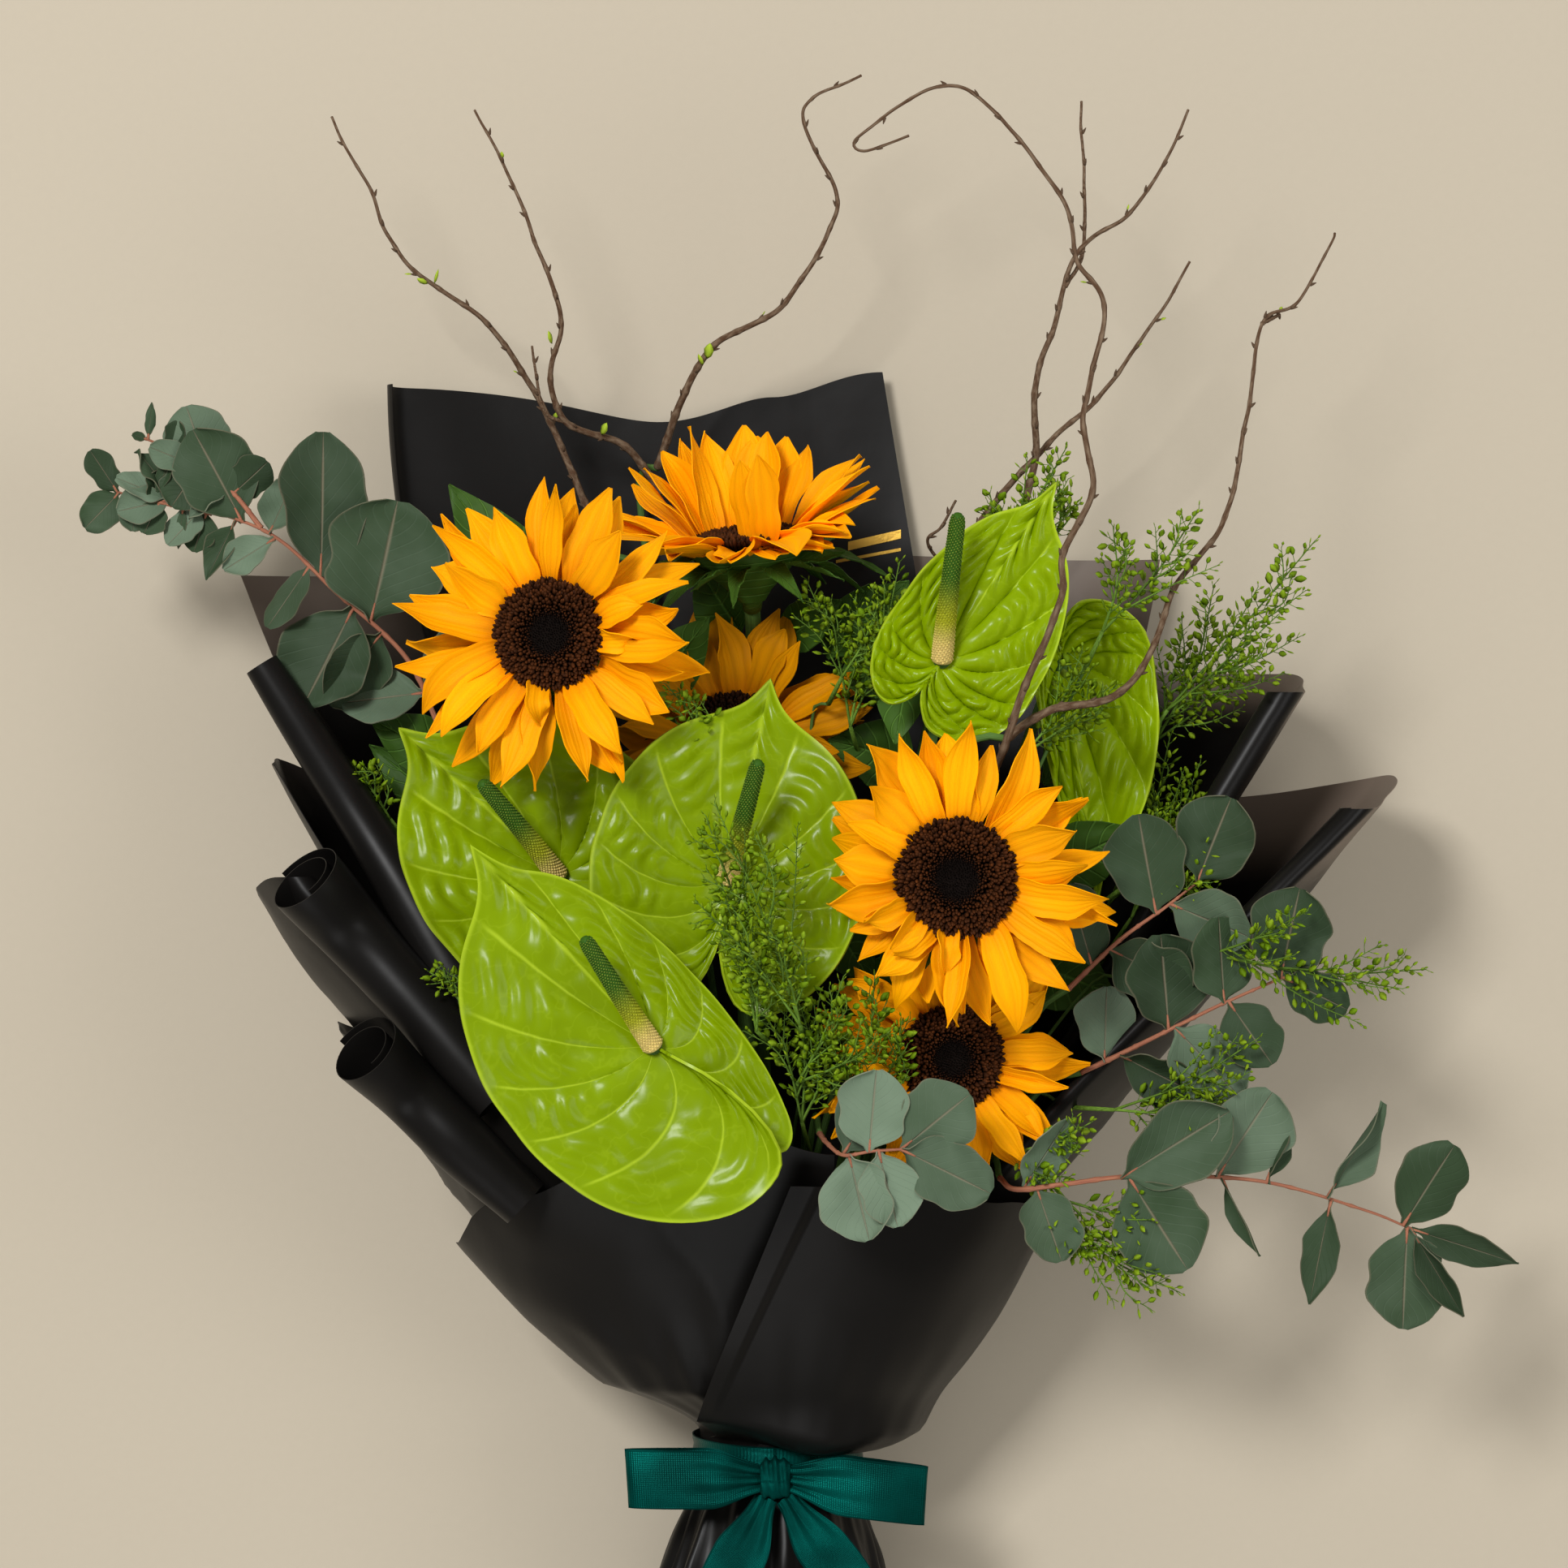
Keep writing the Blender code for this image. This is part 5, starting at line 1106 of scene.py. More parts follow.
def sheet_grid(sheet, number, rows, columns):
    """Fine middle surface of a sheet with its rolled first edge, and how thin it is at each point."""
    span = sheet["at_tie"][1] - sheet["at_tie"][0]
    depth = sizes().crumple * sheet.get("calm", 1)
    grid, thin = [], []
    for row in range(rows):
        line, faint = [], []
        up = row / (rows - 1)
        for column in range(columns + 1):
            share = column / columns
            rim = blend_list(sheet["rim"], share)
            height = -NECK_DEPTH + (rim + NECK_DEPTH) * up ** 1.25
            rise = max(0, height / rim)
            at_tie = sheet["at_tie"][0] + span * share
            at_rim = sheet["at_rim"][0] + (sheet["at_rim"][1] - sheet["at_rim"][0]) * share
            swing = rise ** (1 - (1 - sheet.get("swing", 1)) * max(0, 1 - 2 * share))
            angle = radians(at_tie + (at_rim - at_tie) * swing)
            point = sheet_point(sheet, angle, height)
            out = Vector((sin(angle), 0, cos(angle)))
            edge = min(1, share * 5, (1 - share) * 5)
            point = crumpled(point, out, angle, height, number, depth * (0.3 + 0.7 * edge))
            if share < sheet.get("hem", 0):
                point += out * HEM_RISE * eased(rise, 0.1, 0.4)
            line.append(point)
            faint.append(eased(rise, *sheet.get("thin", NOWHERE)))
            if column == 0:
                first = (angle, height, rise)
        if sheet.get("roll"):
            curl = rolled_edge(sheet, first, line, -copysign(1, span))
            line, faint = curl + line, [0.0] * len(curl) + faint
        grid.append(line)
        thin.append(faint)
    return np.array(grid), np.array(thin)


def rolled_edge(sheet, place_of_edge, line, way):
    """Points past a sheet's first edge, curled towards the blooms the more the nearer the rim."""
    angle, height, rise = place_of_edge
    turn_full, wide, starts = sheet["roll"]
    edge = line[0]
    along = (edge - line[1]).normalized()
    inwards = Vector((NECK.x, edge.y, CORE_HEIGHT)) - edge
    inwards = (inwards - along * inwards.dot(along)).normalized()
    radius = wide * (0.35 + 0.65 * rise)
    curl = min(1, rise / starts) ** 2
    points = []
    for step in range(ROLL_STEPS, 0, -1):
        turn = radians(turn_full) * (0.3 + 0.7 * rise) * step / ROLL_STEPS
        tight = radius * (1 - 0.25 * step / ROLL_STEPS)
        curled = edge + tight * (along * sin(turn) + inwards * (1 - cos(turn)))
        flat = sheet_point(sheet, angle + way * ROLL_STRIP / sheet["neck"] * step / ROLL_STEPS, height)
        points.append(flat.lerp(curled, curl))
    return points


def make_wrap():
    """The sheets of film, each with its inner side towards the blooms."""
    for number, (name, sheet) in enumerate(SHEETS.items()):
        span = sheet["at_tie"][1] - sheet["at_tie"][0]
        grid, thin = sheet_grid(sheet, number, SHEET_ROWS, max(24, round(abs(span) / SHEET_STEP)))
        if span < 0:
            grid, thin = grid[:, ::-1], thin[:, ::-1]
        body = Body()
        body.sheet(grid, FILM, None, number / len(SHEETS), thin)
        body.piece(name + "_film", ["film"], "wrap_film", [name])


def make_scrolls():
    """Film rolled up along a line and open at both ends, its edge wound inwards."""
    body = Body()
    for number, (route, ends) in enumerate(SCROLLS):
        path = smooth_path(route, SCROLL_ROWS)
        rows = []
        for index, (side, up) in enumerate(carried_sides(path, TOWARDS_EYE)):
            share = index / SCROLL_ROWS
            radius = ends[0] + (ends[1] - ends[0]) * share + 0.5 * sin(share * 9 + number)
            row = []
            for step in range(SCROLL_STEPS + 1):
                turn = radians(SCROLL_TURN * step / SCROLL_STEPS - SCROLL_START)
                reach = radius * (1 - SCROLL_WINDS_IN * step / SCROLL_STEPS)
                row.append(path[index] + (side * cos(turn) + up * sin(turn)) * float(reach))
            rows.append(row)
        body.sheet(rows, FILM, None, 0.3)
    body.piece("film_scrolls", ["film"], "wrap_film")


def seen_at(u, v, z):
    """Layout place of a point of the frame, u to the right and v down, at a height."""
    scale = PIXEL * (EYE_HEIGHT - z) / (EYE_HEIGHT - PIXEL_PLANE)
    return Vector(((u - FRAME_PIXELS / 2) * scale, (FRAME_PIXELS / 2 - v) * scale, z))


def make_bars():
    """Two plain gold bars printed on the high back sheet."""
    film = bpy.data.objects["wrap_back_high_film"].data
    points = [(vertex.co - SHIFT) / MM for vertex in film.vertices]
    tree = BVHTree.FromPolygons(points, [tuple(face.vertices) for face in film.polygons])
    eye = Vector((0, 0, EYE_HEIGHT))
    body = Body()
    for start, end, half in BARS:
        lines = []
        for step in range(BAR_STEPS + 1):
            u, v = (a + (b - a) * step / BAR_STEPS for a, b in zip(start, end))
            row = []
            for side in (-1, 1):
                target = seen_at(u, v + side * half / PIXEL, 0)
                hit = tree.ray_cast(eye, (target - eye).normalized())[0]
                if hit is None:
                    raise RuntimeError(f"a gold bar leaves the sheet at {u:.0f}, {v:.0f}")
                row.append(hit + Vector((0, 0, BAR_LIFT)))
            lines.append(row)
        body.sheet(lines, BAR_THICKNESS)
    body.piece("gold_bars", ["gold"], "wrap_film")


def hoop(rings, wall, chance, wound):
    """A closed band about the neck: rings of points and the same rings drawn in by its wall.

    A wound band's length runs round the neck; the other kind's length runs from ring to ring.
    """
    outer = np.array(rings)
    middle = outer * (0, 1, 0) + (NECK.x, 0, NECK.z)
    inner = outer - unit(outer - middle) * wall
    rows, count = outer.shape[:2]
    at = np.arange(2 * rows * count).reshape(2 * rows, count)
    below = np.roll(at, -1, axis=0)
    corners = [at, below, np.roll(below, -1, axis=1), np.roll(at, -1, axis=1)]
    down = np.repeat(np.concatenate([np.linspace(0, 1, rows), np.linspace(1, 0, rows)]), count)
    around = np.tile(np.arange(count) / count, 2 * rows)
    shares = [down, around]
    if wound:
        corners, shares = [corners[corner] for corner in (0, 3, 2, 1)], [around, down]
    body = Body()
    body.add(np.concatenate([outer, inner[::-1]]), np.stack(corners, -1).reshape(-1, 4),
             np.stack([*shares, np.full(len(down), chance), np.zeros(len(down))], -1))
    return body


def make_foot():
    """The gathered foot: an outer and an inner film with sharp irregular folds, joined at both ends."""
    chances = random.Random(FOOT_SEED)
    waves = [(chances.randint(5, 26), chances.uniform(0, 6.3), chances.uniform(0.3, 1.0)) for _ in range(9)]
    total = sum(weight for _, _, weight in waves)
    reach = [FOOT_REACH[way] for way in ("left", "right", "back", "front")]
    rings = []
    for row in range(FOOT_ROWS):
        share = row / (FOOT_ROWS - 1)
        y = FOOT_TOP + (FOOT_END - FOOT_TOP) * share
        spread = max(0, (FOOT_STRAIGHT - y) / (FOOT_STRAIGHT - FOOT_END)) ** FOOT_FLARE
        ring = []
        for turn in ring_turns(FOOT_STEPS):
            fold = FOOT_FOLD_DEPTH * (0.5 - 0.5 * cos(FOOT_FOLDS * turn))
            crinkle = sum(weight * (1 - 2 * abs(sin(count * turn / 2 + phase + 0.5 * share)))
                          for count, phase, weight in waves) / total
            radius = FOOT_NECK + (wrap_radius(turn, *reach) - fold - FOOT_NECK) * spread
            radius += crinkle * (1.2 + 11 * spread) - 0.6 * spread
            radius += noise.noise(Vector((cos(turn) * 4, sin(turn) * 4, y / 18))) * 3.2 * spread
            z = max(FOOT_REST - NECK.z, radius * cos(turn))
            ring.append((NECK.x + radius * sin(turn), y, NECK.z + z))
        rings.append(ring)
    hoop(rings, FOOT_WALL, 0.4, False).piece("wrap_foot_film", ["film"], "wrap_film", ["wrap_foot"])


# ---- ribbon -------------------------------------------------------------------------------------
def make_ribbon():
    rings = []
    for row in range(BAND_ROWS):
        share = row / (BAND_ROWS - 1)
        ring = []
        for turn in ring_turns(BAND_STEPS):
            y = BAND_Y[0] + (BAND_Y[1] - BAND_Y[0]) * share - BAND_SLANT * sin(turn) * 0.5
            crease = 0.45 * sin(share * 15 + 1.2 * sin(turn * 2))
            radius = BAND_RADIUS + RIBBON / 2 + 0.6 + crease
            ring.append((NECK.x + radius * sin(turn), y, NECK.z + radius * cos(turn)))
        rings.append(ring)
    hoop(rings, RIBBON, 0, True).piece("ribbon_band_satin", ["satin"], "ribbon", ["ribbon_band"])
    loops = {name: bow_loop(end) for name, end in LOOPS.items()}
    tails = {name: tail(smooth_path(route, 30)) for name, route in TAILS.items()}
    for name, (grid, shares) in {**loops, **tails}.items():
        body = Body()
        body.sheet(grid, RIBBON, shares)
        body.piece(name + "_satin", ["satin"], "ribbon", [name])
    make_knot()


def bow_loop(end):
    """A ribbon that leaves the knot in pleats, turns round at its end and comes back underneath."""
    way = 1 if end.x > KNOT.x else -1
    start = KNOT + Vector((way * KNOT_SIZE[0] * 0.7, 0, 0))
    out = Vector((end.x - start.x, end.y - start.y, 0))
    path = smooth_path([(share, height, 0) for share, height in LOOP_COURSE], 90)
    cross = 1 - np.linspace(0, 2, LOOP_COLUMNS)
    grid, along = [], [0.0]
    for index, (share, height, _) in enumerate(path):
        if index:
            before = path[index - 1]
            along.append(along[-1] + hypot((share - before.x) * out.length, height - before.y))
        half = LOOP_WIDTH / 2 * (0.40 + 0.60 * eased(share, -0.05, 0.42))
        pleat = 1.5 * np.cos(cross * 8.5 + 0.8) * (1 - eased(share, 0.05, 0.6))
        bow = -1.0 * cross ** 2 * copysign(1, height) * eased(share, 0.2, 0.9)
        row = np.array(start + out * share) + np.stack([way * cross * 0.9 * share, cross * half,
                                                       height + pleat + bow], -1)
        grid.append(row if way > 0 else row[::-1])
    return grid, (np.array(along)[:, None] / 150, even_shares(1, LOOP_COLUMNS)[1])


def tail(path):
    """A ribbon end that widens from the knot and has a slanting cut."""
    grid = []
    for index, (side, up) in enumerate(carried_sides(path, (1, 0, 0))):
        share = index / (len(path) - 1)
        half = TAIL_WIDTH / 2 * (0.42 + 0.58 * eased(share, 0, 0.38))
        row = []
        for column in range(TAIL_COLUMNS):
            cross = 2 * column / (TAIL_COLUMNS - 1) - 1
            pleat = 1.2 * cos(cross * 7.5) * (1 - eased(share, 0.0, 0.5))
            curl = 1.6 * cross * sin(share * 5.0)
            slant = Vector((0, -4.5 * (cross + 1), 0)) * eased(share, 0.9, 1.0)
            row.append(path[index] + side * cross * half - up * (pleat + curl) + slant)
        grid.append(row)
    along, over = even_shares(len(path), TAIL_COLUMNS)
    return grid, (along * 0.8, over)


def make_knot():
    """The gathered ribbon round the middle of the bow: a pinched band with lengthwise folds."""
    points, place = [], []
    for row in range(KNOT_ROWS):
        over = row / (KNOT_ROWS - 1)
        cross = 2 * over - 1
        swell = 1 - 0.20 * cross ** 2 + 0.06 * cos(cross * 9)
        for turn in ring_turns(KNOT_STEPS):
            radius = swell * (1 + 0.06 * sin(cross * 11 + 2.2 * sin(turn)))
            points.append(KNOT + Vector((cross * KNOT_SIZE[0] * 0.8, sin(turn) * KNOT_SIZE[1] * 0.95 * radius,
                                         cos(turn) * KNOT_SIZE[2] * 1.05 * radius)))
            place.append((turn / tau, 0.1 + 0.8 * over, 0, 0))
    pole = Vector((KNOT_SIZE[0] * 0.6, 0, 0))
    points += [KNOT - pole, KNOT + pole]
    place += [(0, 0.1, 0, 0), (0, 0.9, 0, 0)]
    body = Body()
    body.add(points, limb_faces(KNOT_ROWS, KNOT_STEPS, flip=True), place)
    body.piece("bow_knot_satin", ["satin"], "ribbon", ["bow_knot"])


# ---- stems --------------------------------------------------------------------------------------
def stem_arrival(spec):
    """The way that a sunflower's stem arrives: along the head's axis unless it is given."""
    return Vector(spec.get("arrival", spec["faces"])).normalized()


def spathe_normal(spec):
    along = (Vector(spec["tip"]) - Vector(spec["foot"])).normalized()
    normal = Vector(spec["faces"])
    return (normal - along * normal.dot(along)).normalized()


def carried_ends():
    """Where each stem ends, the direction in which it arrives there, and what it passes by."""
    ends = []
    for spec in SUNFLOWERS.values():
        axis, arrival = Vector(spec["faces"]).normalized(), stem_arrival(spec)
        base = Vector(spec["centre"]) - axis * HEAD_DEPTH * spec["size"]
        ends.append(("sunflower", base - arrival * HEAD_NECK, arrival, spec.get("by")))
    for spec in ANTHURIUMS.values():
        normal = spathe_normal(spec)
        ends.append(("anthurium", Vector(spec["foot"]) - normal * KNOB, normal, spec.get("by")))
    for kind, table in (("eucalyptus", EUCALYPTUS), ("willow", WILLOW), ("cress", CRESS)):
        for spec in table.values():
            route = dict(eucalyptus=lambda: spec["route"], willow=lambda: spec[0], cress=lambda: spec)[kind]()
            first, second = route[:2]
            first, second = Vector(first), Vector(second)
            ends.append((kind, first, (second - first).normalized(), None))
    return ends


def stem_route(end, arrival, by, slot, slots):
    """From a cut end through the tie to a bloom or spray, which it meets from behind."""
    turn = slot * GOLDEN
    out = BUNDLE_RADIUS * sqrt((slot + 0.5) / slots)
    offset = Vector((out * sin(turn), 0, out * cos(turn)))
    foot = Vector((NECK.x, STEM_END, NECK.z)) - offset * 1.15
    low = Vector((NECK.x, NECK.y - 24, NECK.z)) - offset
    high = Vector((NECK.x, NECK.y, NECK.z)) + offset
    bend = end - arrival * STEM_LEG
    middle = Vector(by) if by else high.lerp(bend, 0.5) + Vector((0, 0, 4))
    return [foot, low, high, middle, bend, end]


def make_stems():
    """Stems with their cut ends, and the twine that binds them."""
    body = Body()
    carried = carried_ends()
    for slot, (kind, end, arrival, by) in enumerate(carried):
        radius = STEM_RADII[kind] * (0.6 if kind == "cress" else 0.95)
        path = smooth_path(stem_route(end, arrival, by, slot, len(carried)), STEM_ROWS)
        radii = [radius * (1 - 0.2 * index / STEM_ROWS) * (1 + 0.05 * sin(index * 0.9 + slot))
                 for index in range(STEM_ROWS + 1)]
        body.tube(path, radii, 10 if radius > 3 else 7, (slot * 0.37) % 1)
        way = (path[0] - path[1]).normalized()
        body.tube([path[0] + way * 0.2, path[0] + way * 1.0], radius * 0.93, 10, 0.5, kind=1)
    for coil in range(COILS):
        y = NECK.y - 25 + coil * COIL_STEP
        ring = [Vector((NECK.x + BINDING * sin(turn), y + COIL_STEP * turn / tau,
                        NECK.z + BINDING * cos(turn))) for turn in [*ring_turns(48), tau]]
        body.tube(ring, TWINE, 6, kind=2)
    body.piece("stem_bundle", ["stem", "cut", "twine"], "stem", ["stems"])


# ---- leaves and petals --------------------------------------------------------------------------
def blade_grid(path, faces, half_width, profile, columns, cup=0.0, wave=0.0, waves=3.0, phase=0.0,
               groove=0.0, twist=0.0, ragged=0.0):
    """Middle surface of a leaf or petal: along a path, as wide as the profile says.

    The profile is (share along, share of the half width) pairs.
    """
    hint = (path[1] - path[0]).cross(Vector(faces)) * -1
    shares = np.linspace(0, 1, len(path))
    widths = np.interp(shares, [p[0] for p in profile], [p[1] for p in profile]) * half_width
    cross = np.linspace(-1, 1, columns)
    rows = []
    for (side, up), point, width, share in zip(carried_sides(path, hint), path, widths, shares):
        turn = twist * share
        side, up = side * cos(turn) + up * sin(turn), up * cos(turn) - side * sin(turn)
        rise = (cup * np.abs(cross) ** 1.5 * width / half_width
                + wave * np.abs(cross) ** 1.5 * np.sin(waves * tau * share + phase + 1.7 * cross)
                - groove * np.cos(cross * 3 * pi) * sin(pi * min(1, share * 1.2)))
        rough = [1 + ragged * noise.noise(Vector((share * 3.5, way, phase))) for way in (7, 19)]
        spread = cross * width * np.where(cross < 0, *rough)
        rows.append(np.array(point) + np.outer(spread, side) + np.outer(rise, up))
    grid = np.array(rows)
    return grid, (shares[:, None], (cross[None, :] + 1) / 2)


PETAL_PROFILE = [(0, 0.42), (0.10, 0.60), (0.25, 0.84), (0.42, 0.98), (0.55, 1.0), (0.68, 0.90),
                 (0.79, 0.68), (0.88, 0.42), (0.95, 0.20), (1.0, 0.03)]
BROAD_PROFILE = [(0, 0.42), (0.12, 0.62), (0.30, 0.88), (0.50, 1.0), (0.66, 0.97), (0.80, 0.77),
                 (0.90, 0.48), (0.96, 0.24), (1.0, 0.05)]
BRACT_PROFILE = [(0, 0.9), (0.2, 1.0), (0.5, 0.72), (0.8, 0.34), (1.0, 0.03)]


def petal_path(root, axis, out, lift, drop, length, pieces, arch=0.25):
    """Middle line of a ray petal that rises from the disc's rim by the lift and arches over."""
    path = []
    for share in np.linspace(0, 1, pieces):
        climb = sin(radians(lift)) * share - arch * share ** 2
        reach = cos(radians(lift)) * share
        path.append(root + (out * reach + axis * climb) * length - Vector((0, 1, 0)) * drop * share ** 2)
    return path


def add_petal(body, path, axis, half, chances, shade=0.0, calm=1.0, profile=PETAL_PROFILE):
    """One ray petal with its lengthwise grooves, a curl to one side and a tip that turns."""
    long = (path[-1] - path[0]).length
    side = (path[-1] - path[0]).normalized().cross(axis).normalized()
    curl = chances.gauss(0, 0.14) * calm * long
    dip = chances.uniform(-0.08, 0.16) * long
    hook = chances.choice((0, 0, 0, -0.3, 0.3, 0.4)) * calm * long
    reach = len(path) - 1
    path = [point + side * curl * (i / reach) ** 2 + Vector(axis) * (dip * (i / reach) ** 3
            + hook * max(0, i / reach - 0.6) ** 2 * 4) for i, point in enumerate(path)]
    grid, shares = blade_grid(path, axis, half, profile, 9, cup=chances.uniform(-0.8, 4.4),
                              wave=chances.uniform(0.3, 1.5), waves=chances.uniform(0.7, 1.6), ragged=0.3,
                              phase=chances.uniform(0, 6), groove=0.42, twist=chances.gauss(0, 0.62) * calm)
    body.sheet(grid, PETAL, shares, chances.random(), shade)


def disc_height(share):
    """Height of the disc's dome over its rim, by the share of the way out from its middle."""
    return 5.2 - 2.6 * exp(-(share / 0.30) ** 2) - 4.6 * share ** 5


def make_sunflower(name, spec):
    chances = random.Random(name)
    axis = Vector(spec["faces"]).normalized()
    make_petals(name, spec, axis, chances)
    make_disc(name, spec, axis)
    make_florets(name, spec, axis, chances)
    make_head(name, spec, axis, chances)


def make_petals(name, spec, axis, chances):
    """Three rings of ray petals, and a few that curl up over the disc."""
    centre, size, shade = Vector(spec["centre"]), spec["size"], spec.get("shade", 0.0)
    given, petals, hangs = sizes(), Body(), spec.get("hangs")
    full, full_half = given.petal_length * size, given.petal_half_width * size
    inner, outer = spec["lift"]
    rings = ((inner, given.petals, 1), (outer, given.petals - 1, 1.02), (outer - 8, 7, 0.98))
    for row, (lift, count, longer) in enumerate(rings):
        for number in range(count):
            out = beside(axis, tau * (number + 0.5 * row + chances.uniform(-0.28, 0.28)) / count)
            long = full * chances.uniform(0.82, 1.12) * longer
            long *= 1 - 0.28 * max(0, out.dot(Vector(spec.get("short", (0, 0, 0)))))
            half = full_half * chances.uniform(0.70, 1.35)
            far = max(0, -out.z)
            lean = lift + chances.uniform(-11, 11) + spec.get("far", 0) * far
            root = centre + out * 19 * size - axis * (1.5 + 2.6 * row)
            drop, arch, calm, profile = 0, 0.25, 1, PETAL_PROFILE
            if hangs and row == 0 and out.z > UPRIGHT:
                lean, arch, calm, profile = 78, 0.05, 0, BROAD_PROFILE
                half, long = full_half * 1.12, full * 0.82
                root.x += UPRIGHT_SHIFT
            elif hangs and out.z > NEAR_SIDE:
                lean, drop = 36 - 18 * out.z, HANG * out.z * chances.uniform(0.5, 0.95)
                long, half, calm = long * 0.8, half * 1.3, 0.4
            elif hangs:
                arch, calm, profile = 0.25 - 0.22 * far, 0.5 - 0.3 * far, BROAD_PROFILE
                half = max(half, given.petal_half_width) * (0.95 + 0.22 * far)
                long = full * chances.uniform(0.98, 1.16)
            path = petal_path(root, axis, out, lean, drop, long, PETAL_ROWS, arch)
            add_petal(petals, path, axis, half, chances, shade, calm, profile)
    for degrees in spec.get("curled", ()):
        out = beside(axis, radians(degrees))
        path = petal_path(centre + out * 20 * size, axis, out, 50, 0, full * chances.uniform(0.60, 0.78),
                          PETAL_ROWS, chances.uniform(0.45, 0.65))
        add_petal(petals, path, axis, full_half * 0.85, chances, shade, calm=1.6)
    petals.piece(name + "_petals", ["petal"], "sunflower", [name])


def make_disc(name, spec, axis):
    """The ground between the florets: a shallow dome, and its underside."""
    centre, size = Vector(spec["centre"]), spec["size"]
    seen, dome = spec.get("disc", 1.0), spec.get("dome", 1.0)
    points = [centre + axis * ((disc_height(share) * dome - 1.2 if low == 0 else 0) + low) * size
              + beside(axis, turn) * share * (DISC - 1) * seen * size
              for share, low in DISC_RINGS for turn in ring_turns(DISC_SIDES)]
    points += [centre + axis * (disc_height(0) * dome - 1.2) * size, centre - axis * 6 * size]
    ground = Body()
    ground.add(points, limb_faces(len(DISC_RINGS), DISC_SIDES, flip=True), (0, 0, 0.5, 0))
    ground.piece(name + "_disc", ["disc"], "sunflower")


def make_florets(name, spec, axis, chances):
    """Florets that turn by the golden angle: low in the middle, open and tipped further out."""
    centre, size, dome = Vector(spec["centre"]), spec["size"], spec.get("dome", 1.0)
    # painted shade: a shaded head's floret tips are painted darker by its shade
    lit = 1 - spec.get("shade", 0.0)
    spots, reach = [], DISC * spec.get("disc", 1.0) * size
    count = int(pi * reach ** 2 / (sizes().floret_step ** 2 * 0.82))
    for number in range(count):
        share = sqrt((number + 0.5) / count)
        out = beside(axis, number * GOLDEN)
        tilt = 0.9 * share ** 3 - 0.35 * exp(-((share - 0.45) / 0.12) ** 2)
        tall = 0.40 + 0.9 * eased(share, 0.35, 0.75)
        root = centre + out * share * reach + axis * (disc_height(share) * dome - 1.4) * size
        tip = eased(share, 0.30, 0.62) * (0.55 + 0.45 * chances.random()) * (1 - 0.35 * eased(share, 0.9, 1))
        way = axis + out * tilt + beside(axis, chances.uniform(0, 6.3)) * 0.16
        spots.append((root, way, tall, chances.random(), tip * lit))
    strew(name + "_florets", spots, cone_shape(5, FLORET), FLORET_SIZE, "floret",
          spread=0.18)


def make_head(name, spec, axis, chances):
    """The green back of the head, the stem's top and two rings of bracts."""
    centre, size, shade = Vector(spec["centre"]), spec["size"], spec.get("shade", 0.0)
    green = Body()
    rows = [[centre + axis * height * size + beside(axis, -tau * j / HEAD_SIDES) * radius * size
             for j in range(HEAD_SIDES + 1)] for radius, height in HEAD_PROFILE]
    along = even_shares(len(rows), 1)[0]
    green.sheet(rows, 0.8, (along, np.full((1, HEAD_SIDES + 1), 0.3)), 0.2, shade)
    base = centre - axis * HEAD_DEPTH * size
    green.tube([base + axis * 6, base, base - stem_arrival(spec) * (HEAD_NECK - 1)], (6.5, 5, 4.4), 14, 0.3)
    for row, full in enumerate(BRACT_LENGTHS):
        for number in range(BRACTS):
            out = beside(axis, tau * (number + 0.5 * row + chances.uniform(-0.2, 0.2)) / BRACTS)
            if spec.get("hangs") and out.z > 0.2 and row == 0:
                continue
            root = centre + out * (21 - 4 * row) * size - axis * (5.0 + 4.5 * row) * size
            long = full * size * chances.uniform(0.8, 1.15) * spec.get("bracts", 1.0)
            bend = chances.uniform(-0.55, 0.25)
            path = [root + (out * share * 0.95 + axis * (bend * share ** 2 - 0.10 * share)) * long
                    for share in np.linspace(0, 1, 10)]
            grid, shares = blade_grid(path, axis, BRACT_HALF * size, BRACT_PROFILE, 7, cup=1.6, wave=0.7,
                                      phase=chances.uniform(0, 6), twist=chances.uniform(-1.2, 1.2))
            green.sheet(grid, GREEN_LEAF, shares, chances.random(), shade)
    green.piece(name + "_bracts", ["leaf"], "stem", [name])


# ---- anthuriums ---------------------------------------------------------------------------------
def heart_reach(degrees, sinus):
    """The outline's reach at an angle from the tip, smoothly through the table, with a drip tip."""
    table = np.array([*SPATHE_OUTLINE[:-1], (180, sinus)])
    fine = np.linspace(0, 180, 361)
    reach = np.interp(fine, table[:, 0], table[:, 1])
    window = np.exp(-0.5 * (np.arange(-20, 21) / 8.0) ** 2)
    padded = np.concatenate([reach[20:0:-1], reach, reach[-2:-22:-1]])
    smooth = np.convolve(padded, window / window.sum(), "valid")
    mixed = smooth + (reach - smooth) * eased_array(fine, 170, 180)
    mixed = mixed + 0.15 * np.exp(-(fine / 3.2) ** 1.2)
    return np.interp(degrees, fine, mixed)


def eased_array(value, low, high):
    share = np.clip((value - low) / (high - low), 0, 1)
    return share * share * (3 - 2 * share)


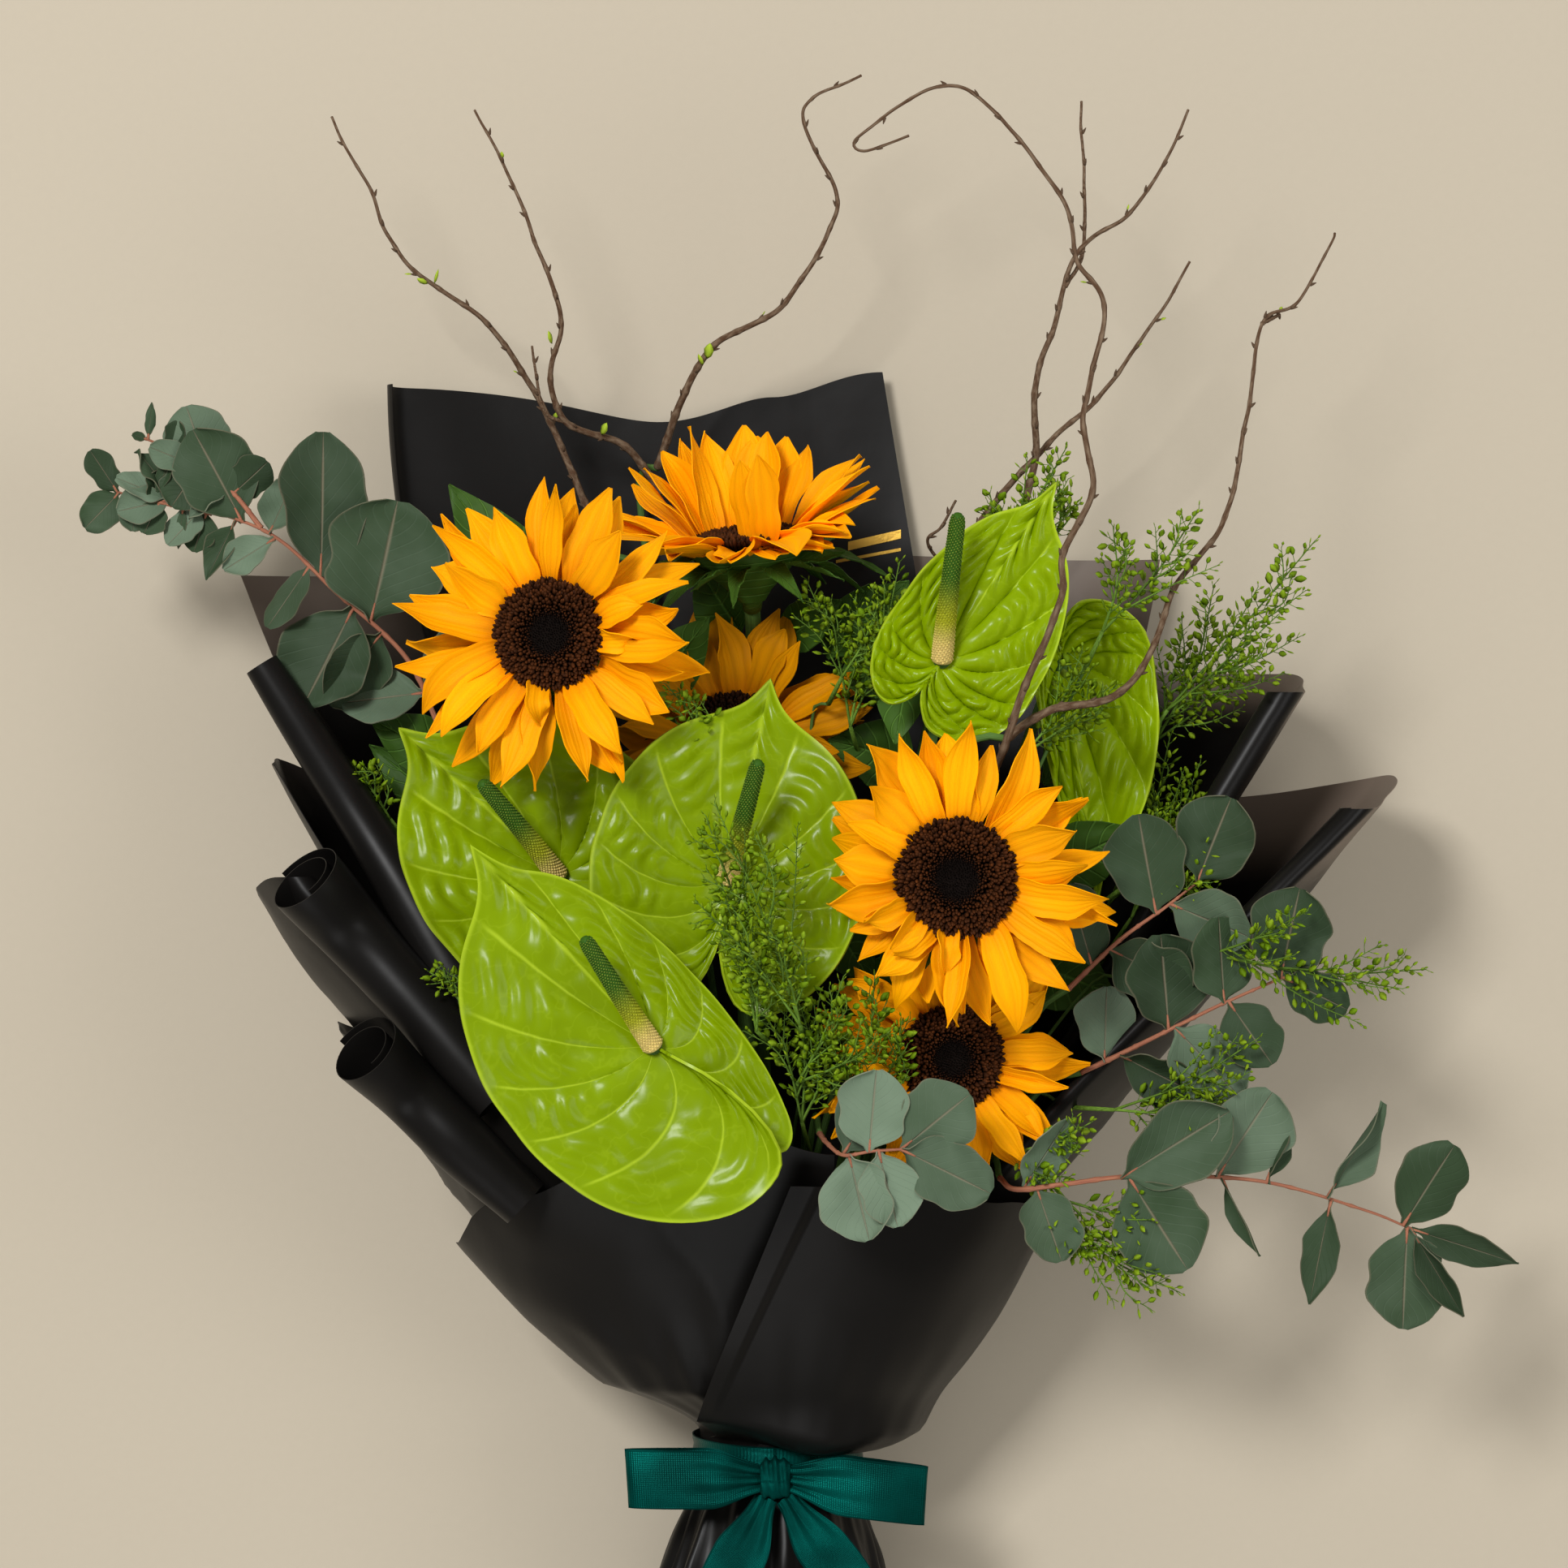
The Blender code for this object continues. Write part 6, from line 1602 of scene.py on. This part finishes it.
def spathe_grid(spec, chances):
    """Middle surface of a heart-shaped bowl, puckered between the veins that leave the spadix."""
    foot, to_tip = Vector(spec["foot"]), (Vector(spec["tip"]) - Vector(spec["foot"])).length
    along, normal = (Vector(spec["tip"]) - foot).normalized(), spathe_normal(spec)
    side = along.cross(normal)
    spread = np.linspace(-1, 1, SPATHE_RAYS)
    degrees = 179.6 * np.sign(spread) * np.abs(spread) ** 1.4       # closest at the drip tip
    reach = heart_reach(np.abs(degrees), spec.get("sinus", SPATHE_OUTLINE[-1][1]))
    share = np.linspace(0.03, 1, SPATHE_RINGS)[:, None]
    lobe = eased_array(np.abs(degrees), 110, 178)
    overlap = spec.get("overlap", 0)
    turn = np.radians(degrees - np.where(degrees < 0, overlap * lobe, 0))[None, :]
    left = (degrees < 0)[None, :]
    width, fold = (np.where(left, values[1], values[0]) for values in (spec["widths"], spec["folds"]))
    x = to_tip * reach * share * np.sin(turn) * width / OUTLINE_WIDTH
    y = to_tip * reach * share * np.cos(turn)
    y = np.where(y < 0, y * spec["lobes"] / OUTLINE_LOBES, y)
    cup = fold * np.abs(x) + 5 * share ** 2 - 9 * (y / to_tip) ** 2 * (y > 0)
    fan = np.abs(degrees)[None, :] / 180 * (1 + 0.5 * share ** 1.3)
    between = np.sin(np.pi * ((fan * VEINS + 0.5) % 1))
    ladder = np.sin(share * 44 + np.floor(fan * VEINS + 0.5) * 1.7 + 2 * np.sin(turn * 9)) * between
    swell = spec["pucker"] * (3.1 * (between ** 0.6 - 0.5) + 1.2 * ladder * eased_array(share, 0.3, 0.7))
    seed = chances.uniform(0, 50)

    def dented(a, b):
        spot = Vector((a / 7.5 + seed, b / 7.5, seed))
        return noise.noise(spot) * 0.9 + noise.noise(spot * 0.45) * 1.2

    pucker = np.vectorize(dented)(x, y)
    fade = eased_array(share, 0.10, 0.35) * (1 - eased_array(share, 0.90, 1.0))
    rim = 1.1 * share ** 4 * np.sin(turn * 5 + seed) + 0.9 * eased_array(share, 0.93, 1.0)
    rise = cup + (swell + pucker * spec["pucker"]) * fade + rim - 2.2 * (1 - eased_array(share, 0, 0.22))
    rise = rise + np.where(left, 0.08, -0.30) * overlap * lobe * eased_array(share, 0.1, 0.7)
    drip = eased_array(share, 0.8, 1.0) * np.exp(-(degrees / 9.0) ** 2)[None, :]
    rise = rise + drip * 4
    grid = (np.array(foot) + x[..., None] * np.array(side) + y[..., None] * np.array(along)
            + rise[..., None] * np.array(normal))
    return grid[:, ::-1], (share, fan[:, ::-1])


def make_anthurium(name, spec):
    chances = random.Random(name)
    foot, normal = Vector(spec["foot"]), spathe_normal(spec)
    grid, shares = spathe_grid(spec, chances)
    body = Body()
    body.sheet(grid, SPATHE, shares, chances.random(), spec.get("shade", 0))
    body.piece(name + "_spathe", ["spathe"], "anthurium", [name])
    knob = Body()
    knob.tube([foot + normal * 0.5, foot - normal * KNOB], (4.0, 3.4), 14, 0.4)
    knob.piece(name + "_neck", ["stem"], "stem")
    if spec["spadix"]:
        make_spadix(name, foot, Vector(spec["spadix"]), normal, chances)


def make_spadix(name, foot, end, normal, chances):
    """A smooth core, and small flowers that turn round it by the golden angle."""
    rows = SPADIX_ROWS
    path = smooth_path([foot, foot.lerp(end, 0.45) + normal * 3, end], rows)
    radii = [SPADIX[0] + (SPADIX[1] - SPADIX[0]) * (i / rows) for i in range(rows + 1)]
    for back, drawn_in in enumerate(SPADIX_TIP, 1):
        radii[-back] *= drawn_in
    core = Body()
    core.tube(path, np.array(radii) * 0.96, 20, 0.5)
    core.piece(name + "_spadix", ["spadix"], "anthurium")
    frames = carried_sides(path, across(path[1] - path[0]))
    spots = []
    for number in range(GRAINS):
        place = 0.01 + 0.975 * number / GRAINS
        index = min(int(place * rows), rows - 1)
        rest = place * rows - index
        middle = path[index].lerp(path[index + 1], rest)
        radius = radii[index] * (1 - rest) + radii[index + 1] * rest
        side, up = frames[index]
        out = side * cos(number * GOLDEN) + up * sin(number * GOLDEN)
        spots.append((middle + out * radius * 0.90, out, 1.0, place, chances.random()))
    strew(name + "_grains", spots, cone_shape(5, GRAIN), GRAIN_SIZE, "grain", spread=0.1)


# ---- foliage ------------------------------------------------------------------------------------
SPRAY_STEPS = 7             # straight pieces of a twig, as its solid has
LEAF_STALK = 0.08           # share of a leaf's length
EUCALYPTUS_LEAF = 0.5       # thickness
LEAF_GROWS = 1.13           # a fine leaf is rounder than its solid, and reaches as far past its corners
ROUND_PROFILE = [(share, max(0.04, 1 - abs(2 * share - 1) ** 2.3) ** 0.56) for share in np.linspace(0, 1, 31)]
LONG_PROFILE = [(0, 0.06), (0.04, 0.16), (0.15, 0.60), (0.35, 1.0), (0.6, 0.92), (0.8, 0.60), (0.93, 0.24),
                (1.0, 0.02)]


def make_eucalyptus(name, spec, nodes):
    """A spray: its twig, and leaves on short stalks that turn out of the spread."""
    chances = random.Random(name)
    path = smooth_path(spec["route"], SPRAY_STEPS)
    twig, leaves = Body(), Body()
    radii = [1.3 - 0.75 * i / 70 + 0.25 * (i % 10 == 0) for i in range(71)]
    twig.tube(smooth_path(spec["route"], 70), radii, 8, 0.3)
    for share, degrees, long, ratio, tilt in spec["leaves"]:
        index = min(int(share * SPRAY_STEPS), SPRAY_STEPS - 1)
        foot = path[index].lerp(path[index + 1], share * SPRAY_STEPS - index)
        along = (path[index + 1] - path[index]).normalized()
        out = Matrix.Rotation(radians(degrees), 3, "Z") @ Vector((along.x, along.y, 0)).normalized()
        faces = Matrix.Rotation(radians(tilt), 3, out) @ TOWARDS_EYE
        long *= LEAF_GROWS
        points = [foot + out * long * step
                  + TOWARDS_EYE * long * (LEAF_RISE * step ** 2 + chances.uniform(0, 0.002))
                  for step in np.linspace(0, 1, 30)]
        half = long * ratio / 2
        profile = [(LEAF_STALK + (1 - LEAF_STALK) * place, width)
                   for place, width in (ROUND_PROFILE if ratio > 0.5 else LONG_PROFILE)]
        grid, shares = blade_grid(points, faces, half, [(0, 0.9 / half), *profile], 13,
                                  cup=chances.uniform(-1, 0.18 * long),
                                  wave=0.08 * long * chances.uniform(0.2, 1.0),
                                  waves=chances.uniform(0.7, 1.8), phase=chances.uniform(0, 6),
                                  twist=chances.uniform(-0.5, 0.5), ragged=0.22)
        leaves.sheet(grid, EUCALYPTUS_LEAF, shares, chances.random(), spec.get("pale", 0.0))
        twig.tube([foot, foot + out * long * 0.07, foot + out * long * 0.16 + TOWARDS_EYE * 0.3],
                  (0.9, 0.8, 0.45), 6, 0.5)
    leaves.piece(name + "_leaves", ["eucalyptus"], "eucalyptus", nodes)
    twig.piece(name + "_twig", ["twig"], "eucalyptus")


def make_sprays():
    for name, spec in EUCALYPTUS.items():
        make_eucalyptus(name, spec, [name])
    for number, spec in enumerate(MORE_EUCALYPTUS, 1):
        make_eucalyptus(f"eucalyptus_side_{number}", spec, [])


def make_willow():
    """Curly twigs with swollen nodes, buds, and a few short spurs."""
    noise.seed_set(WILLOW_SEED)     # without a seed the twigs' sway differs from run to run
    chances = random.Random(WILLOW_SEED)
    body, buds = Body(), []
    for routes in WILLOW.values():
        for number, route in enumerate(routes):
            path = smooth_path(route, 22 * len(route))
            reach = len(path) - 1
            thick, thin = WILLOW_RADII
            if number:
                thick = thin * 1.7
            radii, kinked = [], []
            for index, point in enumerate(path):
                radius = thick + (thin - thick) * (index / reach) ** 0.8
                near = abs((index + 4) % WILLOW_NODE - WILLOW_NODE / 2) / (WILLOW_NODE / 2)
                radii.append(radius * (1 + 0.22 * max(0, 1 - near * 3)))
                sway = noise.noise_vector(Vector(point) / 17) * 0.9
                kinked.append(point + sway * min(1, index / 10))
            body.tube(kinked, radii, 8, chances.random())
            for index in range(WILLOW_NODE, reach - 3, WILLOW_NODE):
                along = (kinked[index + 1] - kinked[index - 1]).normalized()
                out = beside(along, index * GOLDEN)
                way = (out + along * 1.3).normalized()
                root = kinked[index] + out * radii[index] * 0.7
                body.tube([root, root + way * 1.6, root + way * 3.2], (0.75, 0.62, 0.18), 6,
                          chances.random())
                if chances.random() < 0.10:
                    buds.append((root + way * 2, way, 1.0, chances.random(), 0))
    body.piece("willow_twigs", ["bark"], "willow", list(WILLOW))
    for place, way in GREEN_BUDS:
        buds.append((Vector(place), Vector(way).normalized(), 2.1, 0.8, 0))
    strew("willow_buds", buds, pod_shape(), 3.2, "bud", roll=3.1, spread=0.25)


SPRIG_ROWS = 16


def make_cress():
    """Sprigs ringed by small pods on thin stalks that turn by the golden angle."""
    make_sprigs("cress", list(CRESS.values()), list(CRESS))
    make_sprigs("more_cress", MORE_CRESS, [])


def make_sprigs(name, specs, nodes):
    chances = random.Random(name)
    given = sizes()
    stems, spots = Body(), []

    def sprig(start, end, thick, size):
        """One stem with its ring of pods, closer and smaller towards the tip."""
        bend = across(end - start) * 3 + Vector([chances.uniform(low, 3) for low in (-3, -3, 0)])
        path = smooth_path([start, start.lerp(end, 0.5) + bend, end], SPRIG_ROWS)
        stems.tube(path, [thick * (1 - 0.65 * i / SPRIG_ROWS) for i in range(SPRIG_ROWS + 1)], 5,
                   chances.random())
        reach = sum((b - a).length for a, b in zip(path, path[1:]))
        count = max(6, int(reach * 0.86 / given.pod_step))
        for pod in range(count):
            share = (0.13 + 0.87 * pod / (count - 1)) * SPRIG_ROWS
            index = min(int(share), SPRIG_ROWS - 1)
            root = path[index].lerp(path[index + 1], share - index)
            along = (path[index + 1] - path[index]).normalized()
            out = beside(along, pod * GOLDEN + chances.uniform(-0.4, 0.4))
            young = eased(share / SPRIG_ROWS, 0.82, 1.0)
            way = (out + along * (0.55 + 0.9 * young)).normalized()
            stalk = size * (4.0 - 2.4 * young) * chances.uniform(0.8, 1.2)
            stems.tube([root, root + way * stalk * 0.6, root + way * stalk], (0.26, 0.2, 0.2), 3,
                       chances.random())
            spots.append((root + way * stalk * 0.95, way + along * 0.25, size * (1 - 0.55 * young),
                          chances.random(), 0))
        return path

    for foot, fork, *tips in specs:
        foot, fork = Vector(foot), Vector(fork)
        stems.tube([foot, foot.lerp(fork, 0.5), fork], (1.2, 1.1, 0.9), 7, 0.5)
        for goal in map(Vector, tips):
            main = sprig(fork, goal, 0.75, 1.0)
            along, reach = (goal - fork).normalized(), (goal - fork).length
            for sister in range(given.sister_sprigs):
                start = main[3 + 2 * sister]
                out = beside(along, sister * GOLDEN + chances.uniform(-0.5, 0.5))
                out.z = abs(out.z) * 0.6
                left = reach * (13 - 2 * sister) / SPRIG_ROWS
                end = start + (along + out * 0.5).normalized() * left * chances.uniform(0.55, 0.85)
                sprig(start, end, 0.55, 0.85)
    stems.piece(name + "_stems", ["sprig"], "cress", nodes)
    strew(name + "_pods", spots, pod_shape(), given.pod, "pod", spread=0.22)


LEAF_PROFILE = [(0, 0.06), (0.08, 0.28), (0.2, 0.78), (0.36, 1.0), (0.55, 0.92), (0.75, 0.60), (0.9, 0.26),
                (1.0, 0.01)]
LEAF_SEED = 31
# More leaves on the same stems, in the same form: foot, tip, half width and facing.
MORE_LEAVES = [
    ((60, 70, 120), (50, 18, 150), 17, (-0.3, 0, 1)), ((30, 60, 110), (62, 34, 138), 15, (0.2, 0.2, 1)),
    ((20, 58, 100), (40, 92, 112), 12, (0.1, 0.3, 1)), ((0, 66, 96), (26, 84, 118), 12, (0, 0.2, 1)),
    ((-62, 40, 110), (-34, 76, 126), 14), ((-150, 10, 100), (-190, 30, 110), 14),
    ((120, -40, 110), (160, -20, 130), 16), ((110, -80, 120), (150, -96, 136), 18, (0.2, 0, 1)),
    ((60, -90, 110), (20, -100, 130), 15), ((20, -60, 110), (40, -90, 140), 15),
    ((-30, -60, 100), (20, -84, 120), 17), ((50, -150, 120), (90, -170, 140), 15),
    ((60, 10, 100), (20, 20, 130), 17), ((120, 0, 90), (160, 30, 100), 16),
    ((-60, -10, 100), (-50, 30, 120), 17), ((-20, 70, 90), (-40, 100, 104), 15),
]


def make_leaves():
    chances = random.Random(LEAF_SEED)
    body = Body()
    for foot, tip, half_width, *faces in [*LEAVES.values(), *MORE_LEAVES]:
        foot, tip = Vector(foot), Vector(tip)
        path = smooth_path([foot, foot.lerp(tip, 0.5) + Vector((0, 0, 4)), tip], 24)
        grid, shares = blade_grid(path, (faces or [TOWARDS_EYE])[0], half_width, LEAF_PROFILE, 15, cup=2.5,
                                  wave=0.9, waves=2.5, phase=chances.uniform(0, 6), groove=0.5)
        body.sheet(grid, GREEN_LEAF, shares, chances.random())
    body.piece("broad_leaves", ["leaf"], "stem", list(LEAVES))


# ---- stage --------------------------------------------------------------------------------------
CAMERA_LENS, CAMERA_SENSOR = 100, 36
CAMERA_CLIP = (0.05, 30)        # metres
FLOOR_HALF = 8.0                # metres
LAMPS = {
    # where it hangs over the bouquet, what it aims at, its size in metres and its power in watts
    "key": ((-1.2, 1.3, 3.1), (0, 0, 0.1), 0.8, 92),
    "fill": ((1.7, 0.2, 1.9), (0, 0, 0.1), 1.2, 16),
    "low_fill": ((-0.4, -1.9, 1.5), (0, -0.1, 0.1), 1.4, 9),
}
SKY, SKY_COLOUR = 0.42, (1.0, 0.97, 0.93, 1)
SKY_IN_GLOSS = 0.25             # a dark studio round the lamps, as the glossy surfaces see it


def make_stage():
    make_floor()
    make_lamps()
    make_camera()


def make_floor():
    mesh = bpy.data.meshes.new("floor")
    wide = FLOOR_HALF
    mesh.from_pydata([(-wide, -wide, 0), (wide, -wide, 0), (wide, wide, 0), (-wide, wide, 0)], [],
                     [(0, 1, 2, 3)])
    mesh.materials.append(paint_named("floor"))
    floor = bpy.data.objects.new("floor", mesh)
    bpy.context.scene.collection.objects.link(floor)


def make_lamps():
    """A soft sky, darker as the glossy surfaces see it, and square lamps."""
    world = bpy.data.worlds.new("soft_sky")
    world.use_nodes = True
    sky = world.node_tree.nodes["Background"]
    sky.inputs["Color"].default_value = SKY_COLOUR
    rays = add_node(world.node_tree, "ShaderNodeLightPath")
    seen = add_node(world.node_tree, "ShaderNodeMapRange", {},
                    {"Value": rays.outputs["Is Glossy Ray"], "To Min": SKY, "To Max": SKY * SKY_IN_GLOSS})
    feed(world.node_tree, sky.inputs["Strength"], seen.outputs[0])
    bpy.context.scene.world = world
    for name, (spot, aim, wide, power) in LAMPS.items():
        light = bpy.data.lights.new(name, "AREA")
        light.shape, light.size, light.energy = "SQUARE", wide, power
        lamp = bpy.data.objects.new(name, light)
        lamp.location = spot
        lamp.rotation_euler = (Vector(aim) - Vector(spot)).to_track_quat("-Z", "Y").to_euler()
        bpy.context.scene.collection.objects.link(lamp)


def make_camera():
    """Straight down from over the bouquet."""
    lens = bpy.data.cameras.new("camera")
    lens.lens, lens.sensor_fit = CAMERA_LENS, "HORIZONTAL"
    lens.sensor_width = lens.sensor_height = CAMERA_SENSOR
    lens.clip_start, lens.clip_end = CAMERA_CLIP
    camera = bpy.data.objects.new("camera", lens)
    camera.location = in_row((0, 0, EYE_HEIGHT))
    camera.rotation_euler = (0, 0, 0)
    bpy.context.scene.collection.objects.link(camera)
    bpy.context.scene.camera = camera
    bpy.context.scene.view_settings.view_transform = "Standard"


# ---- add-on -------------------------------------------------------------------------------------
class BOUQUET_OT_wrap(bpy.types.Operator):
    """Sheets of film with rolled edges, and the printed bars"""
    bl_idname = "bouquet.wrap"
    bl_label = "Film wrap"

    def execute(self, context):
        make_wrap()
        make_scrolls()
        make_bars()
        return {"FINISHED"}


class BOUQUET_OT_foot(bpy.types.Operator):
    """Gathered film below the tie"""
    bl_idname = "bouquet.foot"
    bl_label = "Gathered foot"

    def execute(self, context):
        make_foot()
        return {"FINISHED"}


class BOUQUET_OT_ribbon(bpy.types.Operator):
    """Satin band, knot, loops and tails"""
    bl_idname = "bouquet.ribbon"
    bl_label = "Ribbon bow"

    def execute(self, context):
        make_ribbon()
        return {"FINISHED"}


class BOUQUET_OT_stems(bpy.types.Operator):
    """Bound stems from their cut ends to what they carry"""
    bl_idname = "bouquet.stems"
    bl_label = "Stems"

    def execute(self, context):
        make_stems()
        return {"FINISHED"}


class BOUQUET_OT_sunflowers(bpy.types.Operator):
    """Sunflower heads: petals, disc, florets and bracts"""
    bl_idname = "bouquet.sunflowers"
    bl_label = "Sunflowers"

    def execute(self, context):
        for name, spec in SUNFLOWERS.items():
            make_sunflower(name, spec)
        return {"FINISHED"}


class BOUQUET_OT_anthuriums(bpy.types.Operator):
    """Green anthurium bowls with their spadices"""
    bl_idname = "bouquet.anthuriums"
    bl_label = "Anthuriums"

    def execute(self, context):
        for name, spec in ANTHURIUMS.items():
            make_anthurium(name, spec)
        return {"FINISHED"}


class BOUQUET_OT_eucalyptus(bpy.types.Operator):
    """Eucalyptus sprays"""
    bl_idname = "bouquet.eucalyptus"
    bl_label = "Eucalyptus"

    def execute(self, context):
        make_sprays()
        return {"FINISHED"}


class BOUQUET_OT_willow(bpy.types.Operator):
    """Curly willow twigs and buds"""
    bl_idname = "bouquet.willow"
    bl_label = "Willow"

    def execute(self, context):
        make_willow()
        return {"FINISHED"}


class BOUQUET_OT_cress(bpy.types.Operator):
    """Sprigs of field cress"""
    bl_idname = "bouquet.cress"
    bl_label = "Cress"

    def execute(self, context):
        make_cress()
        return {"FINISHED"}


class BOUQUET_OT_leaves(bpy.types.Operator):
    """Broad leaves between the blooms"""
    bl_idname = "bouquet.leaves"
    bl_label = "Broad leaves"

    def execute(self, context):
        make_leaves()
        return {"FINISHED"}


class BOUQUET_OT_stage(bpy.types.Operator):
    """Floor, light and camera"""
    bl_idname = "bouquet.stage"
    bl_label = "Stage"

    def execute(self, context):
        make_stage()
        return {"FINISHED"}


MAKERS = (BOUQUET_OT_wrap, BOUQUET_OT_foot, BOUQUET_OT_ribbon, BOUQUET_OT_stems, BOUQUET_OT_sunflowers,
          BOUQUET_OT_anthuriums, BOUQUET_OT_eucalyptus, BOUQUET_OT_willow, BOUQUET_OT_cress,
          BOUQUET_OT_leaves, BOUQUET_OT_stage)


class BOUQUET_PT_makers(bpy.types.Panel):
    """Sizes, colours and makers of the bouquet"""
    bl_label = "Bouquet"
    bl_idname = "BOUQUET_PT_makers"
    bl_space_type = "VIEW_3D"
    bl_region_type = "UI"
    bl_category = "Bouquet"

    def draw(self, context):
        for group in (context.scene.bouquet_sizes, context.scene.bouquet_colours):
            box = self.layout.box()
            for name in group.__annotations__:
                box.prop(group, name)
        for maker in MAKERS:
            self.layout.operator(maker.bl_idname)


CLASSES = (BouquetSizes, BouquetColours, *MAKERS, BOUQUET_PT_makers)


def register():
    for made in CLASSES:
        bpy.utils.register_class(made)
    bpy.types.Scene.bouquet_sizes = PointerProperty(type=BouquetSizes)
    bpy.types.Scene.bouquet_colours = PointerProperty(type=BouquetColours)


def unregister():
    del bpy.types.Scene.bouquet_colours
    del bpy.types.Scene.bouquet_sizes
    for made in reversed(CLASSES):
        bpy.utils.unregister_class(made)


def plain(box):
    return [list(corner) for corner in box]


def main():
    register()
    for maker in MAKERS:
        group, name = maker.bl_idname.split(".")
        getattr(getattr(bpy.ops, group), name)()
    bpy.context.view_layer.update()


if __name__ == "__main__":
    main()
